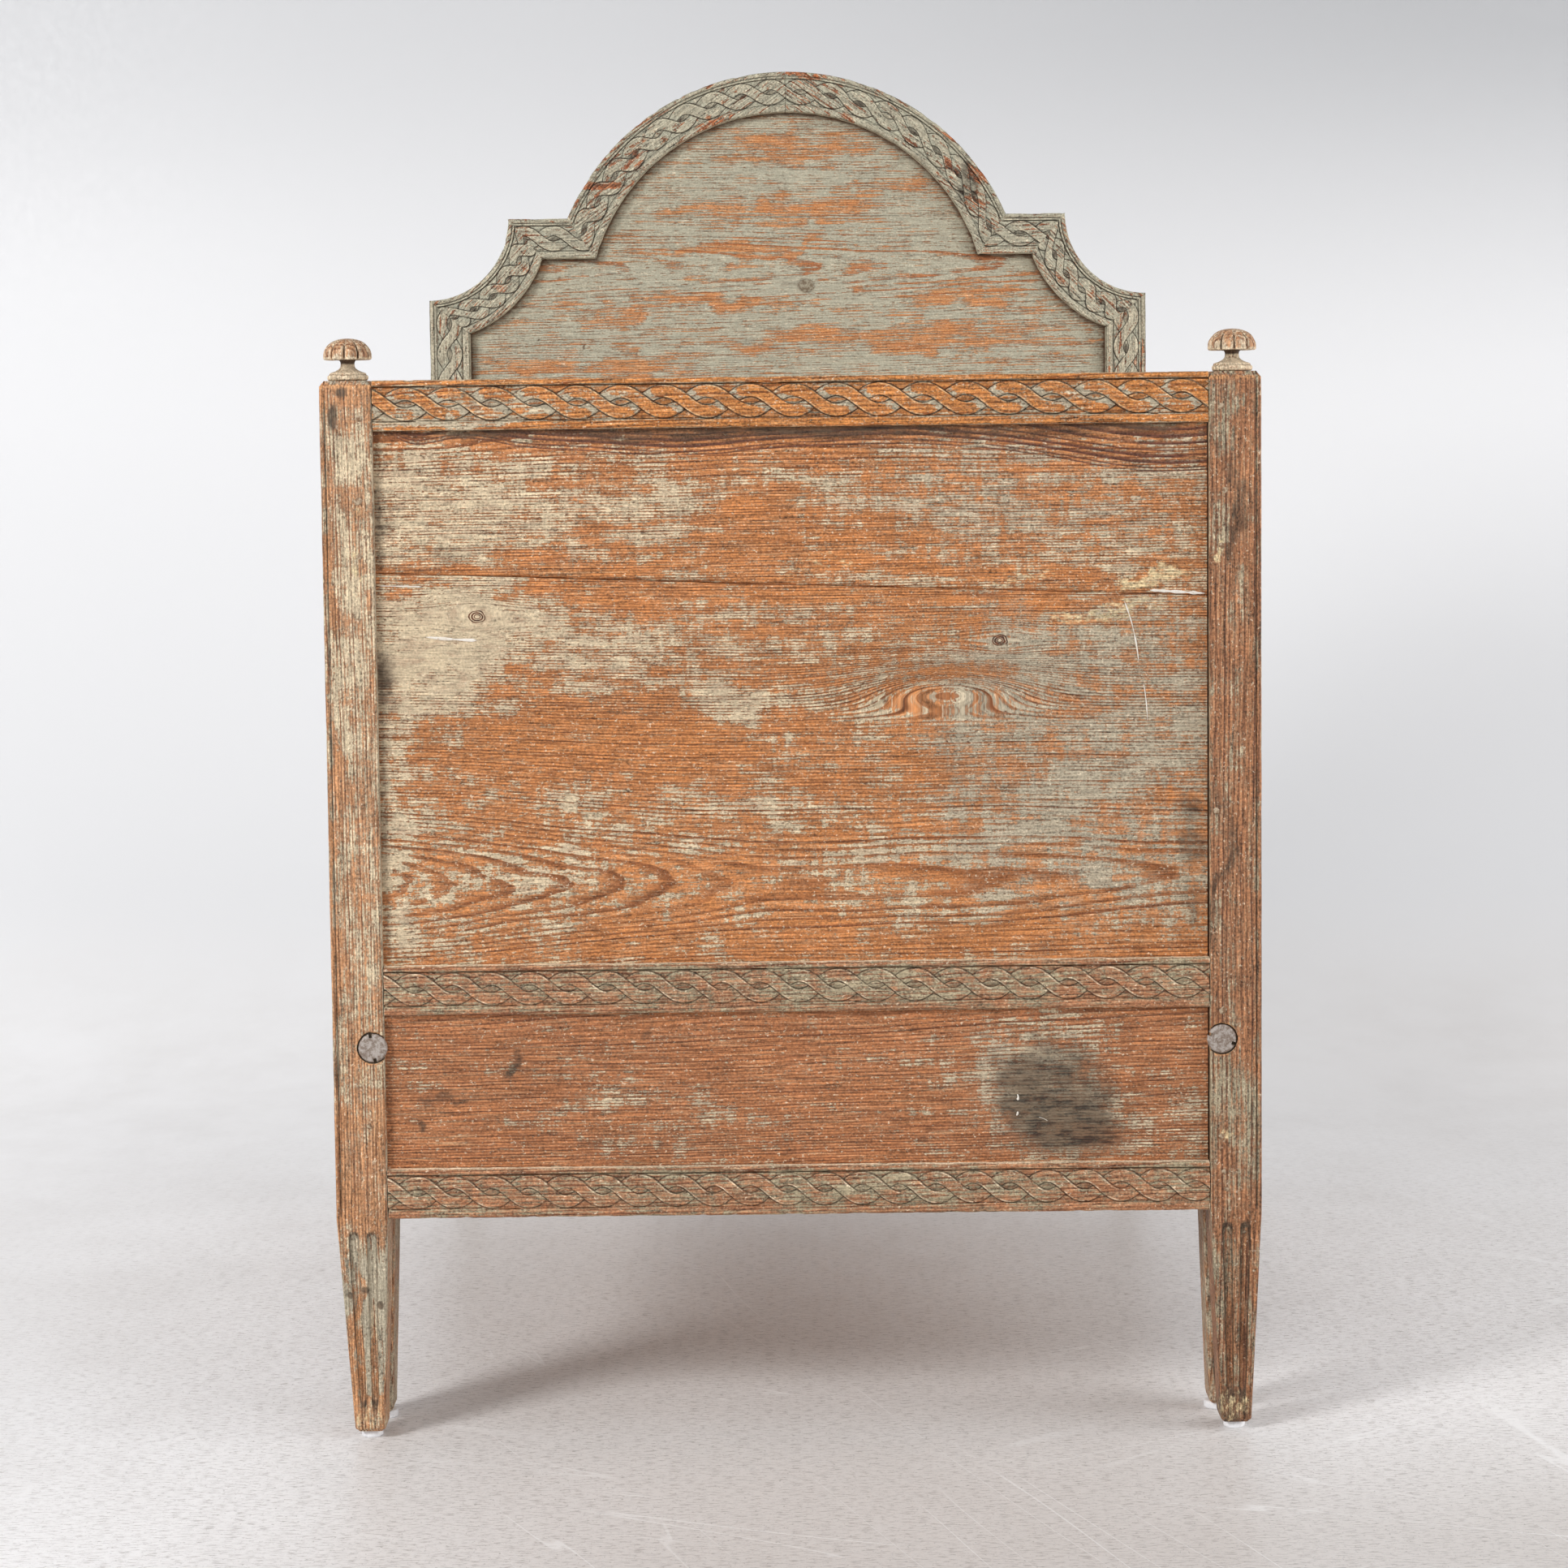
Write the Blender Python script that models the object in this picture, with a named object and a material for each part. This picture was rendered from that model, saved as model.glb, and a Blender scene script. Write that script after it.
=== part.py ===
"""Carved pull-out bed frame: a fixed head section and a sliding foot section.

Metres, +Z up. The foot end faces -Y, and the origin lies on the floor under the middle of the closed bed.
"""

import math

import bmesh
import bpy
from mathutils import Vector

# Overall sizes
BED_WIDTH = 0.950
CLOSED_LENGTH = 1.100
FOOT_HEIGHT = 1.0906
POST = 0.053
POST_EASE = 0.004
POST_BEAD = 0.0066
POST_QUIRK_WIDTH = 0.0016
POST_QUIRK_DEPTH = 0.0012

# Clearances between fitted pieces and between sliding ones
GAP = 0.0003
SLIDE_GAP = 0.001

# Legs and floor pads
LEG_HEIGHT = 0.2328
LEG_TAPER_OUTER = 0.014
LEG_TAPER_INNER = 0.0075
LEG_TAPER_FRONT = 0.008
LEG_TAPER_BACK = 0.008
FLUTE_WIDTH = 0.0085
FLUTE_DEPTH = 0.003
FLUTE_SPACING = 0.020
FLUTE_DROP = 0.011
FLUTE_RISE = 0.020
FLUTE_SIDES = 10
FLUTE_END_STEPS = 3
PAD_DIAMETER = 0.022
PAD_HEIGHT = 0.008
PAD_SIDES = 20

# Carved bands: two plain fillets with a sunk field between them
OUTER_FILLET = 0.0085
INNER_FILLET = 0.010
FIELD_DEPTH = 0.003
FIELD_SLOPE = 0.0015
EDGE_EASE = 0.0015

# Footboard
RAIL_HEIGHT = 0.0513
RAIL_DEPTH = 0.036
RAIL_SETBACK = 0.001
TENON_WALL = 0.003
TENON_THICKNESS = 0.012
TENON_SHOULDER = 0.009
LOWER_PANEL_HEIGHT = 0.1592
PANEL_THICKNESS = 0.018
PANEL_RECESS = 0.009
PANEL_TONGUE = 0.006
SEAM_DROP_LEFT = 0.143
SEAM_DROP_RIGHT = 0.175

# Finials
FINIAL_BASE_DIAMETER = 0.040
FINIAL_BASE_HEIGHT = 0.008
FINIAL_BASE_EASE = 0.0018
FINIAL_SHOULDER_DIAMETER = 0.031
FINIAL_NECK_DIAMETER = 0.014
FINIAL_NECK_HEIGHT = 0.013
FINIAL_NECK_FLARE = 0.001
FINIAL_CAP_DIAMETER = 0.049
FINIAL_CAP_HEIGHT = 0.022
FINIAL_LIP_HEIGHT = 0.005
FINIAL_LIP_UNDERCUT = 0.005
FINIAL_TIP_DIAMETER = 0.003
FINIAL_LOBES = 12
FINIAL_LOBE_POINTS = 3
FINIAL_LOBE_DEPTH = 0.0017
FINIAL_CAP_STEPS = 6
SPIGOT_DIAMETER = 0.012
SPIGOT_LENGTH = 0.018

# The rails' tenons stop short of the finials' spigots
TENON_LENGTH = (POST - SPIGOT_DIAMETER) / 2 - TENON_WALL

# Headboard
EAR_HEIGHT = 1.3174
EAR_WIDTH = 0.078
COVE_RADIUS = 0.1065
ARCH_RISE = 0.1892
MOULDING_THICKNESS = 0.016
HEAD_BOARD_THICKNESS = 0.024
HEAD_BOARDS = ("lower", "middle", "upper")
CARVED_FACE_FOOT = 0.535
COVE_STEPS = 9
ARCH_STEPS = 14

# Side rails and the sliding gear
FOOT_RAIL_THICKNESS = 0.025
FOOT_RAIL_HEIGHT = 0.168
FOOT_RAIL_INSET = 0.001
FOOT_RAIL_TAIL = 0.012
HEAD_RAIL_THICKNESS = 0.025
HEAD_RAIL_LIP = 0.010
RUNNER_HEIGHT = 0.030
RAIL_STUB_LENGTH = 0.010
RAIL_STUB_THICKNESS = 0.015
RAIL_STUB_SHOULDER = 0.020
MIDDLE_LEG_SETBACK = 0.065
MIDDLE_LEG_INSET = 0.008
CROSS_RAIL_THICKNESS = 0.030
CROSS_RAIL_HEIGHT = 0.100
CROSS_TENON_LENGTH = 0.024
CROSS_TENON_THICKNESS = 0.012
CROSS_TENON_HEIGHT = 0.040
LEDGER_DEPTH = 0.030
LEDGER_HEIGHT = 0.030
BATTEN_DEPTH = 0.040
BATTEN_STUB_LENGTH = 0.010
BATTEN_STUB_HEIGHT = 0.016
TAIL_CLEARANCE = 0.125

# Slats
WELL_DEPTH = 0.108
SLAT_THICKNESS = 0.020
SLAT_SPACING = 0.012
FIXED_SLATS = 5

# Bed bolts and their nuts
BOLT_HEAD_DIAMETER = 0.028
BOLT_HEAD_THICKNESS = 0.004
BOLT_RECESS_DIAMETER = 0.031
BOLT_RECESS_DEPTH = 0.005
BOLT_NOTCH_WIDTH = 0.0035
BOLT_NOTCH_DEPTH = 0.004
BOLT_DIAMETER = 0.009
BOLT_TAIL = 0.006
BOLT_SIDES = 24
UPRIGHT_NOTCHES = {"left": True, "right": False}
NUT_SIDE = 0.018
NUT_THICKNESS = 0.008
NUT_SETBACK = 0.070

# Heights that follow from these
LEG_FOOT = PAD_HEIGHT + GAP
BOTTOM_RAIL_TOP = LEG_HEIGHT + RAIL_HEIGHT
MIDDLE_RAIL_FOOT = BOTTOM_RAIL_TOP + LOWER_PANEL_HEIGHT
MIDDLE_RAIL_TOP = MIDDLE_RAIL_FOOT + RAIL_HEIGHT
TOP_RAIL_FOOT = FOOT_HEIGHT - RAIL_HEIGHT
SIDE_TOP = MIDDLE_RAIL_TOP
FOOT_RAIL_FOOT = SIDE_TOP - FOOT_RAIL_HEIGHT
RUNNER_TOP = FOOT_RAIL_FOOT - GAP
RUNNER_FOOT = RUNNER_TOP - RUNNER_HEIGHT
HEAD_RAIL_FOOT = RUNNER_FOOT - HEAD_RAIL_LIP
BOLT_Z = SIDE_TOP - FOOT_RAIL_HEIGHT / 2
SLAT_TOP = SIDE_TOP - WELL_DEPTH
SLAT_FOOT = SLAT_TOP - SLAT_THICKNESS
BEARER_TOP = SLAT_FOOT - GAP

# The arch spans the ears' inner corners
ARCH_HALF_SPAN = BED_WIDTH / 2 - COVE_RADIUS - EAR_WIDTH
ARCH_RADIUS = (ARCH_HALF_SPAN**2 + ARCH_RISE**2) / (2 * ARCH_RISE)
ARCH_TOP = EAR_HEIGHT + ARCH_RISE
ARCH_CENTRE = ARCH_TOP - ARCH_RADIUS

# Insets that follow, measured inward from the bed's outer side
HEAD_RAIL_INNER = POST - FOOT_RAIL_INSET - FOOT_RAIL_THICKNESS - SLIDE_GAP
HEAD_RAIL_OUTER = HEAD_RAIL_INNER - HEAD_RAIL_THICKNESS
FOOT_RAIL_INNER = POST - FOOT_RAIL_INSET
FOOT_RAIL_OUTER = FOOT_RAIL_INNER - FOOT_RAIL_THICKNESS
BOLT_INSET = (FOOT_RAIL_OUTER + FOOT_RAIL_INNER) / 2
MIDDLE_LEG_INNER = MIDDLE_LEG_INSET + POST

# Places along the bed that follow
FOOT_FRONT = -CLOSED_LENGTH / 2
FOOT_BACK = FOOT_FRONT + POST
HEAD_BACK = CLOSED_LENGTH / 2
HEAD_FRONT = HEAD_BACK - POST
PANEL_FRONT = FOOT_FRONT + PANEL_RECESS
PANEL_BACK = PANEL_FRONT + PANEL_THICKNESS
TENON_FRONT = FOOT_FRONT + RAIL_SETBACK + (RAIL_DEPTH - TENON_THICKNESS) / 2
HEAD_BOARD_FRONT = HEAD_FRONT + MOULDING_THICKNESS
HEAD_BOARD_BACK = HEAD_BOARD_FRONT + HEAD_BOARD_THICKNESS
MIDDLE_LEG_FRONT = FOOT_FRONT + MIDDLE_LEG_SETBACK
CROSS_RAIL_FRONT = MIDDLE_LEG_FRONT + (POST - CROSS_RAIL_THICKNESS) / 2
CROSS_RAIL_BACK = CROSS_RAIL_FRONT + CROSS_RAIL_THICKNESS
HEAD_LEDGER_FRONT = HEAD_BOARD_FRONT - GAP - LEDGER_DEPTH
BATTEN_BACK = HEAD_LEDGER_FRONT - TAIL_CLEARANCE
BATTEN_FRONT = BATTEN_BACK - BATTEN_DEPTH
FOOT_RAIL_END = BATTEN_BACK + FOOT_RAIL_TAIL

SIDES = {"left": -1, "right": 1}


def clear_scene():
    """Empty the scene."""
    for old in list(bpy.data.objects):
        bpy.data.objects.remove(old, do_unlink=True)


def make_material(name, colour, roughness, metallic=0.0):
    """A Principled material with one colour."""
    material = bpy.data.materials.new(name)
    material.use_nodes = True
    shader = material.node_tree.nodes["Principled BSDF"]
    shader.inputs["Base Color"].default_value = (*colour, 1.0)
    shader.inputs["Roughness"].default_value = roughness
    shader.inputs["Metallic"].default_value = metallic
    return material


def make_section(name, y):
    """An empty that carries one section of the bed, on the line along which the bed draws out."""
    section = bpy.data.objects.new(name, None)
    section.location = (0.0, y, 0.0)
    bpy.context.collection.objects.link(section)
    return section


def across(side, inset):
    """The x of a point that lies inset from the bed's outer face on one side."""
    return side * (BED_WIDTH / 2 - inset)


def lerp(start, end, share):
    """The value a share of the way from start to end."""
    return start + (end - start) * share


def solid_from_rings(rings):
    """A closed body through rings of equally many points, with flat ends."""
    body = bmesh.new()
    loops = [[body.verts.new(point) for point in ring] for ring in rings]
    for low, high in zip(loops, loops[1:]):
        for index in range(len(low)):
            following = (index + 1) % len(low)
            body.faces.new((low[index], low[following], high[following], high[index]))
    body.faces.new(loops[0])
    body.faces.new(loops[-1])
    bmesh.ops.recalc_face_normals(body, faces=body.faces)
    return body


def prism_along_x(outline, low, high):
    """An outline of (y, z) points drawn out along the bed's width."""
    return solid_from_rings([[(x, y, z) for y, z in outline] for x in (low, high)])


def prism_along_y(outline, low, high):
    """An outline of (x, z) points drawn out along the bed's length."""
    return solid_from_rings([[(x, y, z) for x, z in outline] for y in (low, high)])


def box(x_range, y_range, z_range):
    """A plain rectangular body."""
    (x0, x1), (y0, y1), (z0, z1) = (sorted(pair) for pair in (x_range, y_range, z_range))
    return prism_along_y([(x0, z0), (x1, z0), (x1, z1), (x0, z1)], y0, y1)


def round_bar(centre, radius, low, high, sides, along="y"):
    """A round bar along y or z; centre gives its other two coordinates."""
    rings = []
    for place in (low, high):
        ring = []
        for step in range(sides):
            angle = 2 * math.pi * step / sides
            u = centre[0] + radius * math.cos(angle)
            v = centre[1] + radius * math.sin(angle)
            ring.append((u, place, v) if along == "y" else (u, v, place))
        rings.append(ring)
    return solid_from_rings(rings)


def add_piece(name, body, origin, section, material, smooth=False):
    """Make a body, given in world coordinates, an object of its own with its origin at that point."""
    mesh = bpy.data.meshes.new(name)
    bmesh.ops.translate(body, verts=body.verts, vec=-Vector(origin))
    body.to_mesh(mesh)
    body.free()
    mesh.materials.append(material)
    if smooth:
        mesh.shade_smooth()
        mesh.set_sharp_from_angle(angle=math.radians(35))
    piece = bpy.data.objects.new(name, mesh)
    bpy.context.collection.objects.link(piece)
    piece.parent = section
    piece.location = Vector(origin) - section.location
    return piece


def add_tool(piece, body, operation):
    """Cut a body, given in world coordinates, out of a piece, or join it on."""
    section = piece.parent
    material = piece.data.materials[0]
    tool = add_piece(f"{piece.name}_{operation.lower()}", body, section.location, section, material)
    tool.hide_render = True
    tool.display_type = "WIRE"
    step = piece.modifiers.new(operation.lower(), "BOOLEAN")
    step.operation = operation
    step.solver = "EXACT"
    step.object = tool


def cut(piece, *bodies):
    """Cut bodies out of a piece."""
    for body in bodies:
        add_tool(piece, body, "DIFFERENCE")


def join(piece, *bodies):
    """Join bodies to a piece."""
    for body in bodies:
        add_tool(piece, body, "UNION")


def post_corners(outer, front, taper=0.0, ease=0.0):
    """A post's (inset, y) corners, drawn in by the leg's taper or by the eased top."""
    inset_low = outer + LEG_TAPER_OUTER * taper + ease
    inset_high = outer + POST - LEG_TAPER_INNER * taper - ease
    y_low = front + LEG_TAPER_FRONT * taper + ease
    y_high = front + POST - LEG_TAPER_BACK * taper - ease
    corners = ((inset_low, y_low), (inset_high, y_low), (inset_high, y_high), (inset_low, y_high))
    return [Vector(corner) for corner in corners]


def leg_taper(z):
    """The share of the leg's taper at a height."""
    return (LEG_HEIGHT - z) / (LEG_HEIGHT - LEG_FOOT)


def post_ring(side, corners, z):
    """A ring of a post at one height."""
    return [(across(side, inset), y, z) for inset, y in corners]


def leg_rings(side, outer, front):
    """The rings of a tapered leg, at its foot and at the rail above it."""
    return [post_ring(side, post_corners(outer, front, leg_taper(z)), z) for z in (LEG_FOOT, LEG_HEIGHT)]


def flute_stations():
    """Height and share of the full size along a flute with round ends."""
    reach = FLUTE_WIDTH / 2
    foot, head = LEG_FOOT + FLUTE_RISE, LEG_HEIGHT - FLUTE_DROP
    stations = []
    for step in range(1, FLUTE_END_STEPS + 1):
        angle = math.pi / 2 * step / FLUTE_END_STEPS
        stations.append((reach * (1 - math.cos(angle)), math.sin(angle)))
    low = [(foot + rise, share) for rise, share in stations]
    return low + [(head - rise, share) for rise, share in reversed(stations)]


def flute(side, outer, front, face, place):
    """The body of one flute, face 0 being the front and 3 the outer side; place runs across the face."""
    rings = []
    for z, share in flute_stations():
        corners = post_corners(outer, front, leg_taper(z))
        start, end = corners[face], corners[(face + 1) % 4]
        run = end - start
        inward = Vector((-run.y, run.x)).normalized()
        size = run.length / POST
        centre = (start + end) / 2 + run.normalized() * (place * FLUTE_SPACING / 2 * size)
        ring = []
        for step in range(FLUTE_SIDES):
            angle = 2 * math.pi * (step + 0.5) / FLUTE_SIDES
            shift = run.normalized() * (math.cos(angle) * FLUTE_WIDTH / 2 * size * share)
            ring.append(centre + shift + inward * (math.sin(angle) * FLUTE_DEPTH * share))
        rings.append(post_ring(side, ring, z))
    return solid_from_rings(rings)


def cut_flutes(post, side, outer, front):
    """Cut two flutes into a leg's front and two into its outer side."""
    cut(post, *(flute(side, outer, front, face, place) for face in (0, 3) for place in (-1, 1)))


def pad_centre(side, outer, front):
    """The middle of a leg's foot."""
    inset = outer + (POST + LEG_TAPER_OUTER - LEG_TAPER_INNER) / 2
    return across(side, inset), front + (POST + LEG_TAPER_FRONT - LEG_TAPER_BACK) / 2


def make_pad(name, side, outer, front, section, material):
    """A round white pad under a leg."""
    centre = pad_centre(side, outer, front)
    body = round_bar(centre, PAD_DIAMETER / 2, 0.0, PAD_HEIGHT, PAD_SIDES, along="z")
    add_piece(name, body, (*centre, 0.0), section, material, smooth=True)


def rail_outline(front, back, foot, carved, groove, groove_low, groove_high):
    """A rail's (y, z) outline with its carved field and panel grooves."""
    top = foot + RAIL_HEIGHT
    sunk = front + FIELD_DEPTH
    field_low = foot + INNER_FILLET
    field_high = top - OUTER_FILLET
    points = [(front + EDGE_EASE, foot), (front, foot + EDGE_EASE)]
    if carved:
        points += [(front, field_low), (sunk, field_low + FIELD_SLOPE)]
        points += [(sunk, field_high - FIELD_SLOPE), (front, field_high)]
    points += [(front, top - EDGE_EASE), (front + EDGE_EASE, top)]
    depth = PANEL_TONGUE
    near, far = groove
    if groove_high:
        points += [(near, top), (near, top - depth), (far, top - depth), (far, top)]
    points += [(back, top), (back, foot)]
    if groove_low:
        points += [(far, foot), (far, foot + depth), (near, foot + depth), (near, foot)]
    return points


def rail_tenon(foot, tenon_front, clearance, low, high):
    """The tenon bar of a rail, or with a clearance its mortise, between two x."""
    y_range = (tenon_front - clearance, tenon_front + TENON_THICKNESS + clearance)
    z_range = (foot + TENON_SHOULDER - clearance, foot + RAIL_HEIGHT - TENON_SHOULDER + clearance)
    return box((low, high), y_range, z_range)


def make_rail(name, foot, front, back, tenon_front, section, material, **shape):
    """A rail between two posts, with a tenon at each end."""
    half = BED_WIDTH / 2 - POST - GAP
    body = prism_along_x(rail_outline(front, back, foot, **shape), -half, half)
    rail = add_piece(name, body, (0, front, foot), section, material)
    reach = half + TENON_LENGTH
    join(rail, rail_tenon(foot, tenon_front, 0.0, -reach, reach))


def mortise(side, foot, tenon_front):
    """The mortise for one rail in a post's inner face."""
    depth = TENON_LENGTH + 2 * GAP
    return rail_tenon(foot, tenon_front, GAP, across(side, POST - depth), across(side, POST + depth))


def panel_groove(side, front, back, foot, top):
    """The groove in a post's inner face for boards whose tongues reach past the foot and top."""
    x_range = (across(side, POST - PANEL_TONGUE), across(side, POST + PANEL_TONGUE))
    return box(x_range, (front - GAP, back + GAP), (foot - PANEL_TONGUE, top + PANEL_TONGUE))


def rail_stub(side, clearance, low, high, inset_middle, foot, height):
    """The stub tenon of a side rail, or with a clearance its mortise, between two y."""
    reach = RAIL_STUB_THICKNESS / 2 + clearance
    x_range = (across(side, inset_middle - reach), across(side, inset_middle + reach))
    z_range = (foot + RAIL_STUB_SHOULDER - clearance, foot + height - RAIL_STUB_SHOULDER + clearance)
    return box(x_range, (low, high), z_range)


def foot_stub(side, clearance, low, high):
    """The stub tenon between a sliding side rail and its foot post."""
    return rail_stub(side, clearance, low, high, BOLT_INSET, FOOT_RAIL_FOOT, FOOT_RAIL_HEIGHT)


def head_stub(side, clearance, low, high):
    """The stub tenon between an outer side rail and its head post."""
    middle = (HEAD_RAIL_OUTER + HEAD_RAIL_INNER) / 2
    height = SIDE_TOP - HEAD_RAIL_FOOT
    return rail_stub(side, clearance, low, high, middle, HEAD_RAIL_FOOT, height)


def make_foot_post(name, side, section, material):
    """A foot post with its leg, mortises, panel groove, bolt hole and finial hole."""
    rings = leg_rings(side, 0.0, FOOT_FRONT)
    for z, ease in ((FOOT_HEIGHT - POST_EASE, 0.0), (FOOT_HEIGHT, POST_EASE)):
        rings.append(post_ring(side, post_corners(0.0, FOOT_FRONT, ease=ease), z))
    middle = (across(side, POST / 2), FOOT_FRONT + POST / 2)
    post = add_piece(name, solid_from_rings(rings), (*middle, 0.0), section, material)
    cut_flutes(post, side, 0.0, FOOT_FRONT)
    x_range = (across(side, POST_BEAD), across(side, POST_BEAD + POST_QUIRK_WIDTH))
    y_range = (FOOT_FRONT - POST, FOOT_FRONT + POST_QUIRK_DEPTH)
    cut(post, box(x_range, y_range, (LEG_HEIGHT, FOOT_HEIGHT + POST)))
    cut(post, *(mortise(side, foot, TENON_FRONT) for foot in (LEG_HEIGHT, MIDDLE_RAIL_FOOT, TOP_RAIL_FOOT)))
    cut(post, panel_groove(side, PANEL_FRONT, PANEL_BACK, BOTTOM_RAIL_TOP, TOP_RAIL_FOOT))
    cut(post, foot_stub(side, GAP, FOOT_BACK - RAIL_STUB_LENGTH - GAP, FOOT_BACK + RAIL_STUB_LENGTH))
    bolt = (across(side, BOLT_INSET), BOLT_Z)
    recess_floor = FOOT_FRONT + BOLT_RECESS_DEPTH
    hole = BOLT_DIAMETER / 2 + GAP
    cut(post, round_bar(bolt, BOLT_RECESS_DIAMETER / 2, FOOT_FRONT - POST, recess_floor, BOLT_SIDES))
    cut(post, round_bar(bolt, hole, FOOT_FRONT, FOOT_BACK + POST, BOLT_SIDES // 2))
    socket = SPIGOT_DIAMETER / 2 + GAP
    socket_foot = FOOT_HEIGHT - SPIGOT_LENGTH - GAP
    cut(post, round_bar(middle, socket, socket_foot, FOOT_HEIGHT + POST, PAD_SIDES, along="z"))


def finial_stations():
    """Height above the post, radius and share of ribbing of a finial, from the spigot up."""
    base = FINIAL_BASE_DIAMETER / 2
    shoulder = FINIAL_SHOULDER_DIAMETER / 2
    neck = FINIAL_NECK_DIAMETER / 2
    cap = FINIAL_CAP_DIAMETER / 2
    spigot = SPIGOT_DIAMETER / 2
    base_top = FINIAL_BASE_HEIGHT
    neck_top = base_top + FINIAL_NECK_HEIGHT
    stations = [(-SPIGOT_LENGTH, spigot, 0), (GAP, spigot, 0)]
    stations += [(GAP, base - FINIAL_BASE_EASE, 0), (GAP + FINIAL_BASE_EASE, base, 0)]
    stations += [(base_top - FINIAL_BASE_EASE, base, 0), (base_top, shoulder, 0)]
    stations += [(base_top + FINIAL_NECK_HEIGHT / 2, neck, 0), (neck_top, neck + FINIAL_NECK_FLARE, 0)]
    stations.append((neck_top + FINIAL_LIP_HEIGHT / 2, cap - FINIAL_LIP_UNDERCUT, 1))
    dome = FINIAL_CAP_HEIGHT - FINIAL_LIP_HEIGHT
    for step in range(FINIAL_CAP_STEPS):
        angle = math.pi / 2 * step / FINIAL_CAP_STEPS
        stations.append((neck_top + FINIAL_LIP_HEIGHT + dome * math.sin(angle), cap * math.cos(angle), 1))
    stations.append((neck_top + FINIAL_CAP_HEIGHT, FINIAL_TIP_DIAMETER / 2, 0))
    return stations


def make_finial(name, side, section, material):
    """A turned finial with a ribbed mushroom cap and a spigot in the post."""
    middle = (across(side, POST / 2), FOOT_FRONT + POST / 2)
    count = FINIAL_LOBES * FINIAL_LOBE_POINTS
    rings = []
    for height, radius, ribbing in finial_stations():
        ring = []
        for step in range(count):
            valley = ribbing if step % FINIAL_LOBE_POINTS == 0 else 0
            angle = 2 * math.pi * step / count
            reach = radius * (1 - valley * FINIAL_LOBE_DEPTH / (FINIAL_CAP_DIAMETER / 2))
            x = middle[0] + reach * math.cos(angle)
            y = middle[1] + reach * math.sin(angle)
            ring.append((x, y, FOOT_HEIGHT + height))
        rings.append(ring)
    add_piece(name, solid_from_rings(rings), (*middle, FOOT_HEIGHT), section, material, smooth=True)


def make_bolt(name, side, upright, section, material):
    """A bed bolt with a flat round head that has two notches in its rim."""
    centre = (across(side, BOLT_INSET), BOLT_Z)
    seat = FOOT_FRONT + BOLT_RECESS_DEPTH - GAP
    face = seat - BOLT_HEAD_THICKNESS
    end = FOOT_BACK + NUT_SETBACK + NUT_THICKNESS + BOLT_TAIL
    head = round_bar(centre, BOLT_HEAD_DIAMETER / 2, face, seat, BOLT_SIDES)
    bolt = add_piece(name, head, (centre[0], face, centre[1]), section, material, smooth=True)
    join(bolt, round_bar(centre, BOLT_DIAMETER / 2, seat - BOLT_HEAD_THICKNESS / 2, end, BOLT_SIDES // 2))
    rim = BOLT_HEAD_DIAMETER / 2 - BOLT_NOTCH_DEPTH
    width = (-BOLT_NOTCH_WIDTH / 2, BOLT_NOTCH_WIDTH / 2)
    for way in (-1, 1):
        depth = (way * rim, way * BOLT_HEAD_DIAMETER)
        x_shifts, z_shifts = (width, depth) if upright else (depth, width)
        x_range = [centre[0] + shift for shift in x_shifts]
        z_range = [centre[1] + shift for shift in z_shifts]
        cut(bolt, box(x_range, (face - POST, seat + GAP), z_range))


def nut_box(side, clearance, far_inset):
    """The space of a bed nut, out to an inset on the rail's inner side."""
    half = NUT_SIDE / 2 + clearance
    low = FOOT_BACK + NUT_SETBACK - clearance
    x_range = (across(side, BOLT_INSET - half), across(side, far_inset))
    return box(x_range, (low, low + NUT_THICKNESS + 2 * clearance), (BOLT_Z - half, BOLT_Z + half))


def make_nut(name, side, section, material):
    """A square nut, let into the side rail from its inner face."""
    body = nut_box(side, 0.0, BOLT_INSET + NUT_SIDE / 2)
    centre = (across(side, BOLT_INSET), BOLT_Z)
    low = FOOT_BACK + NUT_SETBACK
    nut = add_piece(name, body, (centre[0], low, centre[1]), section, material)
    cut(nut, round_bar(centre, BOLT_DIAMETER / 2 + GAP, low - POST, low + POST, BOLT_SIDES // 2))


def make_foot_boards(section, material):
    """The footboard's panel: two boards with a slanting seam above the middle rail and one below it."""
    half = BED_WIDTH / 2 - POST + PANEL_TONGUE - GAP
    tongue = PANEL_TONGUE - GAP
    seam_left = TOP_RAIL_FOOT - SEAM_DROP_LEFT
    seam_right = TOP_RAIL_FOOT - SEAM_DROP_RIGHT
    top = TOP_RAIL_FOOT + tongue
    foot = MIDDLE_RAIL_TOP - tongue
    outlines = {
        "foot_board_upper": [(-half, seam_left + GAP), (half, seam_right + GAP), (half, top), (-half, top)],
        "foot_board_main": [(-half, foot), (half, foot), (half, seam_right), (-half, seam_left)],
    }
    low, high = BOTTOM_RAIL_TOP - tongue, MIDDLE_RAIL_FOOT + tongue
    outlines["foot_board_lower"] = [(-half, low), (half, low), (half, high), (-half, high)]
    for name, outline in outlines.items():
        origin = (0.0, PANEL_FRONT, outline[0][1])
        add_piece(name, prism_along_y(outline, PANEL_FRONT, PANEL_BACK), origin, section, material)


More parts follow.
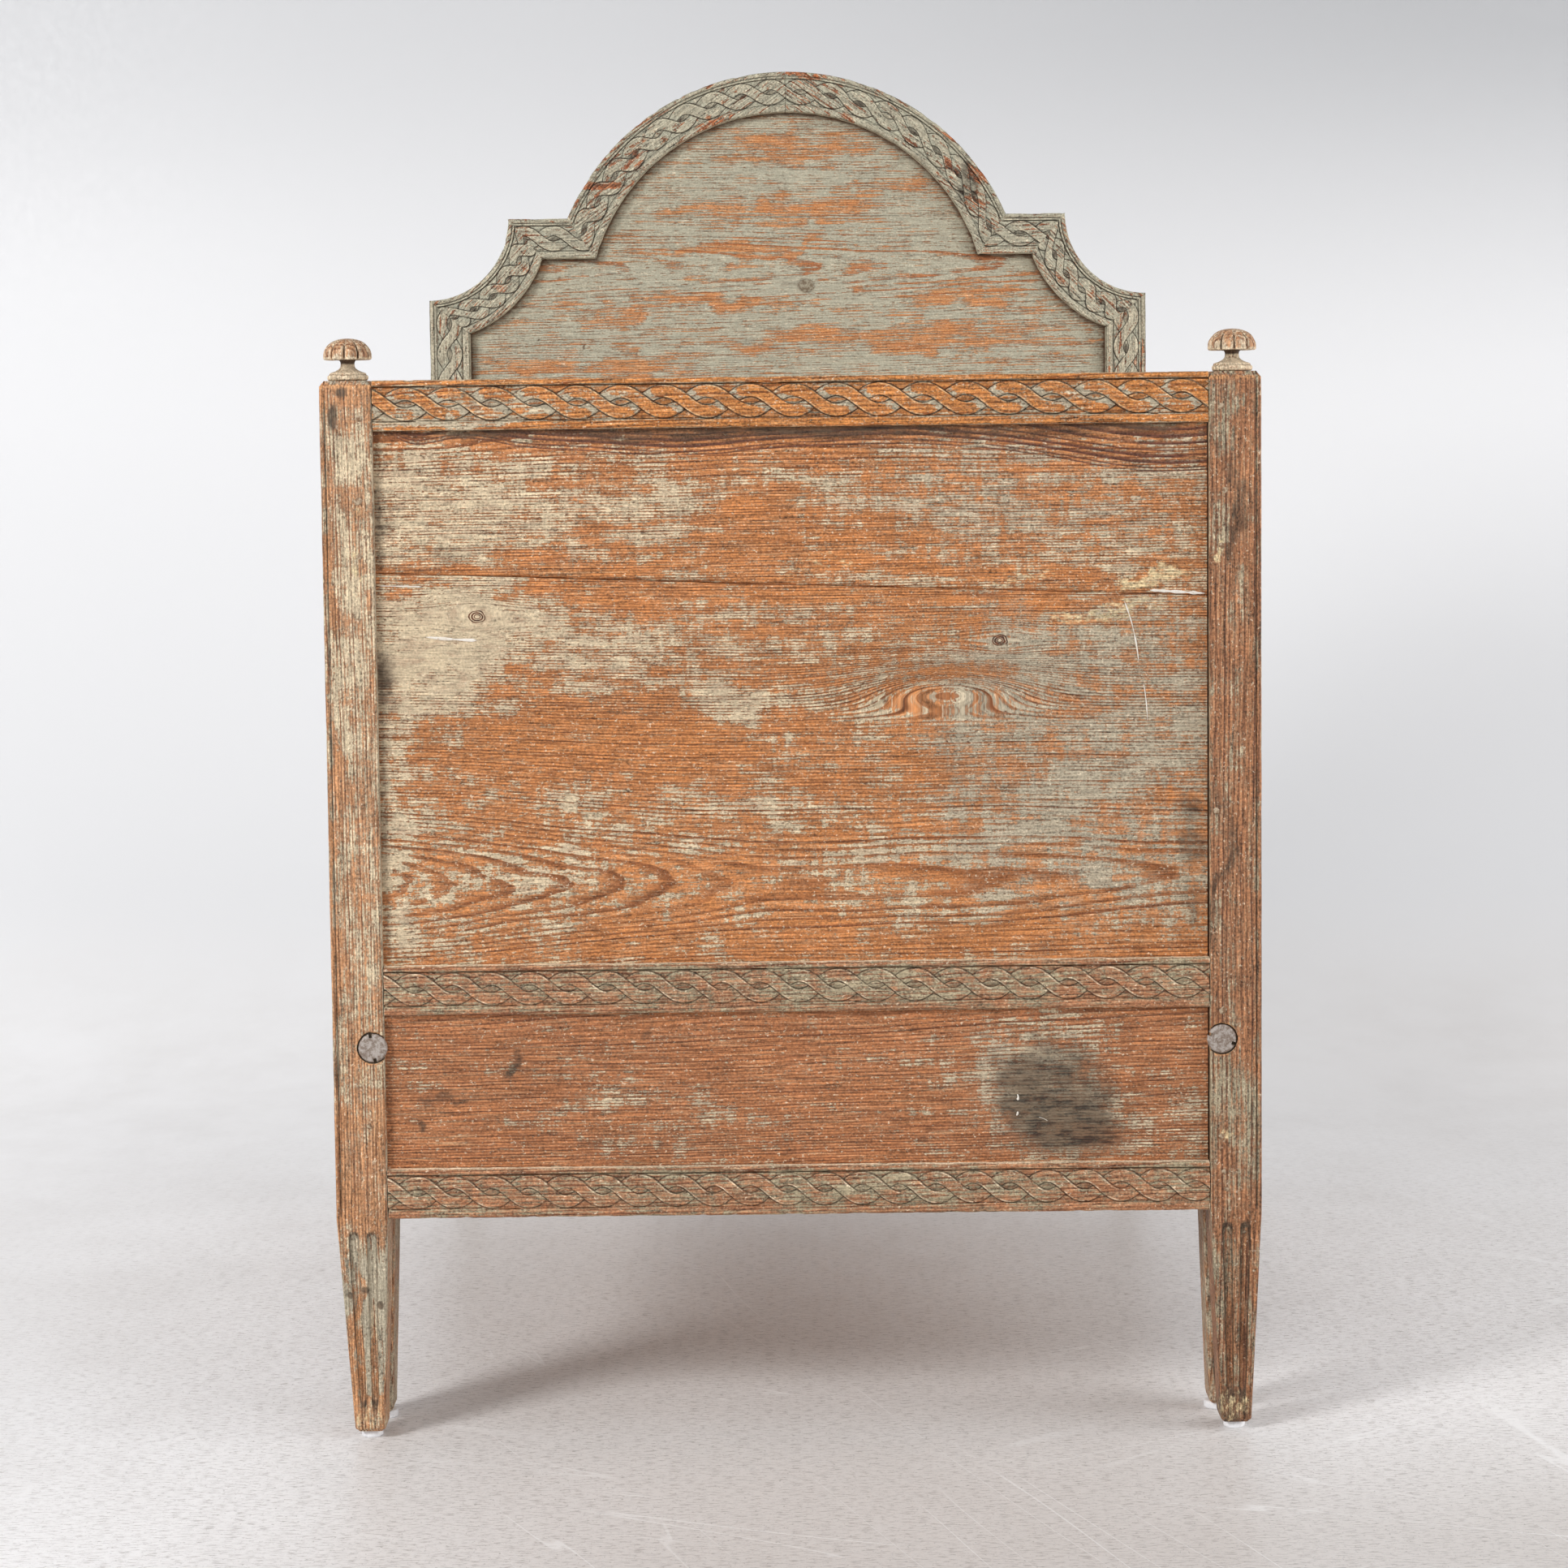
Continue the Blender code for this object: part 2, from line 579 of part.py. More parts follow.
def make_foot_side_rail(name, side, section, material):
    """A sliding side rail with its stub tenon, bolt hole, nut pocket and batten mortise."""
    front = FOOT_BACK + GAP
    x_range = (across(side, FOOT_RAIL_OUTER), across(side, FOOT_RAIL_INNER))
    body = box(x_range, (front, FOOT_RAIL_END), (FOOT_RAIL_FOOT, SIDE_TOP))
    rail = add_piece(name, body, (across(side, BOLT_INSET), front, FOOT_RAIL_FOOT), section, material)
    join(rail, foot_stub(side, 0.0, FOOT_BACK - RAIL_STUB_LENGTH, FOOT_BACK + RAIL_STUB_LENGTH))
    hole_end = FOOT_BACK + NUT_SETBACK + NUT_THICKNESS + BOLT_TAIL + 2 * GAP
    centre = (across(side, BOLT_INSET), BOLT_Z)
    cut(rail, round_bar(centre, BOLT_DIAMETER / 2 + GAP, FOOT_FRONT, hole_end, BOLT_SIDES // 2))
    cut(rail, nut_box(side, GAP, FOOT_RAIL_INNER + NUT_SIDE))
    depth = BATTEN_STUB_LENGTH + GAP
    cut(rail, batten_stub(GAP, across(side, FOOT_RAIL_INNER - depth), across(side, FOOT_RAIL_INNER + depth)))


def batten_stub(clearance, low, high):
    """The stub of the tail batten, or with a clearance its mortise, between two x."""
    middle = BEARER_TOP - LEDGER_HEIGHT / 2
    reach = BATTEN_STUB_HEIGHT / 2 + clearance
    y_range = (BATTEN_FRONT + TENON_SHOULDER - clearance, BATTEN_BACK - TENON_SHOULDER + clearance)
    return box((low, high), y_range, (middle - reach, middle + reach))


def make_foot_bearers(section, material):
    """The ledger and the tail batten, which carry the sliding slats."""
    z_range = (BEARER_TOP - LEDGER_HEIGHT, BEARER_TOP)
    low = PANEL_BACK + GAP
    half = BED_WIDTH / 2 - POST - GAP
    ledger = box((-half, half), (low, low + LEDGER_DEPTH), z_range)
    add_piece("foot_ledger", ledger, (0.0, low, z_range[0]), section, material)
    half = BED_WIDTH / 2 - FOOT_RAIL_INNER - GAP
    batten = box((-half, half), (BATTEN_FRONT, BATTEN_BACK), z_range)
    batten = add_piece("tail_batten", batten, (0.0, BATTEN_FRONT, z_range[0]), section, material)
    reach = half + BATTEN_STUB_LENGTH
    join(batten, batten_stub(0.0, -reach, reach))


def make_slats(head_section, foot_section, material):
    """Slats along the bed: the sliding ones lie between the fixed ones."""
    count = 2 * FIXED_SLATS - 1
    span = BED_WIDTH - 2 * FOOT_RAIL_INNER
    pitch = span / count
    half = (pitch - SLAT_SPACING) / 2
    for index in range(count):
        number = index // 2 + 1
        fixed = index % 2 == 0
        name = f"fixed_slat_{number}" if fixed else f"sliding_slat_{number}"
        section = head_section if fixed else foot_section
        y_range = (CROSS_RAIL_FRONT, HEAD_BOARD_FRONT - GAP) if fixed else (PANEL_BACK + GAP, BATTEN_BACK)
        x = -span / 2 + pitch * (index + 0.5)
        body = box((x - half, x + half), y_range, (SLAT_FOOT, SLAT_TOP))
        add_piece(name, body, (x, y_range[0], SLAT_FOOT), section, material)


def cove_chord():
    """The reach of the moulding's inner cove, from the cove's centre to its mitres."""
    return math.sqrt((COVE_RADIUS + POST) ** 2 - POST**2)


def arch_half_width(height, radius):
    """Half the width of an arch of a radius at a height."""
    return math.sqrt(radius**2 - (height - ARCH_CENTRE) ** 2)


def crest_mitres(side):
    """The crest's mitre lines at post, ear and arch, as (outer, inner) corners in x and z."""
    edge = BED_WIDTH / 2
    corners = (
        ((edge, EAR_HEIGHT - COVE_RADIUS), (edge - POST, EAR_HEIGHT - cove_chord())),
        ((edge - COVE_RADIUS, EAR_HEIGHT), (edge - cove_chord(), EAR_HEIGHT - POST)),
        (
            (arch_half_width(EAR_HEIGHT, ARCH_RADIUS), EAR_HEIGHT),
            (arch_half_width(EAR_HEIGHT - POST, ARCH_RADIUS - POST), EAR_HEIGHT - POST),
        ),
    )
    return [[Vector((side * x, z)) for x, z in pair] for pair in corners]


def moulding_profile():
    """The moulding's (offset from its outer edge, depth from its face) outline."""
    back = MOULDING_THICKNESS - GAP
    low, high = OUTER_FILLET, POST - INNER_FILLET
    return [
        (0.0, back),
        (0.0, EDGE_EASE),
        (EDGE_EASE, 0.0),
        (low, 0.0),
        (low + FIELD_SLOPE, FIELD_DEPTH),
        (high - FIELD_SLOPE, FIELD_DEPTH),
        (high, 0.0),
        (POST - EDGE_EASE, 0.0),
        (POST, EDGE_EASE),
        (POST, back),
    ]


def moulding_from_curve(curve, steps):
    """A moulding along a curve, which gives x and z for an offset and a share of the way."""
    rings = []
    for step in range(steps + 1):
        ring = []
        for offset, depth in moulding_profile():
            x, z = curve(offset, step / steps)
            ring.append((x, HEAD_FRONT + depth, z))
        rings.append(ring)
    return solid_from_rings(rings)


def arc_curve(centre, radius, growth, start, end):
    """A curve round a centre between two mitre lines; its radius grows or shrinks with the offset."""

    def point(offset, share):
        places = [lerp(*line, offset / POST) - centre for line in (start, end)]
        reach = radius + growth * offset
        first, last = (math.atan2(place.y, place.x) for place in places)
        turn = (last - first + math.pi) % (2 * math.pi) - math.pi
        ease = math.copysign(GAP / reach, turn)
        angle = first + lerp(ease, turn - ease, share)
        if share in (0.0, 1.0):
            reach = places[int(share)].length
        return centre + reach * Vector((math.cos(angle), math.sin(angle)))

    return point


def make_crest_mouldings(side_name, side, section, material):
    """The carved cove, ear and half arch of one side."""
    post_mitre, ear_mitre, arch_mitre = crest_mitres(side)
    cove_centre = Vector((side * BED_WIDTH / 2, EAR_HEIGHT))
    cove = arc_curve(cove_centre, COVE_RADIUS, 1, post_mitre, ear_mitre)
    origin = (ear_mitre[0].x, HEAD_FRONT, EAR_HEIGHT)
    add_piece(f"crest_cove_{side_name}", moulding_from_curve(cove, COVE_STEPS), origin, section, material)

    def ear(offset, share):
        first, last = (lerp(*line, offset / POST) for line in (ear_mitre, arch_mitre))
        ease = Vector((math.copysign(GAP, last.x - first.x), 0.0))
        return lerp(first + ease, last - ease, share)

    add_piece(f"crest_ear_{side_name}", moulding_from_curve(ear, 1), origin, section, material)
    crown = [Vector((side * GAP, ARCH_TOP)), Vector((side * GAP, ARCH_TOP - POST))]
    arch = arc_curve(Vector((0.0, ARCH_CENTRE)), ARCH_RADIUS, -1, arch_mitre, crown)
    origin = (0.0, HEAD_FRONT, ARCH_CENTRE)
    add_piece(f"crest_arch_{side_name}", moulding_from_curve(arch, ARCH_STEPS), origin, section, material)


def make_crest_boards(section, material):
    """The shaped boards behind the crest mouldings."""
    half = []
    post_mitre = crest_mitres(1)[0]
    half.append(post_mitre[1])
    for step in range(COVE_STEPS + 1):
        angle = math.pi / 2 * step / COVE_STEPS
        x = BED_WIDTH / 2 - COVE_RADIUS * math.sin(angle)
        half.append(Vector((x, EAR_HEIGHT - COVE_RADIUS * math.cos(angle))))
    outline = [(p.x, p.y) for p in half] + [(-p.x, p.y) for p in reversed(half)]
    body = prism_along_y(outline, HEAD_BOARD_FRONT, HEAD_BOARD_BACK)
    add_piece("crest_board", body, (0.0, HEAD_BOARD_FRONT, half[0].y), section, material)

    foot = EAR_HEIGHT + GAP
    start = math.asin((foot - ARCH_CENTRE) / ARCH_RADIUS)
    outline = []
    for step in range(2 * ARCH_STEPS + 1):
        angle = lerp(start, math.pi - start, step / (2 * ARCH_STEPS))
        outline.append((ARCH_RADIUS * math.cos(angle), ARCH_CENTRE + ARCH_RADIUS * math.sin(angle)))
    body = prism_along_y(outline, HEAD_BOARD_FRONT, HEAD_BOARD_BACK)
    add_piece("arch_board", body, (0.0, HEAD_BOARD_FRONT, foot), section, material)


def make_head_boards(section, material):
    """The plain boards between the head posts, from the bottom rail to the crest."""
    half = BED_WIDTH / 2 - POST + PANEL_TONGUE - GAP
    foot = BOTTOM_RAIL_TOP - PANEL_TONGUE + GAP
    top = EAR_HEIGHT - cove_chord()
    height = (top - foot) / len(HEAD_BOARDS)
    for index, name in enumerate(HEAD_BOARDS):
        z = foot + height * index
        body = box((-half, half), (HEAD_BOARD_FRONT, HEAD_BOARD_BACK), (z, z + height - GAP))
        add_piece(f"head_board_{name}", body, (0.0, HEAD_BOARD_FRONT, z), section, material)


def make_head_post(name, side, section, material):
    """A head post with its leg, its sunk carved face and its top mitred to the crest."""
    rings = leg_rings(side, 0.0, HEAD_FRONT)
    outer, inner = crest_mitres(side)[0]
    corners = post_corners(0.0, HEAD_FRONT)
    top = []
    for inset, y in corners:
        top.append((across(side, inset), y, lerp(outer.y, inner.y, inset / POST) - GAP))
    rings.append(top)
    middle = (across(side, POST / 2), HEAD_FRONT + POST / 2)
    post = add_piece(name, solid_from_rings(rings), (*middle, 0.0), section, material)
    cut_flutes(post, side, 0.0, HEAD_FRONT)
    cut(post, mortise(side, LEG_HEIGHT, HEAD_FRONT + MOULDING_THICKNESS))
    cut(post, panel_groove(side, HEAD_BOARD_FRONT, HEAD_BOARD_BACK, BOTTOM_RAIL_TOP, inner.y))
    cut(post, head_stub(side, GAP, HEAD_FRONT - RAIL_STUB_LENGTH, HEAD_FRONT + RAIL_STUB_LENGTH + GAP))
    x_range = (across(side, OUTER_FILLET), across(side, POST - INNER_FILLET))
    y_range = (HEAD_FRONT - FIELD_DEPTH, HEAD_FRONT + FIELD_DEPTH)
    cut(post, box(x_range, y_range, (CARVED_FACE_FOOT, EAR_HEIGHT)))


def make_head_side_rail(name, side, section, material):
    """An outer side rail, which runs from the head post to the closed foot post."""
    y_range = (FOOT_BACK + SLIDE_GAP, HEAD_FRONT - GAP)
    x_range = (across(side, HEAD_RAIL_OUTER), across(side, HEAD_RAIL_INNER))
    middle = across(side, (HEAD_RAIL_OUTER + HEAD_RAIL_INNER) / 2)
    body = box(x_range, y_range, (HEAD_RAIL_FOOT, SIDE_TOP))
    rail = add_piece(name, body, (middle, y_range[0], HEAD_RAIL_FOOT), section, material)
    join(rail, head_stub(side, 0.0, HEAD_FRONT - RAIL_STUB_LENGTH, HEAD_FRONT + RAIL_STUB_LENGTH))


def make_runner(name, side, section, material):
    """A batten on the outer side rail, on which the sliding rail runs."""
    low = HEAD_RAIL_INNER + GAP
    x_range = (across(side, low), across(side, low + FOOT_RAIL_THICKNESS))
    y_range = (MIDDLE_LEG_FRONT + POST + GAP, HEAD_FRONT - GAP)
    body = box(x_range, y_range, (RUNNER_FOOT, RUNNER_TOP))
    add_piece(name, body, (x_range[0], y_range[0], RUNNER_FOOT), section, material)


def cross_tenon(clearance, low, high):
    """The tenon of the middle cross rail, or with a clearance its mortise, between two x."""
    y = CROSS_RAIL_FRONT + (CROSS_RAIL_THICKNESS - CROSS_TENON_THICKNESS) / 2
    z = BEARER_TOP - CROSS_RAIL_HEIGHT + CROSS_TENON_THICKNESS / 2
    y_range = (y - clearance, y + CROSS_TENON_THICKNESS + clearance)
    return box((low, high), y_range, (z - clearance, z + CROSS_TENON_HEIGHT + clearance))


def make_middle_leg(name, side, section, material):
    """A middle leg, rabbeted for the outer side rail and mortised for the cross rail."""
    rings = leg_rings(side, MIDDLE_LEG_INSET, MIDDLE_LEG_FRONT)
    rings.append(post_ring(side, post_corners(MIDDLE_LEG_INSET, MIDDLE_LEG_FRONT), RUNNER_TOP))
    middle = (across(side, MIDDLE_LEG_INSET + POST / 2), MIDDLE_LEG_FRONT + POST / 2)
    leg = add_piece(name, solid_from_rings(rings), (*middle, 0.0), section, material)
    cut_flutes(leg, side, MIDDLE_LEG_INSET, MIDDLE_LEG_FRONT)
    rabbet = (across(side, MIDDLE_LEG_INSET - POST), across(side, HEAD_RAIL_INNER + GAP))
    y_range = (MIDDLE_LEG_FRONT - POST, MIDDLE_LEG_FRONT + 2 * POST)
    cut(leg, box(rabbet, y_range, (HEAD_RAIL_FOOT - GAP, SIDE_TOP)))
    depth = CROSS_TENON_LENGTH + GAP
    cut(leg, cross_tenon(GAP, across(side, MIDDLE_LEG_INNER - depth), across(side, MIDDLE_LEG_INNER + depth)))


def make_head_bearers(section, material):
    """The cross rail between the middle legs and the ledger at the head, which carry the fixed slats."""
    half = BED_WIDTH / 2 - MIDDLE_LEG_INNER - GAP
    z_range = (BEARER_TOP - CROSS_RAIL_HEIGHT, BEARER_TOP)
    body = box((-half, half), (CROSS_RAIL_FRONT, CROSS_RAIL_BACK), z_range)
    rail = add_piece("middle_cross_rail", body, (0.0, CROSS_RAIL_FRONT, z_range[0]), section, material)
    reach = half + CROSS_TENON_LENGTH
    join(rail, cross_tenon(0.0, -reach, reach))
    half = BED_WIDTH / 2 - POST - GAP
    y_range = (HEAD_LEDGER_FRONT, HEAD_LEDGER_FRONT + LEDGER_DEPTH)
    body = box((-half, half), y_range, (BEARER_TOP - LEDGER_HEIGHT, BEARER_TOP))
    add_piece("head_ledger", body, (0.0, HEAD_LEDGER_FRONT, BEARER_TOP - LEDGER_HEIGHT), section, material)


def make_head_section(painted, bare, white):
    """The fixed section: headboard, outer side rails, middle legs and their bearers."""
    section = make_section("head_section", HEAD_BACK)
    for side_name, side in SIDES.items():
        make_head_post(f"head_post_{side_name}", side, section, painted)
        make_pad(f"head_pad_{side_name}", side, 0.0, HEAD_FRONT, section, white)
        make_crest_mouldings(side_name, side, section, painted)
        make_head_side_rail(f"head_side_rail_{side_name}", side, section, painted)
        make_runner(f"runner_{side_name}", side, section, bare)
        make_middle_leg(f"middle_leg_{side_name}", side, section, painted)
        make_pad(f"middle_pad_{side_name}", side, MIDDLE_LEG_INSET, MIDDLE_LEG_FRONT, section, white)
    groove = (HEAD_BOARD_FRONT - GAP, HEAD_BOARD_BACK + GAP)
    make_rail(
        "head_bottom_rail",
        LEG_HEIGHT,
        HEAD_FRONT + RAIL_SETBACK,
        HEAD_BACK - RAIL_SETBACK,
        HEAD_FRONT + MOULDING_THICKNESS,
        section,
        painted,
        carved=False,
        groove=groove,
        groove_low=False,
        groove_high=True,
    )
    make_head_boards(section, painted)
    make_crest_boards(section, painted)
    make_head_bearers(section, bare)
    return section


def make_foot_section(painted, bare, white, iron):
    """The sliding section: footboard, inner side rails, bolts and their bearers."""
    section = make_section("foot_section", FOOT_FRONT)
    for side_name, side in SIDES.items():
        make_foot_post(f"foot_post_{side_name}", side, section, painted)
        make_pad(f"foot_pad_{side_name}", side, 0.0, FOOT_FRONT, section, white)
        make_finial(f"finial_{side_name}", side, section, painted)
        make_foot_side_rail(f"foot_side_rail_{side_name}", side, section, bare)
        make_bolt(f"bed_bolt_{side_name}", side, UPRIGHT_NOTCHES[side_name], section, iron)
        make_nut(f"bed_nut_{side_name}", side, section, iron)
    groove = (PANEL_FRONT - GAP, PANEL_BACK + GAP)
    rails = {
        "foot_bottom_rail": (LEG_HEIGHT, False, True),
        "foot_middle_rail": (MIDDLE_RAIL_FOOT, True, True),
        "foot_top_rail": (TOP_RAIL_FOOT, True, False),
    }
    front = FOOT_FRONT + RAIL_SETBACK
    for name, (foot, groove_low, groove_high) in rails.items():
        make_rail(
            name,
            foot,
            front,
            front + RAIL_DEPTH,
            TENON_FRONT,
            section,
            painted,
            carved=True,
            groove=groove,
            groove_low=groove_low,
            groove_high=groove_high,
        )
    make_foot_boards(section, painted)
    make_foot_bearers(section, bare)
    return section


def main():
    """Build both sections with the bed closed."""
    clear_scene()
    painted = make_material("scraped_paint", (0.36, 0.29, 0.18), 0.62)
    bare = make_material("bare_pine", (0.45, 0.29, 0.15), 0.7)
    white = make_material("white_pad", (0.85, 0.84, 0.80), 0.5)
    iron = make_material("painted_iron", (0.42, 0.38, 0.30), 0.55, 0.2)
    head_section = make_head_section(painted, bare, white)
    foot_section = make_foot_section(painted, bare, white, iron)
    make_slats(head_section, foot_section, bare)


main()
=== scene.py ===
"""Looks of a carved pull-out bed: carved bands, worn pine, scraped paint and a plain studio."""

import itertools
import logging
import math
from dataclasses import dataclass, field, replace
from enum import Enum
from typing import Callable, Sequence

import bmesh
import bpy
import numpy as np
from mathutils import Matrix, Vector


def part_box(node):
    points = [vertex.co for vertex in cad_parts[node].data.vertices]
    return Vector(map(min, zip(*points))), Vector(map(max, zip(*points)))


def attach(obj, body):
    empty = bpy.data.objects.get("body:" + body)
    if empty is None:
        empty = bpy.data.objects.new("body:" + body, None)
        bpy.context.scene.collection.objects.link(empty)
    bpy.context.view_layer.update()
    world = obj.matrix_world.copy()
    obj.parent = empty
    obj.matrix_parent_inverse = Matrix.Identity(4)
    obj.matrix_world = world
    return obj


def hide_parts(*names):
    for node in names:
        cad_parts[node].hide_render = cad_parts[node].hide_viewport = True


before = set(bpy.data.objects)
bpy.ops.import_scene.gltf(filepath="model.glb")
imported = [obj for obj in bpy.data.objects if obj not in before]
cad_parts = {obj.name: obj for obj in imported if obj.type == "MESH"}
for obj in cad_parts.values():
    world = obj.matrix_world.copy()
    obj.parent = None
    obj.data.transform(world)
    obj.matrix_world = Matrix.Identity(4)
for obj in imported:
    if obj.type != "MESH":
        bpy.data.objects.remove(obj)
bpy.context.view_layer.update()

log = logging.getLogger("bed")

Colour = tuple[float, float, float, float]
Axis = tuple[float, float, float]
Socket = bpy.types.NodeSocket

HEAD = "head_section"
FOOT = "foot_section"
SIDES = {"left": -1, "right": 1}

# A thin gap between pieces that touch
GAP = 0.0003
# How heights above a heart curve are kept as an attribute, so that 0 stands for none
HEART_SCALE = 100.0
# The turn kept where a carved piece has no twist
NO_TWIST = 10000.0
# How wide a carved twist's strands are
STRAND = 0.0134


def srgb(red: int, green: int, blue: int) -> Colour:
    """Turn a colour as it looks on a screen into the linear colour that shaders take.

    Args:
        red: The red share, 0 to 255.
        green: The green share, 0 to 255.
        blue: The blue share, 0 to 255.

    Returns:
        The linear colour with full alpha.
    """
    shares = [value / 255 for value in (red, green, blue)]
    linear = [s / 12.92 if s <= 0.04045 else ((s + 0.055) / 1.055) ** 2.4 for s in shares]
    return (*linear, 1.0)


def lerp(start: float, end: float, share: float) -> float:
    """Return the value a share of the way from start to end."""
    return start + (end - start) * share


def smooth_step(low: float, high: float, value: np.ndarray) -> np.ndarray:
    """Return 0 at low and 1 at high, with a smooth rise between; low may lie above high."""
    share = np.clip((value - low) / (high - low), 0.0, 1.0)
    return share * share * (3 - 2 * share)


def bell(distance: np.ndarray, width: np.ndarray | float) -> np.ndarray:
    """Return a bump of height 1 and the given half width."""
    return np.exp(-((distance / width) ** 2))


def value_noise(points: np.ndarray, cell: float, seed: int) -> np.ndarray:
    """Smooth noise in space, the same on each run.

    Args:
        points: Places in metres, of shape (n, 3).
        cell: The size of a noise cell in metres.
        seed: Which noise it is.

    Returns:
        Values between -1 and 1, one for each point.
    """
    places = points / cell + 17.31 * seed
    base = np.floor(places).astype(np.int64)
    share = places - base
    share = share * share * (3 - 2 * share)
    total = np.zeros(len(points))
    for corner in itertools.product((0, 1), repeat=3):
        x, y, z = (base + np.array(corner)).T
        mixed = (x * 73856093) ^ (y * 19349663) ^ (z * 83492791) ^ (seed * 40503)
        mixed = ((mixed ^ (mixed >> 13)) * 1274126177) & 0x7FFFFFFF
        value = ((mixed ^ (mixed >> 16)) & 0xFFFF) / 32767.5 - 1
        total += value * np.prod(np.where(corner, share, 1 - share), axis=1)
    return total


def node_box(node: str) -> tuple[np.ndarray, np.ndarray]:
    """Return a node's lowest and highest corners as arrays."""
    low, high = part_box(node)
    return np.array(low), np.array(high)


@dataclass
class Draft:
    """A mesh in the making."""

    points: np.ndarray
    faces: list[tuple[int, ...]]

    def __add__(self, other: "Draft") -> "Draft":
        """Put two drafts into one, as separate bodies."""
        moved = [tuple(index + len(self.points) for index in face) for face in other.faces]
        return Draft(np.concatenate([self.points, other.points]), self.faces + moved)

    def piece(self, name: str) -> bpy.types.Object:
        """Make the object, with its faces pointing out and shaded smooth.

        Args:
            name: The piece's name.

        Returns:
            The new object, linked to the scene.
        """
        mesh = bpy.data.meshes.new(name)
        mesh.from_pydata(self.points.tolist(), [], self.faces)
        shape = bmesh.new()
        shape.from_mesh(mesh)
        bmesh.ops.recalc_face_normals(shape, faces=shape.faces)
        shape.to_mesh(mesh)
        shape.free()
        mesh.shade_smooth()
        mesh.set_sharp_from_angle(angle=math.radians(65))
        made = bpy.data.objects.new(name, mesh)
        bpy.context.scene.collection.objects.link(made)
        return made


def loft(rings: np.ndarray) -> Draft:
    """Skin closed rings one after the other, and close both ends.

    Args:
        rings: Points of shape (rings, points in a ring, 3).

    Returns:
        The draft of the closed body.
    """
    count, size = rings.shape[:2]
    index = np.arange(count * size).reshape(count, size)
    following = np.roll(index, -1, axis=1)
    quads = np.stack([index[:-1], following[:-1], following[1:], index[1:]], axis=-1)
    faces = [tuple(quad) for quad in quads.reshape(-1, 4).tolist()]
    faces.append(tuple(index[0][::-1].tolist()))
    faces.append(tuple(index[-1].tolist()))
    return Draft(rings.reshape(-1, 3), faces)


def turned(profile: Sequence[tuple[float, float]], sides: int, centre: Axis, axis: str,
           rib: Callable[[np.ndarray, int], np.ndarray] | None = None) -> Draft:
    """Turn a profile of (radius, height) pairs about an upright or a lengthwise axis.

    Args:
        profile: The outline, from one end to the other.
        sides: How many points go round.
        centre: Where height 0 of the axis is.
        axis: "z" for an upright axis or "y" for one along the bed.
        rib: Gives the radius factor at each angle of an outline point, if it isn't round.

    Returns:
        The draft of the turned body.
    """
    angles = np.linspace(0, 2 * math.pi, sides, endpoint=False)
    rings = []
    for index, (radius, height) in enumerate(profile):
        reach = radius * (rib(angles, index) if rib else np.ones(sides))
        first, second = reach * np.cos(angles), reach * np.sin(angles)
        level = np.full(sides, height)
        ring = (first, second, level) if axis == "z" else (first, level, second)
        rings.append(np.stack(ring, axis=-1) + np.array(centre))
    return loft(np.array(rings))


def knot(x: float, front: float, z: float, wide: float, high: float) -> Draft:
    """Make a ringed knot that stands a little out of a board's face.

    Args:
        x: Its middle across the bed.
        front: The board's face.
        z: Its middle's height.
        wide: Half its width.
        high: Half its height.

    Returns:
        The draft.
    """
    profile = [(0.15, 0.0009), (0.34, 0.0004), (0.42, 0.0007), (0.62, 0.0003), (0.74, 0.0008), (0.9, 0.0003),
               (1.0, 0.0010), (1.0, 0.0030)]
    made = turned(profile, 48, (0.0, 0.0, 0.0), "y")
    ragged = 1 + 0.14 * value_noise(made.points + np.array([x * 90, 0.0, z * 90]), 0.5, 3)
    offset = np.array([x, front - 0.0004, z])
    made.points[:, 0] *= wide * ragged
    made.points[:, 2] *= high * ragged
    return Draft(made.points + offset, made.faces)


def cut(piece: bpy.types.Object, cutter: Draft) -> None:
    """Cut a draft out of a piece, and keep the result as the piece's mesh."""
    tool = cutter.piece("cutter")
    step = piece.modifiers.new("cut", "BOOLEAN")
    step.operation = "DIFFERENCE"
    step.solver = "EXACT"
    step.object = tool
    graph = bpy.context.evaluated_depsgraph_get()
    mesh = bpy.data.meshes.new_from_object(piece.evaluated_get(graph))
    piece.modifiers.clear()
    piece.data = mesh
    bpy.data.objects.remove(tool)


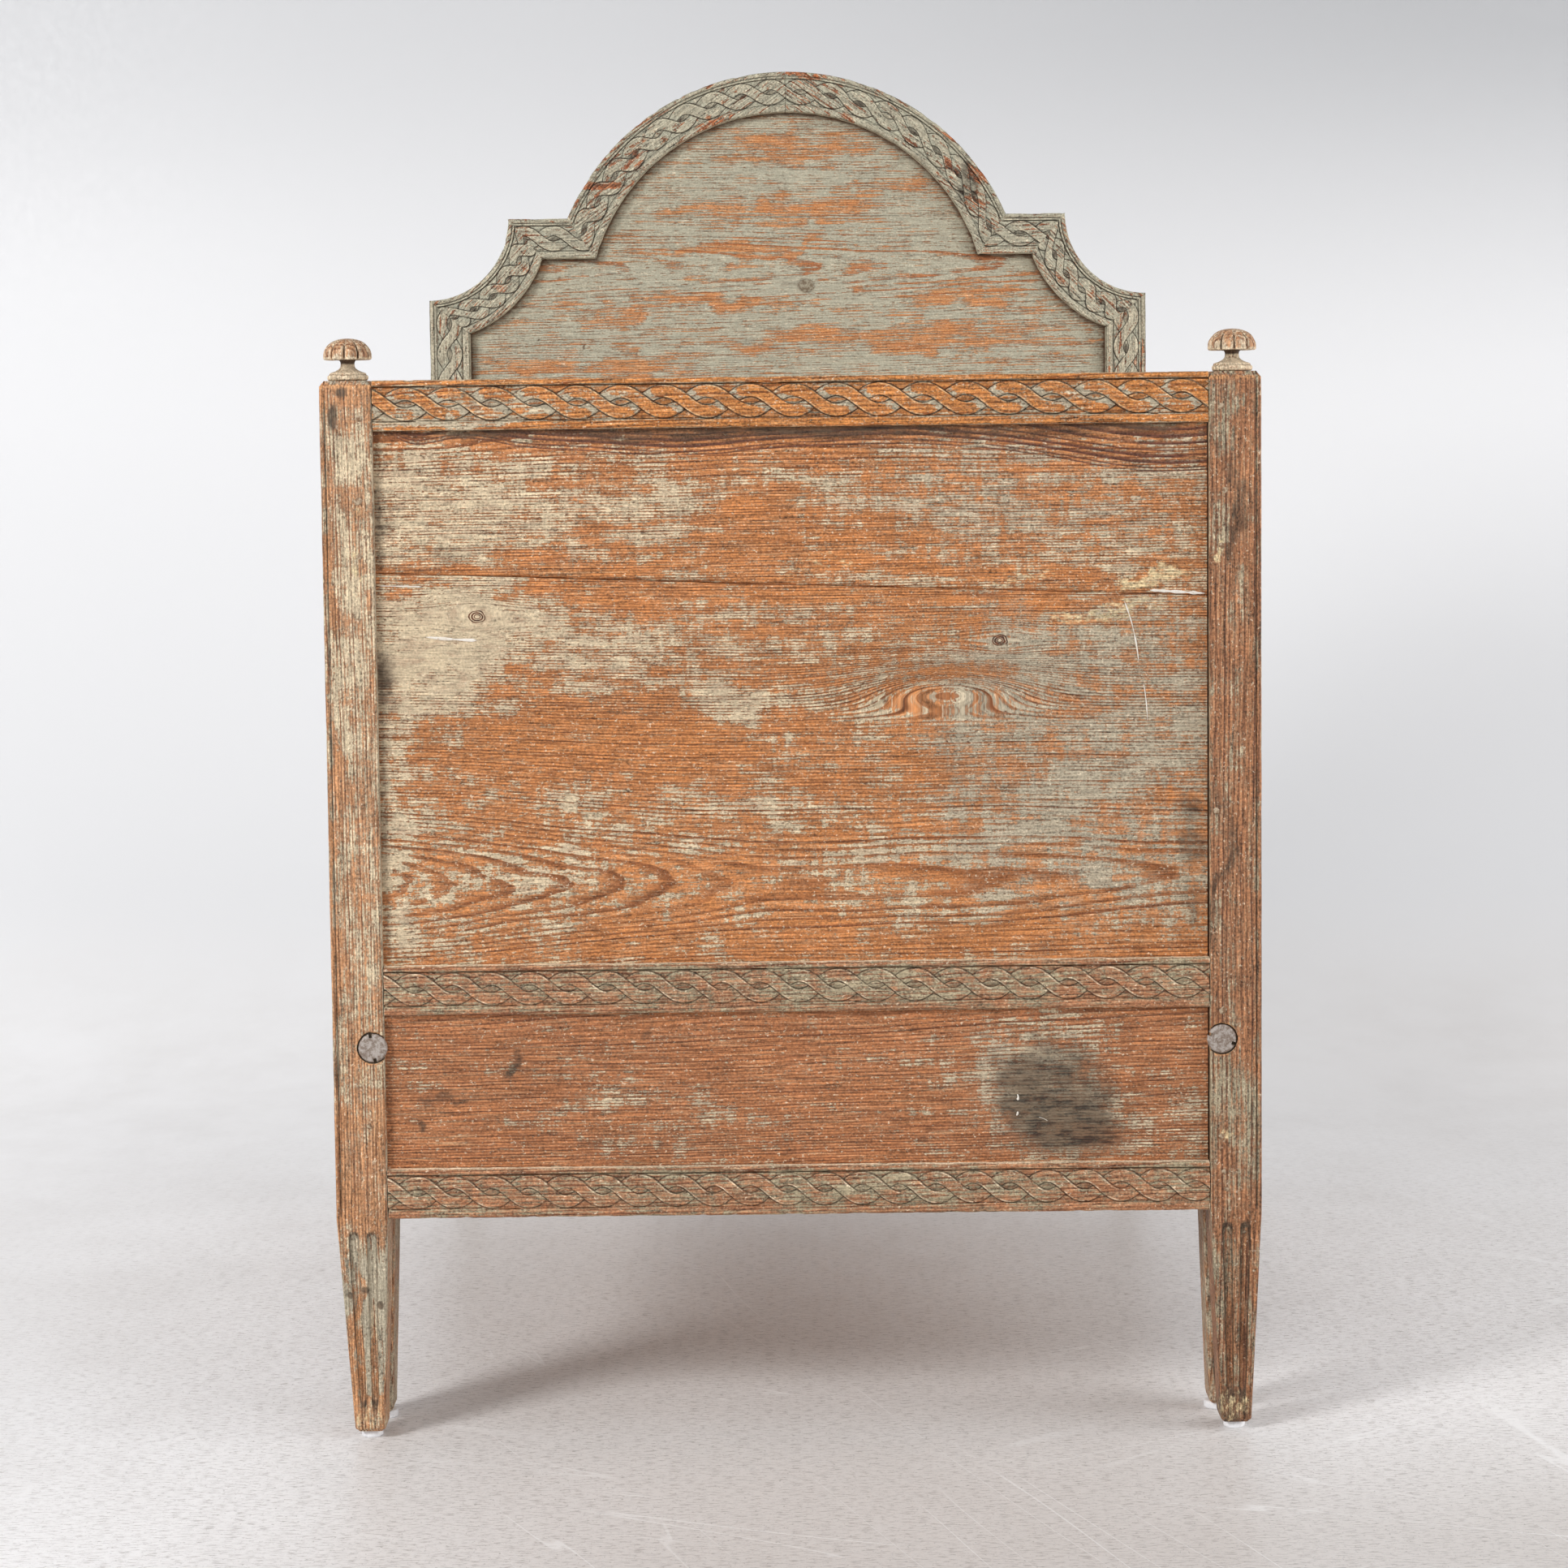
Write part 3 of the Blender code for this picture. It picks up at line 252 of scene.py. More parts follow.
class Surface:
    """A piece's points, and how they lie among their neighbours."""

    def __init__(self, piece: bpy.types.Object) -> None:
        """Read a piece's mesh."""
        self.mesh = piece.data
        self.count = len(self.mesh.vertices)
        self.points = np.empty(self.count * 3)
        self.mesh.vertices.foreach_get("co", self.points)
        self.points = self.points.reshape(-1, 3)
        edges = np.empty(len(self.mesh.edges) * 2, dtype=np.int32)
        self.mesh.edges.foreach_get("vertices", edges)
        edges = edges.reshape(-1, 2)
        self.near = np.concatenate([edges[:, 0], edges[:, 1]])
        self.far = np.concatenate([edges[:, 1], edges[:, 0]])
        self.degree = np.maximum(np.bincount(self.near, minlength=self.count), 1)
        lengths = np.linalg.norm(self.points[edges[:, 0]] - self.points[edges[:, 1]], axis=1)
        self.spacing = float(np.median(lengths))

    def normals(self) -> np.ndarray:
        """Return the direction that each point faces."""
        out = np.empty(self.count * 3, dtype=np.float32)
        self.mesh.vertex_normals.foreach_get("vector", out)
        return out.reshape(-1, 3).astype(float)

    def average(self, values: np.ndarray) -> np.ndarray:
        """Return the mean of each point's neighbours."""
        columns = [
            np.bincount(self.near, weights=values[self.far, column], minlength=self.count)
            for column in range(values.shape[1])
        ]
        return np.stack(columns, axis=-1) / self.degree[:, None]

    def proud(self, reach: float) -> np.ndarray:
        """Measure how far each point stands out of its surroundings.

        Args:
            reach: How far the surroundings reach, in metres.

        Returns:
            Heights as shares of the reach: above 0 on edges, below 0 in hollows.
        """
        rounds = int(np.clip(4 * (reach / self.spacing) ** 2, 2, 60))
        smooth = self.points
        for _ in range(rounds):
            smooth = 0.5 * smooth + 0.5 * self.average(smooth)
        return ((self.points - smooth) * self.normals()).sum(axis=1) / reach

    def move(self, offset: np.ndarray) -> None:
        """Move each point along its own direction by its offset."""
        self.points = self.points + self.normals() * offset[:, None]
        self.mesh.vertices.foreach_set("co", self.points.astype(np.float32).ravel())
        self.mesh.update()

    def store(self, name: str, values: np.ndarray) -> None:
        """Keep values, or vectors, as an attribute of the mesh's points."""
        vector = values.ndim == 2
        kept = self.mesh.attributes.new(name, "FLOAT_VECTOR" if vector else "FLOAT", "POINT")
        kept.data.foreach_set("vector" if vector else "value", values.astype(np.float32).ravel())


class Grain(Enum):
    """The way that the grain runs, as its axes along, across and out of the board."""

    WIDTH = ((1.0, 0.0, 0.0), (0.0, 0.0, 1.0), (0.0, -1.0, 0.0))
    HEIGHT = ((0.0, 0.0, 1.0), (1.0, 0.0, 0.0), (0.0, -1.0, 0.0))
    LENGTH = ((0.0, 1.0, 0.0), (0.0, 0.0, 1.0), (1.0, 0.0, 0.0))


@dataclass(frozen=True)
class Timber:
    """How a piece was sawn from its log: its grain's way, and where the log's heart lies."""

    axes: tuple[Axis, Axis, Axis] = Grain.WIDTH.value
    heart_across: float = 0.0
    heart_depth: float = 0.06
    tilt: float = 0.03
    swell: tuple[float, float, float] = (0.0, 1.0, 0.0)
    shared: Axis | None = None
    bumps: tuple[tuple[float, ...], ...] = ()

    def places(self, points: np.ndarray, seed: int) -> np.ndarray:
        """Measure points in the log, along it and away from its heart.

        Args:
            points: The piece's points.
            seed: Which log it is, unless boards share one.

        Returns:
            Vectors along the grain, across it and out from the heart.
        """
        middle = (points.min(axis=0) + points.max(axis=0)) / 2 if self.shared is None else np.array(self.shared)
        shift = 0.37 * seed if self.shared is None else 0.0
        along, across, out = ((points - middle) @ np.array(axis) for axis in self.axes)
        start, end, drop = self.swell
        depth = out + self.heart_depth + self.tilt * along + drop * smooth_step(start, end, along)
        for x, z, wide, high, rise, spread in self.bumps:
            aside = (points[:, 2] - z) / high
            near = bell(np.hypot((points[:, 0] - x) / wide, aside), 1.0)
            across = across + (rise + spread * aside) * near
        return np.stack([along + shift, across - self.heart_across, depth], axis=-1)


class Mark(Enum):
    """What a patch changes on a painted surface."""

    PAINT = "paint"
    HUE = "hue"
    DARK = "dark"
    PALE = "pale"
    SMOKE = "smoke"


@dataclass(frozen=True)
class Patch:
    """A soft-edged patch on a board, by its centre, half sizes and strength."""

    mark: Mark
    x: float
    z: float
    wide: float
    high: float
    amount: float
    rough: float = 1.0

    def values(self, points: np.ndarray, tear: np.ndarray) -> np.ndarray:
        """Return the patch's strength at points, its edge torn by the tear's shifts."""
        torn = points + self.rough * tear
        reach = np.hypot((torn[:, 0] - self.x) / self.wide, (torn[:, 2] - self.z) / self.high)
        return self.amount * smooth_step(1.3, 0.4, reach)


@dataclass(frozen=True)
class Coat:
    """How much paint a piece kept, of which hue, and its patches."""

    paint: float = 0.5
    hue: float = 0.3
    dark: float = 0.0
    patches: tuple[Patch, ...] = ()
    ragged: float = 0.016
    face: float | None = None
    sunk_depth: float = 0.0019
    sunk_paint: float = 0.3
    sunk_hue: float = 0.3
    deep_paint: float = 0.25
    # Darkening of the deepest carved ground, as grime and painted shade
    deep_grime_and_shade: float = 0.0

    def values(self, points: np.ndarray) -> dict[Mark, np.ndarray]:
        """Work out each mark's strength at points.

        Args:
            points: The piece's points.

        Returns:
            The strength of each mark at each point.
        """
        base = {Mark.PAINT: self.paint, Mark.HUE: self.hue, Mark.DARK: self.dark}
        found = {mark: np.full(len(points), base.get(mark, 0.0)) for mark in Mark}
        tear = np.zeros_like(points)
        for column, seed in ((0, 3), (2, 4)):
            for cell, share in ((0.05, 1.0), (0.018, 0.5), (0.007, 0.25)):
                tear[:, column] += self.ragged * share * value_noise(points, cell, seed)
        for patch in self.patches:
            found[patch.mark] += patch.values(points, tear)
        if self.face is not None:
            below = (points[:, 1] - self.face) / self.sunk_depth
            shown = below < 3
            deep = smooth_step(1.2, 1.7, below) * shown
            sunk = smooth_step(0.25, 0.9, below) * shown * (1 - (1 - self.deep_paint) * deep)
            found[Mark.PAINT] += self.sunk_paint * sunk
            found[Mark.HUE] += self.sunk_hue * sunk
            # Painted shade: the deepest carved ground darkens, as grime and as the shade that falls there.
            found[Mark.DARK] += self.deep_grime_and_shade * deep
        return found


@dataclass(frozen=True)
class Wear:
    """How far use has rounded, chipped and warped a piece, in metres."""

    edge_reach: float = 0.0012
    rub_reach: float = 0.004
    chips: float = 0.0012
    chip_size: float = 0.011
    warp: float = 0.0003
    warp_size: float = 0.07
    rubbed: float = 1.0

    def apply(self, surface: Surface, seed: int, calm: np.ndarray | float) -> None:
        """Chip a piece's edges and warp its faces, only ever inwards.

        Args:
            surface: The piece's surface.
            seed: Which noise it takes.
            calm: How much wear each point takes.
        """
        edge = np.clip(surface.proud(self.rub_reach) * 2.5, 0, 1)
        chip = smooth_step(0.1, 0.7, value_noise(surface.points, self.chip_size, seed))
        nick = smooth_step(0.3, 0.8, value_noise(surface.points, self.chip_size / 3, seed + 1))
        wave = 0.5 + 0.5 * value_noise(surface.points, self.warp_size, seed + 2)
        surface.move(-self.warp * wave - self.chips * calm * edge * (0.7 * chip + 0.3 * nick))


class Graph:
    """A node tree with short ways to add nodes and join them."""

    def __init__(self, tree: bpy.types.NodeTree) -> None:
        """Start from a node tree."""
        self.tree = tree

    def put(self, socket: Socket, value: object) -> None:
        """Join a value's socket to an input, or set the input to the value."""
        if isinstance(value, bpy.types.NodeSocket):
            self.tree.links.new(value, socket)
        else:
            socket.default_value = value

    def node(self, kind: str, **settings: object) -> bpy.types.Node:
        """Add a node of a kind and set its properties."""
        made = self.tree.nodes.new(kind)
        for name, value in settings.items():
            setattr(made, name, value)
        return made

    def math(self, operation: str, first: object, second: object = 0.0, clamp: bool = False) -> Socket:
        """Add a Math node.

        Args:
            operation: The node's operation.
            first: Its first value or socket.
            second: Its second value or socket.
            clamp: Whether the result stays between 0 and 1.

        Returns:
            The result's socket.
        """
        made = self.node("ShaderNodeMath", operation=operation, use_clamp=clamp)
        self.put(made.inputs[0], first)
        self.put(made.inputs[1], second)
        return made.outputs[0]

    def add(self, *terms: object) -> Socket:
        """Add values or sockets up."""
        total = terms[0]
        for term in terms[1:]:
            total = self.math("ADD", total, term)
        return total

    def times(self, first: object, second: object) -> Socket:
        """Multiply two values or sockets."""
        return self.math("MULTIPLY", first, second)

    def swing(self, value: Socket, amount: float) -> Socket:
        """Centre a noise on 0 and give it an amount."""
        return self.times(self.math("SUBTRACT", value, 0.5), amount)

    def rise(self, value: object, low: float, high: float, top: float = 1.0) -> Socket:
        """Rise smoothly from 0 to top as a value goes from low to high."""
        made = self.node("ShaderNodeMapRange", interpolation_type="SMOOTHSTEP")
        for name, setting in (("Value", value), ("From Min", low), ("From Max", high), ("To Max", top)):
            self.put(made.inputs[name], setting)
        return made.outputs[0]

    def stretch(self, vector: Socket, scale: Axis) -> Socket:
        """Scale a vector's parts."""
        made = self.node("ShaderNodeVectorMath", operation="MULTIPLY")
        self.put(made.inputs[0], vector)
        made.inputs[1].default_value = scale
        return made.outputs[0]

    def noise(self, vector: Socket, scale: Axis, detail: float = 2.0, rough: float = 0.5) -> Socket:
        """Add a noise whose cells are stretched by a scale along each axis.

        Args:
            vector: The places.
            scale: Cells in a metre along each axis.
            detail: How many finer layers it has.
            rough: How strong the finer layers are.

        Returns:
            The noise's socket, around 0.5.
        """
        made = self.node("ShaderNodeTexNoise", noise_dimensions="3D")
        self.put(made.inputs["Vector"], self.stretch(vector, scale))
        made.inputs["Scale"].default_value = 1.0
        made.inputs["Detail"].default_value = detail
        made.inputs["Roughness"].default_value = rough
        return made.outputs["Fac"]

    def blend(self, share: object, first: object, second: object, way: str = "MIX") -> Socket:
        """Blend two colours.

        Args:
            share: How much of the second shows.
            first: The first colour or socket.
            second: The second colour or socket.
            way: The node's blend type.

        Returns:
            The blended colour's socket.
        """
        made = self.node("ShaderNodeMix", data_type="RGBA", blend_type=way, clamp_factor=True)
        self.put(made.inputs[0], share)
        self.put(made.inputs[6], first)
        self.put(made.inputs[7], second)
        return made.outputs[2]

    def attribute(self, name: str, vector: bool = False) -> Socket:
        """Read an attribute of the mesh."""
        made = self.node("ShaderNodeAttribute", attribute_name=name)
        return made.outputs["Vector" if vector else "Fac"]

    def group(self, tree: bpy.types.NodeTree, **values: object) -> bpy.types.Node:
        """Place a node group, with inputs named as its sockets in lower case."""
        made = self.node("ShaderNodeGroup", node_tree=tree)
        for name, value in values.items():
            self.put(made.inputs[name.replace("_", " ").capitalize()], value)
        return made


class Groups:
    """The effects that several finishes share, each built once as a node group."""

    made: dict[str, bpy.types.NodeTree] = {}

    @classmethod
    def start(cls, name: str, inputs: Sequence[tuple[str, str]],
              outputs: Sequence[tuple[str, str]]) -> tuple[Graph, bpy.types.Node, bpy.types.Node]:
        """Make an empty group with named sockets.

        Args:
            name: The group's name.
            inputs: The inputs' names and kinds.
            outputs: The outputs' names and kinds.

        Returns:
            The group's graph, its input node and its output node.
        """
        tree = bpy.data.node_groups.new(name, "ShaderNodeTree")
        for way, sockets in (("INPUT", inputs), ("OUTPUT", outputs)):
            for label, kind in sockets:
                tree.interface.new_socket(name=label, in_out=way, socket_type=f"NodeSocket{kind}")
        cls.made[name] = tree
        graph = Graph(tree)
        return graph, graph.node("NodeGroupInput"), graph.node("NodeGroupOutput")

    @classmethod
    def pine_grain(cls) -> bpy.types.NodeTree:
        """Rings of a sawn pine log: pale early wood, dark late wood and fine fibres.

        Returns:
            The node group.
        """
        if "pine grain" in cls.made:
            return cls.made["pine grain"]
        inputs = (("Grain", "Vector"), ("Ring", "Float"), ("Early", "Color"), ("Late", "Color"))
        outputs = (("Wood", "Color"), ("Ridge", "Float"), ("Fibre", "Float"))
        graph, given, result = cls.start("pine grain", inputs, outputs)
        grain = given.outputs["Grain"]
        parts = graph.node("ShaderNodeSeparateXYZ")
        graph.put(parts.inputs[0], grain)
        slow = graph.swing(graph.noise(grain, (1.8, 7.0, 7.0), 2.0), 0.024)
        quick = graph.swing(graph.noise(grain, (7.0, 50.0, 50.0), 2.0), 0.0030)
        depth = graph.add(parts.outputs["Z"], slow)
        squares = graph.add(graph.math("POWER", parts.outputs["Y"], 2.0), graph.math("POWER", depth, 2.0))
        radius = graph.add(graph.math("SQRT", squares), quick)
        turns = graph.math("DIVIDE", radius, given.outputs["Ring"])
        part = graph.math("FRACT", turns)
        year = graph.node("ShaderNodeTexWhiteNoise", noise_dimensions="1D")
        graph.put(year.inputs["W"], graph.math("FLOOR", turns))
        strength = graph.add(graph.times(year.outputs["Value"], 0.6), 0.4)
        late = graph.times(graph.rise(part, 0.4, 0.86), graph.rise(part, 1.0, 0.92))
        ridge = graph.times(late, strength)
        fibre = graph.noise(grain, (22.0, 400.0, 400.0), 4.0, 0.65)
        scratch = graph.noise(grain, (12.0, 520.0, 520.0), 2.0, 0.6)
        tint = graph.noise(grain, (3.0, 20.0, 20.0), 4.0, 0.6)
        wood = graph.blend(ridge, given.outputs["Early"], given.outputs["Late"])
        wood = graph.blend(graph.rise(fibre, 0.50, 0.64, 0.5), wood, given.outputs["Late"])
        wood = graph.blend(graph.rise(scratch, 0.58, 0.68, 0.3), wood, srgb(226, 192, 150))
        shade = graph.node("ShaderNodeHueSaturation")
        graph.put(shade.inputs["Color"], wood)
        graph.put(shade.inputs["Value"], graph.add(1.0, graph.swing(tint, 0.55)))
        graph.put(result.inputs["Wood"], shade.outputs[0])
        graph.put(result.inputs["Ridge"], ridge)
        graph.put(result.inputs["Fibre"], fibre)
        return cls.made["pine grain"]

    @classmethod
    def scraped_paint(cls) -> bpy.types.NodeTree:
        """Old paint, dry scraped: torn islands, thin streaks and a wash left in the wood.

        Returns:
            The node group.
        """
        if "scraped paint" in cls.made:
            return cls.made["scraped paint"]
        inputs = (("Grain", "Vector"), ("Cover", "Float"), ("Ridge", "Float"), ("Rub", "Float"), ("Streak", "Float"))
        outputs = tuple((name, "Float") for name in ("Film", "Wash", "Solid", "Tone", "Pit", "Fleck"))
        graph, given, result = cls.start("scraped paint", inputs, outputs)
        grain = given.outputs["Grain"]
        broad = graph.noise(grain, (6.0, 17.0, 17.0), 3.0, 0.5)
        island = graph.noise(grain, (17.0, 56.0, 56.0), 9.0, 0.68)
        streak = graph.noise(grain, (24.0, 380.0, 380.0), 3.0, 0.65)
        scrape = graph.noise(grain, (120.0, 24.0, 24.0), 3.0, 0.6)
        speck = graph.noise(grain, (400.0, 450.0, 450.0), 2.0, 0.7)
        torn = graph.add(
            given.outputs["Cover"],
            graph.swing(broad, 0.5),
            graph.swing(island, 1.75),
            graph.times(graph.math("SUBTRACT", streak, 0.5), given.outputs["Streak"]),
            graph.swing(scrape, 0.75),
            graph.swing(speck, 0.5),
            graph.times(given.outputs["Ridge"], -0.42),
        )
        torn = graph.math("SUBTRACT", torn, given.outputs["Rub"])
        graph.put(result.inputs["Film"], graph.rise(torn, 0.47, 0.525))
        graph.put(result.inputs["Wash"], graph.rise(torn, 0.12, 0.55))
        solid = graph.rise(torn, 0.62, 1.0)
        graph.put(result.inputs["Solid"], solid)
        pit = graph.rise(graph.noise(grain, (210.0, 480.0, 480.0), 3.0, 0.75), 0.58, 0.67)
        graph.put(result.inputs["Pit"], graph.times(pit, graph.math("SUBTRACT", 1.0, graph.times(solid, 0.7))))
        fleck = graph.noise(grain, (250.0, 330.0, 330.0), 2.0, 0.7)
        graph.put(result.inputs["Fleck"], graph.rise(fleck, 0.61, 0.70))
        tone = graph.noise(grain, (45.0, 120.0, 120.0), 4.0, 0.65)
        graph.put(result.inputs["Tone"], tone)
        return cls.made["scraped paint"]

    @classmethod
    def cut_lines(cls) -> bpy.types.NodeTree:
        """The thin cut lines along a carved twist's strands, dark with grime and painted shade, and the worn edges
        beside them, pale as worn paint and as a painted highlight.

        Returns:
            The node group.
        """
        if "cut lines" in cls.made:
            return cls.made["cut lines"]
        graph, given, result = cls.start("cut lines", (("Twist", "Vector"), ("Half", "Float"), ("Thin", "Float")),
                                         (("Line", "Float"), ("Worn edge and highlight", "Float"), ("Eye", "Float")))
        parts = graph.node("ShaderNodeSeparateXYZ")
        graph.put(parts.inputs[0], given.outputs["Twist"])
        rising, falling, turn = (parts.outputs[name] for name in "XYZ")
        half, thin = given.outputs["Half"], given.outputs["Thin"]
        odd = graph.math("PINGPONG", graph.math("ROUND", turn), 1.0)
        apart = graph.times(graph.math("SUBTRACT", rising, falling), odd)
        over = graph.math("ABSOLUTE", graph.add(falling, apart))
        under = graph.math("ABSOLUTE", graph.math("SUBTRACT", rising, apart))
        shown = graph.math("LESS_THAN", graph.math("ABSOLUTE", turn), NO_TWIST / 2)
        past = graph.math("SUBTRACT", over, half)
        # Painted shade: dark lines at the over and under strands' edges, for grime and for the shade in the cuts.
        first = graph.rise(graph.math("ABSOLUTE", past), thin, 0.0)
        second = graph.rise(graph.math("ABSOLUTE", graph.math("SUBTRACT", under, half)), thin, 0.0)
        second = graph.times(second, graph.rise(past, 0.0, 0.0005))
        # Painted highlight: a pale line just inside the over strand's edge, for worn paint and for light on its rounded
        # edge.
        worn = graph.rise(graph.math("ABSOLUTE", graph.add(past, 0.0014)), 0.0011, 0.0)
        between = graph.math("LESS_THAN", graph.times(rising, falling), 0.0)
        inside = graph.rise(graph.math("SUBTRACT", graph.math("MINIMUM", over, under), half), 0.0, 0.0012)
        graph.put(result.inputs["Eye"], graph.times(graph.times(inside, between), shown))
        graph.put(result.inputs["Line"], graph.times(graph.math("MAXIMUM", first, second), shown))
        graph.put(result.inputs["Worn edge and highlight"], graph.times(worn, shown))
        return cls.made["cut lines"]

    @classmethod
    def heart_bands(cls) -> bpy.types.NodeTree:
        """Dark lines of heartwood above a curve, each sharp below and soft above.

        Returns:
            The node group.
        """
        if "heart bands" in cls.made:
            return cls.made["heart bands"]
        graph, given, result = cls.start("heart bands", (("Heart", "Float"), ("Grain", "Vector")), (("Band", "Float"),))
        grain = given.outputs["Grain"]
        wave = graph.swing(graph.noise(grain, (9.0, 60.0, 60.0), 2.0), 0.004)
        lift = graph.add(graph.times(graph.math("SUBTRACT", given.outputs["Heart"], 1.0), 1 / HEART_SCALE), wave)
        turns = graph.math("POWER", graph.math("MAXIMUM", graph.times(lift, 1 / 0.0034), 0.0), 0.78)
        part = graph.math("FRACT", turns)
        year = graph.node("ShaderNodeTexWhiteNoise", noise_dimensions="1D")
        graph.put(year.inputs["W"], graph.math("FLOOR", turns))
        reach = graph.add(graph.times(year.outputs["Value"], 0.6), 0.42)
        band = graph.times(graph.rise(part, reach, graph.times(reach, 0.3)), graph.rise(part, 0.0, 0.08))
        band = graph.times(band, graph.rise(graph.noise(grain, (16.0, 90.0, 90.0), 4.0, 0.65), 0.26, 0.44))
        graph.put(result.inputs["Band"], graph.times(band, graph.rise(lift, -0.0003, 0.0004)))
        return cls.made["heart bands"]

    @classmethod
    def age(cls) -> bpy.types.NodeTree:
        """Grime and painted shade in hollows, and a rubbed, brighter edge.

        Returns:
            The node group.
        """
        if "age" in cls.made:
            return cls.made["age"]
        inputs = (
            ("Under", "Color"), ("Grain", "Vector"), ("Proud", "Float"), ("Dark", "Float"), ("Pale", "Float"),
            ("Smoke", "Float"), ("Grime", "Color"), ("Bright", "Color"), ("Hollow", "Float"), ("Edge", "Float"),
            ("Fine", "Float"),
        )
        graph, given, result = cls.start("age", inputs, (("Colour", "Color"),))
        grain = given.outputs["Grain"]
        cloud = graph.noise(grain, (48.0, 150.0, 150.0), 5.0, 0.7)
        sunk = graph.math("MULTIPLY", given.outputs["Proud"], -1.0)
        # Painted shade: hollows, found from the surface's curvature, are darkened towards the grime colour, as grime
        # and as the shade that falls in them.
        hollow = graph.times(graph.rise(graph.add(sunk, graph.swing(cloud, 0.35)), 0.05, 0.36), given.outputs["Hollow"])
        worn = graph.rise(graph.add(given.outputs["Proud"], graph.swing(cloud, 0.9)), 0.14, 0.40)
        colour = graph.blend(graph.times(worn, given.outputs["Edge"]), given.outputs["Under"], given.outputs["Bright"])
        colour = graph.blend(hollow, colour, given.outputs["Grime"])
        dark = given.outputs["Dark"]
        colour = graph.blend(graph.rise(dark, 0.05, 1.0, 0.6), colour, given.outputs["Grime"])
        stain = graph.rise(graph.add(dark, graph.swing(cloud, 1.9)), 0.35, 1.0, 0.75)
        colour = graph.blend(graph.times(stain, graph.rise(dark, 0.0, 0.2)), colour, given.outputs["Grime"])
        chip = graph.noise(grain, (110.0, 240.0, 240.0), 4.0, 0.7)
        cream = graph.rise(graph.add(given.outputs["Pale"], graph.swing(chip, 1.3)), 0.35, 0.7, 0.85)
        colour = graph.blend(graph.math("MULTIPLY", cream, graph.rise(given.outputs["Pale"], 0.0, 0.2)),
                             colour, srgb(226, 205, 160))
        swirl = graph.noise(grain, (30.0, 36.0, 36.0), 6.0, 0.68)
        smoke = graph.rise(graph.add(given.outputs["Smoke"], graph.swing(swirl, 1.3)), 0.1, 1.05, 0.88)
        smoke = graph.times(smoke, graph.rise(given.outputs["Smoke"], 0.0, 0.25))
        thread = graph.noise(grain, (26.0, 520.0, 520.0), 3.0, 0.7)
        grit = graph.noise(grain, (400.0, 440.0, 440.0), 2.0, 0.7)
        shade = graph.node("ShaderNodeHueSaturation")
        graph.put(shade.inputs["Color"], colour)
        fine = graph.times(graph.add(graph.swing(thread, 1.9), graph.swing(grit, 1.7)), given.outputs["Fine"])
        graph.put(shade.inputs["Value"], graph.add(1.0, fine))
        patchy = graph.rise(graph.add(cloud, graph.swing(thread, 0.5)), 0.38, 0.60)
        soot = graph.blend(patchy, srgb(44, 38, 33), srgb(112, 93, 74))
        graph.put(result.inputs["Colour"], graph.blend(smoke, shade.outputs[0], soot))
        return cls.made["age"]


def new_material(name: str) -> tuple[bpy.types.Material, Graph, bpy.types.Node]:
    """Make a material with a Principled shader.

    Args:
        name: The material's name.

    Returns:
        The material, its graph and its shader node.
    """
    made = bpy.data.materials.new(name)
    made.use_nodes = True
    graph = Graph(made.node_tree)
    return made, graph, made.node_tree.nodes["Principled BSDF"]


def set_bump(graph: Graph, shader: bpy.types.Node, height: Socket, depth: float, strength: float = 1.0) -> None:
    """Give a shader a bump from a height of 0 to 1 that stands for a depth in metres."""
    bump = graph.node("ShaderNodeBump")
    bump.inputs["Strength"].default_value = strength
    bump.inputs["Distance"].default_value = depth
    graph.put(bump.inputs["Height"], height)
    graph.put(shader.inputs["Normal"], bump.outputs[0])


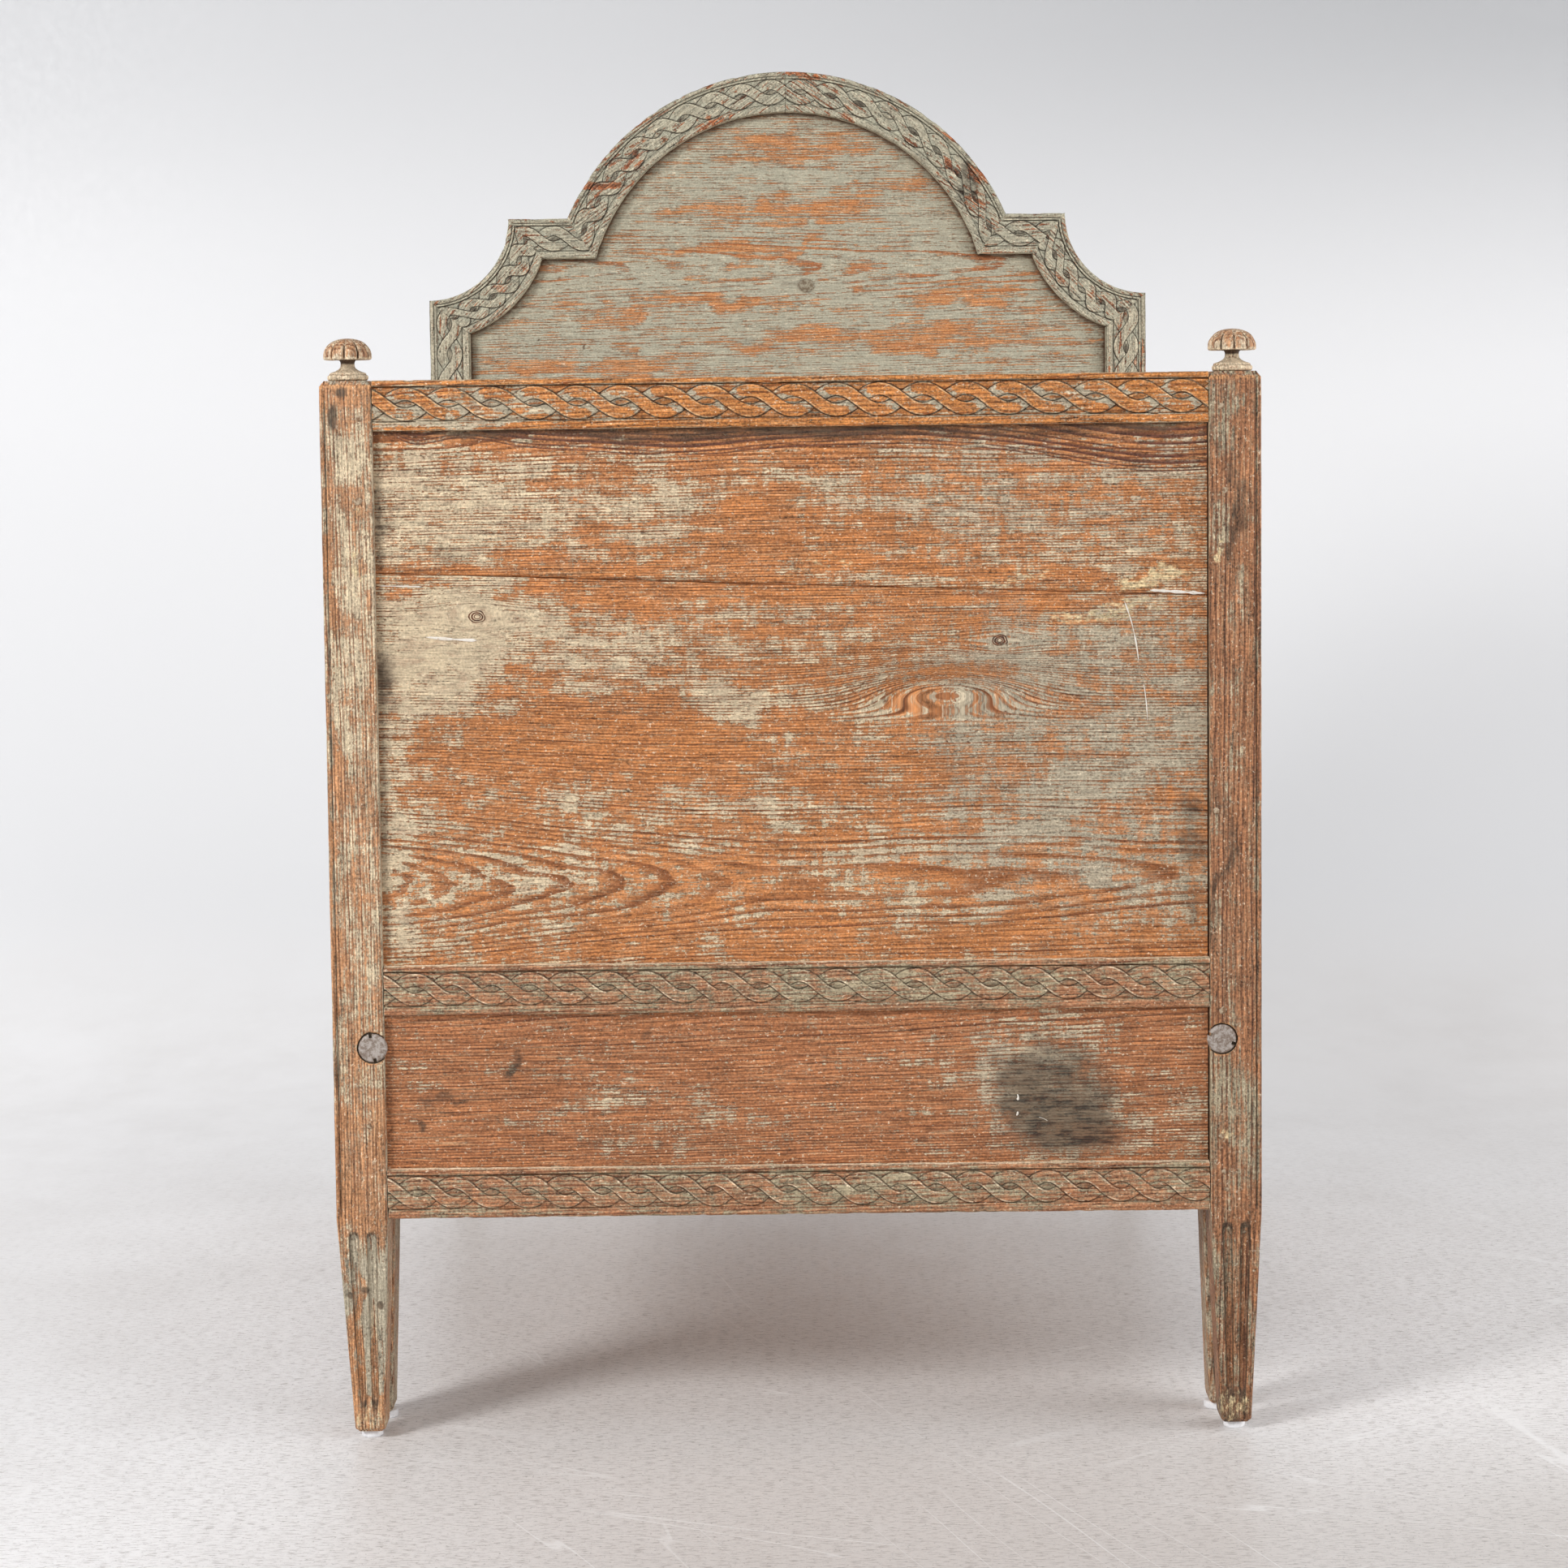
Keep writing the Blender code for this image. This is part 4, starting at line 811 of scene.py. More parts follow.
@dataclass(frozen=True)
class ScrapedPaint:
    """Pine under old paint that was dry scraped, so that wood shows between torn islands."""

    name: str
    early: Colour = srgb(198, 130, 77)
    late: Colour = srgb(112, 64, 38)
    beige: Colour = srgb(210, 192, 160)
    green: Colour = srgb(176, 166, 144)
    veil: Colour = srgb(178, 140, 110)
    grime: Colour = srgb(74, 58, 45)
    bright: Colour = srgb(214, 160, 108)
    fleck: Colour = srgb(230, 214, 186)
    heart: Colour = srgb(94, 56, 44)
    ring: float = 0.0032
    film: float = 0.92
    wash: float = 0.34
    streak: float = 0.85
    rub: float = 0.3
    # How strongly hollows darken, as grime and painted shade
    hollow: float = 0.75
    # How pale worn edges turn; on carved strands this is partly a painted highlight
    edge: float = 0.5
    # How dark the carved cut lines are, as grime and painted shade
    cut: float = 0.0
    eye: float = 0.35
    fine: float = 1.0
    stroke: Axis = (1.0, 1.0, 1.0)
    hearted: bool = False

    def material(self) -> bpy.types.Material:
        """Return the finish's material, made on its first use.

        Returns:
            The material.
        """
        if self.name in bpy.data.materials:
            return bpy.data.materials[self.name]
        made, graph, shader = new_material(self.name)
        grain = graph.attribute("grain", vector=True)
        proud = graph.attribute("proud")
        pine = graph.group(Groups.pine_grain(), grain=grain, ring=self.ring, early=self.early, late=self.late)
        rub = graph.times(graph.rise(graph.attribute("rub"), 0.05, 0.5), self.rub)
        paint = graph.group(Groups.scraped_paint(), grain=graph.stretch(grain, self.stroke),
                            cover=graph.attribute("paint"), ridge=pine.outputs["Ridge"], rub=rub, streak=self.streak)
        tone = paint.outputs["Tone"]
        pit = paint.outputs["Pit"]
        hue = graph.rise(graph.add(graph.attribute("hue"), graph.swing(tone, 1.1)), 0.15, 0.85)
        greened = graph.rise(graph.attribute("hue"), 0.45, 0.9, 0.75)
        veil = graph.blend(greened, self.veil, self.green)
        film = graph.blend(hue, self.beige, self.green)
        film = graph.blend(graph.rise(tone, 0.46, 0.70, 0.42), film, veil)
        film = graph.blend(graph.times(pit, 0.95), film, self.late)
        wash = graph.times(paint.outputs["Wash"], graph.add(self.wash, graph.times(greened, 0.3)))
        colour = graph.blend(wash, pine.outputs["Wood"], veil)
        colour = graph.blend(graph.times(paint.outputs["Film"], self.film), colour, film)
        colour = graph.blend(graph.times(paint.outputs["Fleck"], 0.6), colour, self.fleck)
        height = graph.add(graph.times(paint.outputs["Film"], 0.4), graph.times(pine.outputs["Ridge"], 0.35),
                           graph.times(pine.outputs["Fibre"], 0.5), graph.times(tone, 0.3), graph.times(pit, -0.4))
        if self.hearted:
            bands = graph.group(Groups.heart_bands(), heart=graph.attribute("heart"), grain=grain)
            colour = graph.blend(graph.times(bands.outputs["Band"], 0.95), colour, self.heart)
        if self.cut:
            lines = graph.group(Groups.cut_lines(), twist=graph.attribute("twist", vector=True), half=STRAND / 2,
                                thin=0.0008)
            colour = graph.blend(graph.times(lines.outputs["Eye"], graph.rise(tone, 0.3, 0.6, self.eye)), colour,
                                 self.grime)
            # Worn strand edges, pale as worn paint and as a painted highlight.
            rubbed = graph.times(lines.outputs["Worn edge and highlight"], graph.rise(tone, 0.45, 0.62, self.edge))
            colour = graph.blend(rubbed, colour, self.bright)
            # Cut lines, darkened towards the grime colour as grime and painted shade in the cuts.
            line = graph.times(lines.outputs["Line"], graph.add(0.55, graph.rise(tone, 0.35, 0.6, 0.45)))
            colour = graph.blend(graph.times(line, self.cut), colour, self.grime)
            height = graph.add(height, graph.times(line, -0.9))
        fine = graph.math("SUBTRACT", self.fine, graph.times(paint.outputs["Solid"], 0.45 * self.fine))
        aged = graph.group(Groups.age(), under=colour, grain=grain, proud=proud, dark=graph.attribute("dark"),
                           pale=graph.attribute("pale"), smoke=graph.attribute("smoke"), grime=self.grime,
                           bright=self.bright, hollow=self.hollow, edge=self.edge, fine=fine)
        graph.put(shader.inputs["Base Color"], aged.outputs["Colour"])
        rough = graph.add(0.52, graph.times(paint.outputs["Film"], 0.16), graph.swing(tone, 0.25))
        graph.put(shader.inputs["Roughness"], rough)
        shader.inputs["Specular IOR Level"].default_value = 0.28
        set_bump(graph, shader, height, 0.0010)
        return made


@dataclass(frozen=True)
class BarePine:
    """Bare, dry pine that has darkened with age and dust."""

    name: str
    early: Colour = srgb(190, 142, 98)
    late: Colour = srgb(142, 92, 56)
    grime: Colour = srgb(92, 72, 54)
    bright: Colour = srgb(206, 164, 118)
    ring: float = 0.0055

    def material(self) -> bpy.types.Material:
        """Return the finish's material, made on its first use.

        Returns:
            The material.
        """
        if self.name in bpy.data.materials:
            return bpy.data.materials[self.name]
        made, graph, shader = new_material(self.name)
        grain = graph.attribute("grain", vector=True)
        pine = graph.group(Groups.pine_grain(), grain=grain, ring=self.ring, early=self.early, late=self.late)
        dust = graph.noise(grain, (9.0, 30.0, 30.0), 4.0, 0.6)
        colour = graph.blend(graph.rise(dust, 0.45, 0.75, 0.45), pine.outputs["Wood"], srgb(164, 144, 118))
        aged = graph.group(Groups.age(), under=colour, grain=grain, proud=graph.attribute("proud"),
                           dark=graph.attribute("dark"), pale=graph.attribute("pale"), grime=self.grime,
                           bright=self.bright, hollow=0.7, edge=0.5, fine=1.0)
        graph.put(shader.inputs["Base Color"], aged.outputs["Colour"])
        graph.put(shader.inputs["Roughness"], graph.add(0.6, graph.swing(dust, 0.3)))
        shader.inputs["Specular IOR Level"].default_value = 0.25
        height = graph.add(graph.times(pine.outputs["Ridge"], 0.5), graph.times(pine.outputs["Fibre"], 0.5))
        set_bump(graph, shader, height, 0.0006)
        return made


@dataclass(frozen=True)
class MottledFinish:
    """A small part's finish of two colours in blotches, such as painted iron, a pad or a peg."""

    name: str
    main: Colour
    other: Colour
    spots: Colour
    blotch: float
    roughness: float
    depth: float
    metal: float = 0.0
    balance: float = 0.5

    def material(self) -> bpy.types.Material:
        """Return the finish's material, made on its first use.

        Returns:
            The material.
        """
        if self.name in bpy.data.materials:
            return bpy.data.materials[self.name]
        made, graph, shader = new_material(self.name)
        place = graph.node("ShaderNodeTexCoord").outputs["Object"]
        coarse = graph.noise(place, (1 / self.blotch,) * 3, 4.0, 0.65)
        fine = graph.noise(place, (5 / self.blotch,) * 3, 3.0, 0.6)
        colour = graph.blend(graph.rise(coarse, self.balance - 0.1, self.balance + 0.1), self.main, self.other)
        colour = graph.blend(graph.rise(fine, 0.58, 0.72, 0.8), colour, self.spots)
        graph.put(shader.inputs["Base Color"], colour)
        graph.put(shader.inputs["Roughness"], graph.add(self.roughness, graph.swing(coarse, 0.4)))
        shader.inputs["Metallic"].default_value = self.metal
        shader.inputs["Specular IOR Level"].default_value = 0.3
        set_bump(graph, shader, graph.add(coarse, fine), self.depth)
        return made


PANEL_PAINT = ScrapedPaint("panel paint", ring=0.0027, fine=1.2)
UPPER_PAINT = replace(PANEL_PAINT, name="upper panel paint", fine=1.35, hearted=True)
LOWER_PAINT = replace(PANEL_PAINT, name="lower panel paint", early=srgb(182, 120, 78), late=srgb(106, 62, 40),
                      veil=srgb(162, 126, 100))
RAIL_PAINT = ScrapedPaint(
    "top rail paint", early=srgb(200, 132, 72), late=srgb(134, 74, 36), beige=srgb(198, 184, 156),
    green=srgb(174, 166, 144), bright=srgb(238, 200, 152), grime=srgb(62, 42, 26), rub=0.15, edge=0.7, hollow=0.6,
    cut=1.0, fine=1.5,
)
LOW_RAIL_PAINT = ScrapedPaint(
    "lower rail paint", early=srgb(176, 122, 86), late=srgb(112, 70, 48), beige=srgb(196, 178, 146),
    green=srgb(166, 154, 126), veil=srgb(158, 130, 102), bright=srgb(232, 212, 182), grime=srgb(62, 44, 30), wash=0.6,
    rub=0.1, edge=0.8, hollow=0.6, cut=0.75, fine=1.4,
)
POST_PAINT = ScrapedPaint(
    "post paint", early=srgb(192, 140, 98), late=srgb(112, 70, 48), veil=srgb(172, 144, 118), ring=0.0028, streak=1.2,
    wash=0.6, fine=1.4,
)
RIGHT_POST_PAINT = replace(POST_PAINT, name="right post paint", early=srgb(170, 118, 82), late=srgb(90, 54, 38),
                           green=srgb(168, 156, 130), veil=srgb(148, 122, 98), ring=0.0042, wash=0.5, fine=1.6)
FINIAL_PAINT = replace(POST_PAINT, name="finial paint", beige=srgb(222, 202, 172), green=srgb(186, 174, 150),
                       bright=srgb(236, 216, 184), grime=srgb(70, 48, 32), edge=0.7, hollow=0.95, wash=0.5, fine=1.1)
HEAD_PAINT = ScrapedPaint(
    "headboard paint", early=srgb(199, 138, 87), late=srgb(158, 94, 54), beige=srgb(182, 172, 146),
    green=srgb(171, 170, 151), veil=srgb(162, 142, 116), grime=srgb(82, 56, 37), bright=srgb(200, 190, 164), rub=0.05,
    edge=0.25, streak=1.8, wash=0.14, hollow=0.8, fine=0.9, stroke=(0.5, 1.7, 1.7),
)
CREST_PAINT = replace(HEAD_PAINT, name="crest paint", early=srgb(176, 104, 62), late=srgb(112, 62, 38),
                      beige=srgb(184, 174, 149), green=srgb(163, 163, 144), bright=srgb(208, 200, 174),
                      grime=srgb(48, 35, 24), edge=0.75, streak=1.2, cut=1.0, eye=0.8, fine=1.8,
                      stroke=(1.0, 1.0, 1.0))
SIDE_PAINT = ScrapedPaint("side rail paint", beige=srgb(192, 176, 148), rub=0.6)
DRY_PINE = BarePine("dry pine")
IRON = MottledFinish("painted iron", srgb(176, 166, 158), srgb(132, 116, 104), srgb(226, 222, 216), 0.004, 0.5, 0.0004,
                     metal=0.2)
NUT_IRON = MottledFinish("rusty iron", srgb(96, 78, 66), srgb(122, 82, 58), srgb(58, 48, 44), 0.007, 0.6, 0.0004,
                         metal=0.5)
WHITE_PAD = MottledFinish("white pad", srgb(248, 248, 250), srgb(238, 238, 240), srgb(216, 212, 208), 0.01, 0.45,
                          0.0002)
PEG_WOOD = MottledFinish("peg ends", srgb(188, 168, 142), srgb(128, 98, 72), srgb(74, 54, 40), 0.004, 0.6, 0.0005)
HEAD_KNOT = MottledFinish("painted knot", srgb(158, 149, 128), srgb(116, 100, 80), srgb(74, 60, 48), 0.004, 0.6, 0.0004)
KNOT_WOOD = MottledFinish("knots", srgb(112, 68, 44), srgb(66, 42, 30), srgb(150, 128, 104), 0.005, 0.55, 0.0006)
WHITE_CHIP = MottledFinish("white filler", srgb(236, 230, 220), srgb(226, 216, 202), srgb(196, 176, 150), 0.012, 0.7,
                           0.0003)


@dataclass
class Piece:
    """A dressed piece: what it is made of, where it rides and which nodes it stands for."""

    made: bpy.types.Object
    body: str
    slot: str
    nodes: tuple[str, ...] = ()

    def dress(self, finish: ScrapedPaint | BarePine, timber: Timber, coat: Coat, wear: Wear, seed: int,
              calm: np.ndarray | float = 1.0, twist: np.ndarray | None = None,
              dirt_and_shade: Callable[[np.ndarray], np.ndarray] | None = None) -> None:
        """Wear the piece, measure its surface and give it its finish.

        Args:
            finish: The finish.
            timber: How it was sawn.
            coat: Its paint and patches.
            wear: How worn it is.
            seed: Which noise the wear takes.
            calm: How much wear each point takes, such as none at a joint.
            twist: Each point's place in a carved twist, if it has one.
            dirt_and_shade: Gives the dirt and painted shade of the piece's own hollows at points, if it has any.
        """
        surface = Surface(self.made)
        marks = coat.values(surface.points)
        # Painted shade with dirt, from the piece's own flutes or moulding edges.
        if dirt_and_shade:
            marks[Mark.DARK] += dirt_and_shade(surface.points)
        wear.apply(surface, seed, calm)
        if twist is not None:
            surface.store("twist", twist)
        surface.store("grain", timber.places(surface.points, seed))
        proud = surface.proud(wear.edge_reach)
        surface.store("proud", np.where(proud > 0, proud * wear.rubbed, proud) * calm)
        surface.store("rub", np.clip(surface.proud(wear.rub_reach), 0, 1) * wear.rubbed * calm)
        for mark, values in marks.items():
            surface.store(mark.value, values)
        self.coat_with(finish)

    def coat_with(self, finish: ScrapedPaint | BarePine | MottledFinish) -> None:
        """Give the piece a finish and let it ride on its body."""
        self.made.data.materials.clear()
        self.made.data.materials.append(finish.material())
        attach(self.made, self.body)
        if self.nodes:
            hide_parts(*self.nodes)
        log.info("%s: %d faces, on %s", self.made.name, len(self.made.data.polygons), self.body)


@dataclass(frozen=True)
class Guilloche:
    """A carved twist of two strands, with an eye between each pair of crossings."""

    pitch: float
    half_band: float
    strand: float = STRAND
    face: float = 0.0003
    crown: float = 0.0005
    sunk: float = 0.0030
    dip: float = 0.0018
    eye: float = 0.0017
    line_width: float = 0.0007
    line_depth: float = 0.0005
    slope: float = 0.0005
    relief: float = 1.0
    start: float = 0.0

    def course(self, along: np.ndarray) -> tuple[np.ndarray, np.ndarray, np.ndarray]:
        """Return the turn, the rising strand's height and its lean at places along the band."""
        turn = (along - self.start) / self.pitch
        swing = self.half_band - self.strand / 2
        slope = swing * math.pi / self.pitch * np.cos(math.pi * turn)
        return turn, swing * np.sin(math.pi * turn), np.sqrt(1 + slope**2)

    def places(self, along: np.ndarray, across: np.ndarray) -> np.ndarray:
        """Return signed distances from the rising and the falling strand, and the turn, as vectors."""
        turn, middle, lean = self.course(along)
        return np.stack([(across - middle) / lean, (across + middle) / lean, turn], axis=-1)

    def depth(self, along: np.ndarray, across: np.ndarray) -> np.ndarray:
        """Work out how deep the carving lies below the moulding's face.

        Args:
            along: Places along the band.
            across: Places across it from its middle, above 0 towards its outer edge.

        Returns:
            Depths in metres.
        """
        turn, middle, lean = self.course(along)
        rising = np.abs(across - middle) / lean
        falling = np.abs(across + middle) / lean
        falls_over = np.round(turn) % 2 == 0
        over = np.where(falls_over, falling, rising)
        under = np.where(falls_over, rising, falling)
        half = self.strand / 2
        corner = np.abs(turn - np.round(turn)) * 2
        opening = np.maximum(np.abs(middle) - half * lean, 0.0005)
        seed = self.eye - 0.0011 * np.clip(1 - (across / opening) ** 2, 0, 1)
        ground = np.where(np.abs(across) < np.abs(middle), seed, self.sunk * (1.15 - 0.5 * corner))
        low = self.dip * smooth_step(0.012, 0.0, over - half)
        below = self.face + self.crown * (under / half) ** 2 + low
        above = self.face + self.crown * (over / half) ** 2
        depth = lerp(below, ground, smooth_step(half - self.slope, half + self.slope, under))
        depth = depth + self.line_depth * bell(under - half, self.line_width)
        depth = lerp(above, depth, smooth_step(half - self.slope, half + self.slope, over))
        return self.relief * (depth + self.line_depth * bell(over - half, self.line_width))


@dataclass(frozen=True)
class CarvedBand:
    """A moulding's face: an outer strip, the carved band and an inner bead."""

    width: float
    outer: float
    inner: float
    twist: Guilloche
    fillet: float = 0.0
    quirk_width: float = 0.0008
    quirk_depth: float = 0.0014
    round_edge: float = 0.0022
    points: int = 58

    @staticmethod
    def rounded(distance: np.ndarray, radius: float) -> np.ndarray:
        """Return how deep a rounded edge falls at a distance from the edge."""
        short = np.clip(radius - distance, 0, radius)
        return radius - np.sqrt(np.maximum(radius**2 - short**2, 0))

    def offsets(self) -> np.ndarray:
        """Return places across the face, close together at its edges."""
        near = self.round_edge * np.array([0.0, 0.06, 0.2, 0.45])
        return np.concatenate([near, np.linspace(self.round_edge * 0.8, self.width - self.round_edge * 0.8,
                                                 self.points), self.width - near[::-1]])

    def middle(self) -> float:
        """Return how far the twist's middle lies from the outer edge."""
        return (self.outer + self.fillet + self.width - self.inner) / 2

    def places(self, along: np.ndarray, offset: np.ndarray, plain: int) -> np.ndarray:
        """Measure rings of points in the twist.

        Args:
            along: Places along the moulding, of shape (rings, points on the face).
            offset: Distances from its outer edge, of the same shape.
            plain: How many points of each ring lie on its plain sides and back.

        Returns:
            Vectors for every point, those of the plain sides without a twist.
        """
        carved = self.twist.places(along, self.middle() - offset)
        rest = np.full((len(carved), plain, 3), NO_TWIST)
        return np.concatenate([carved, rest], axis=1).reshape(-1, 3)

    def depth(self, along: np.ndarray, offset: np.ndarray) -> np.ndarray:
        """Work out the face's depth.

        Args:
            along: Places along the moulding.
            offset: Distances from its outer edge.

        Returns:
            Depths in metres.
        """
        low = self.outer + self.fillet
        high = self.width - self.inner
        carved = self.twist.depth(along, self.middle() - offset)
        bead = 0.0009 * ((offset - self.outer / 2) / (self.outer / 2)) ** 2
        inner = 0.0011 * ((offset - (self.width - self.inner / 2)) / (self.inner / 2)) ** 2
        ledge = np.full_like(offset, 0.0007)
        depth = np.where(offset < self.outer, bead, np.where(offset < low, ledge, np.where(offset < high, carved, inner)))
        for edge in (self.outer, low, high):
            depth = depth + self.quirk_depth * bell(offset - edge, self.quirk_width) * (edge > 0)
        depth = depth + self.rounded(offset, self.round_edge)
        return depth + self.rounded(self.width - offset, self.round_edge)


def rounded_ring(shares: np.ndarray, low: np.ndarray, high: np.ndarray, radius: np.ndarray) -> np.ndarray:
    """Lay ring points on a rectangle with round corners.

    Args:
        shares: Points on the unit square's border, of shape (n, 2).
        low: The rectangles' low corners, of shape (rings, 2).
        high: The rectangles' high corners, of shape (rings, 2).
        radius: The corner radius of each ring.

    Returns:
        Points of shape (rings, n, 2).
    """
    places = low[:, None, :] + shares[None, :, :] * (high - low)[:, None, :]
    reach = radius[:, None, None]
    core = np.clip(places, low[:, None, :] + reach, high[:, None, :] - reach)
    away = places - core
    length = np.maximum(np.linalg.norm(away, axis=-1, keepdims=True), 1e-9)
    return core + away / length * np.minimum(length, reach)


def face_shares(count: int, ease: float) -> np.ndarray:
    """Return places along a face from corner to corner, without the last, close together near the corners."""
    near = ease * np.array([0.0, 0.2, 0.45, 0.75])
    return np.concatenate([near, np.linspace(ease, 1 - ease, count), 1 - near[:0:-1]])


def square_shares(front: int, inner: int, back: int, outer: int, ease: float) -> np.ndarray:
    """Go round a unit square: front face, inner side, back and outer side.

    Args:
        front: Points on the front face.
        inner: Points on the inner side.
        back: Points on the back.
        outer: Points on the outer side.
        ease: How far the close points reach from a corner, as a share of a face.

    Returns:
        Points of shape (n, 2).
    """
    rows = []
    for count, start, way in ((front, (0, 0), (1, 0)), (inner, (1, 0), (0, 1)), (back, (1, 1), (-1, 0)),
                              (outer, (0, 1), (0, -1))):
        shares = face_shares(count, ease)
        rows.append(np.array(start) + shares[:, None] * np.array(way))
    return np.concatenate(rows)


@dataclass
class FlutedLeg:
    """The tapered, fluted leg of a post, measured inwards from the post's outer and front faces."""

    taper_outer: float = 0.014
    taper_inner: float = 0.0075
    taper_front: float = 0.008
    taper_back: float = 0.008
    flute_width: float = 0.0105
    flute_depth: float = 0.0036
    flute_spacing: float = 0.0188
    flute_drop: float = 0.011
    flute_rise: float = 0.020
    foot_ease: float = 0.003
    slim: float = 0.0

    def corners(self, heights: np.ndarray, top: float, foot: float, size: float,
                end: float) -> tuple[np.ndarray, np.ndarray]:
        """Work out the section at each height.

        Args:
            heights: Heights of the rings.
            top: Where the taper starts.
            foot: The leg's foot.
            size: The post's size.
            end: The post's own top.

        Returns:
            The low and high corners, in insets and depths.
        """
        taper = np.clip((top - heights) / (top - foot), 0, 1)
        ease = self.foot_ease * (smooth_step(foot + 0.004, foot, heights) + 1.4 * smooth_step(-0.006, 0.0, heights - end))
        low = np.stack([self.taper_outer * taper + ease, self.taper_front * taper + ease], axis=-1)
        inner = self.taper_inner * taper + self.slim * smooth_step(top, top - 0.006, heights)
        high = np.stack([size - inner - ease, size - self.taper_back * taper - ease], axis=-1)
        return low, high

    def flute(self, heights: np.ndarray, across: np.ndarray, top: float, foot: float, size: np.ndarray,
              full: float) -> np.ndarray:
        """Work out the depth of two flutes on a face.

        Args:
            heights: Heights of the rings, of shape (rings, 1).
            across: Places from the face's middle, of shape (rings, n).
            top: The leg's top.
            foot: The leg's foot.
            size: The face's width at each ring, of shape (rings, 1).
            full: The face's width above the taper.

        Returns:
            Depths of shape (rings, n).
        """
        scale = size / full
        half = self.flute_width / 2 * scale
        low, high = foot + self.flute_rise, top - self.flute_drop
        near = np.clip(heights, low + half, high - half)
        ends = smooth_step(low, low + 0.025, heights) * smooth_step(high, high - 0.012, heights)
        depth = np.zeros_like(across)
        for way in (-1, 1):
            reach = np.hypot(across - way * self.flute_spacing / 2 * scale, heights - near) / half
            depth = np.maximum(depth, self.flute_depth * ends * np.sqrt(np.clip(1 - reach**2, 0, 1)))
        return depth


@dataclass
class Upright:
    """A post or leg: its side, place, heights and what is worked into its faces."""

    node: str
    side: int
    shoulder: float
    leg: FlutedLeg = field(default_factory=FlutedLeg)
    corner: float = 0.0028
    fine: float = 0.0025
    coarse: float = 0.004
    counts: tuple[int, int, int, int] = (46, 22, 14, 34)

    def __post_init__(self) -> None:
        """Take the post's place from the frame."""
        self.low, self.high = node_box(self.node)
        self.size = float(self.high[1] - self.low[1])
        self.edge = float(max(abs(self.low[0]), abs(self.high[0])))
        self.foot = float(self.low[2])
        self.top = float(self.high[2])

    def heights(self) -> np.ndarray:
        """Return the rings' heights, close together on the leg."""
        leg = np.arange(self.foot, self.shoulder, self.fine)
        ends = np.array([0.0004, 0.001, 0.0018, 0.003])
        above = np.arange(self.shoulder, self.top, self.coarse)
        return np.unique(np.concatenate([leg, self.foot + ends, above, self.top - ends, [self.top]]))

    def rings(self, heights: np.ndarray) -> tuple[np.ndarray, np.ndarray]:
        """Lay out the rings with taper, round corners and flutes.

        Args:
            heights: The rings' heights.

        Returns:
            The unit-square shares and the rings' (inset, depth) points.
        """
        shares = square_shares(*self.counts, ease=0.045)
        low, high = self.leg.corners(heights, self.shoulder, self.foot, self.size, self.top)
        spots = np.stack([np.full_like(heights, 0.3 * self.side), heights * 0, heights], axis=-1)
        radius = self.corner * (1 + 0.35 * value_noise(spots, 0.03, 5))
        rings = rounded_ring(shares, low, high, radius)
        tall = heights[:, None]
        on_leg = smooth_step(self.shoulder + 0.001, self.shoulder - 0.002, tall)
        for column, other in ((0, 1), (1, 0)):
            chosen = shares[:, other] == 0
            width = (high - low)[:, column][:, None]
            middle = ((high + low) / 2)[:, column][:, None]
            depth = self.leg.flute(tall, rings[:, chosen, column] - middle, self.shoulder, self.foot, width, self.size)
            rings[:, chosen, other] += depth * on_leg
        return shares, rings

    def dirt_and_shade(self, points: np.ndarray) -> np.ndarray:
        """Work out the dirt and painted shade along the flutes' edges.

        Args:
            points: The post's points.

        Returns:
            How dark each point is.
        """
        tall = points[:, 2]
        places = np.stack([self.edge - self.side * points[:, 0], points[:, 1] - self.low[1]], axis=-1)
        low, high = self.leg.corners(tall, self.shoulder, self.foot, self.size, self.top)
        total = np.zeros(len(points))
        for column, other in ((0, 1), (1, 0)):
            width, middle = (high - low)[:, column], (high + low)[:, column] / 2
            across = places[:, column] - middle
            depth = self.leg.flute(tall[:, None], across[:, None], self.shoulder, self.foot, width[:, None], self.size)
            share = depth[:, 0] / self.leg.flute_depth
            near = (places[:, other] < low[:, other] + 0.006) & (tall < self.shoulder)
            # Painted shade with dirt: the flutes' walls darken most, and a little inside the flutes too.
            total += near * (share > 0) * (0.8 * bell(share - 0.3, 0.3) + 0.05)
        return total

    def place(self, rings: np.ndarray, heights: np.ndarray) -> np.ndarray:
        """Put (inset, depth) rings at their heights in the frame; heights may differ round a ring."""
        x = self.side * (self.edge - rings[..., 0])
        y = self.low[1] + rings[..., 1]
        z = np.broadcast_to(heights if heights.ndim == 2 else heights[:, None], x.shape)
        return np.stack([x, y, z], axis=-1)


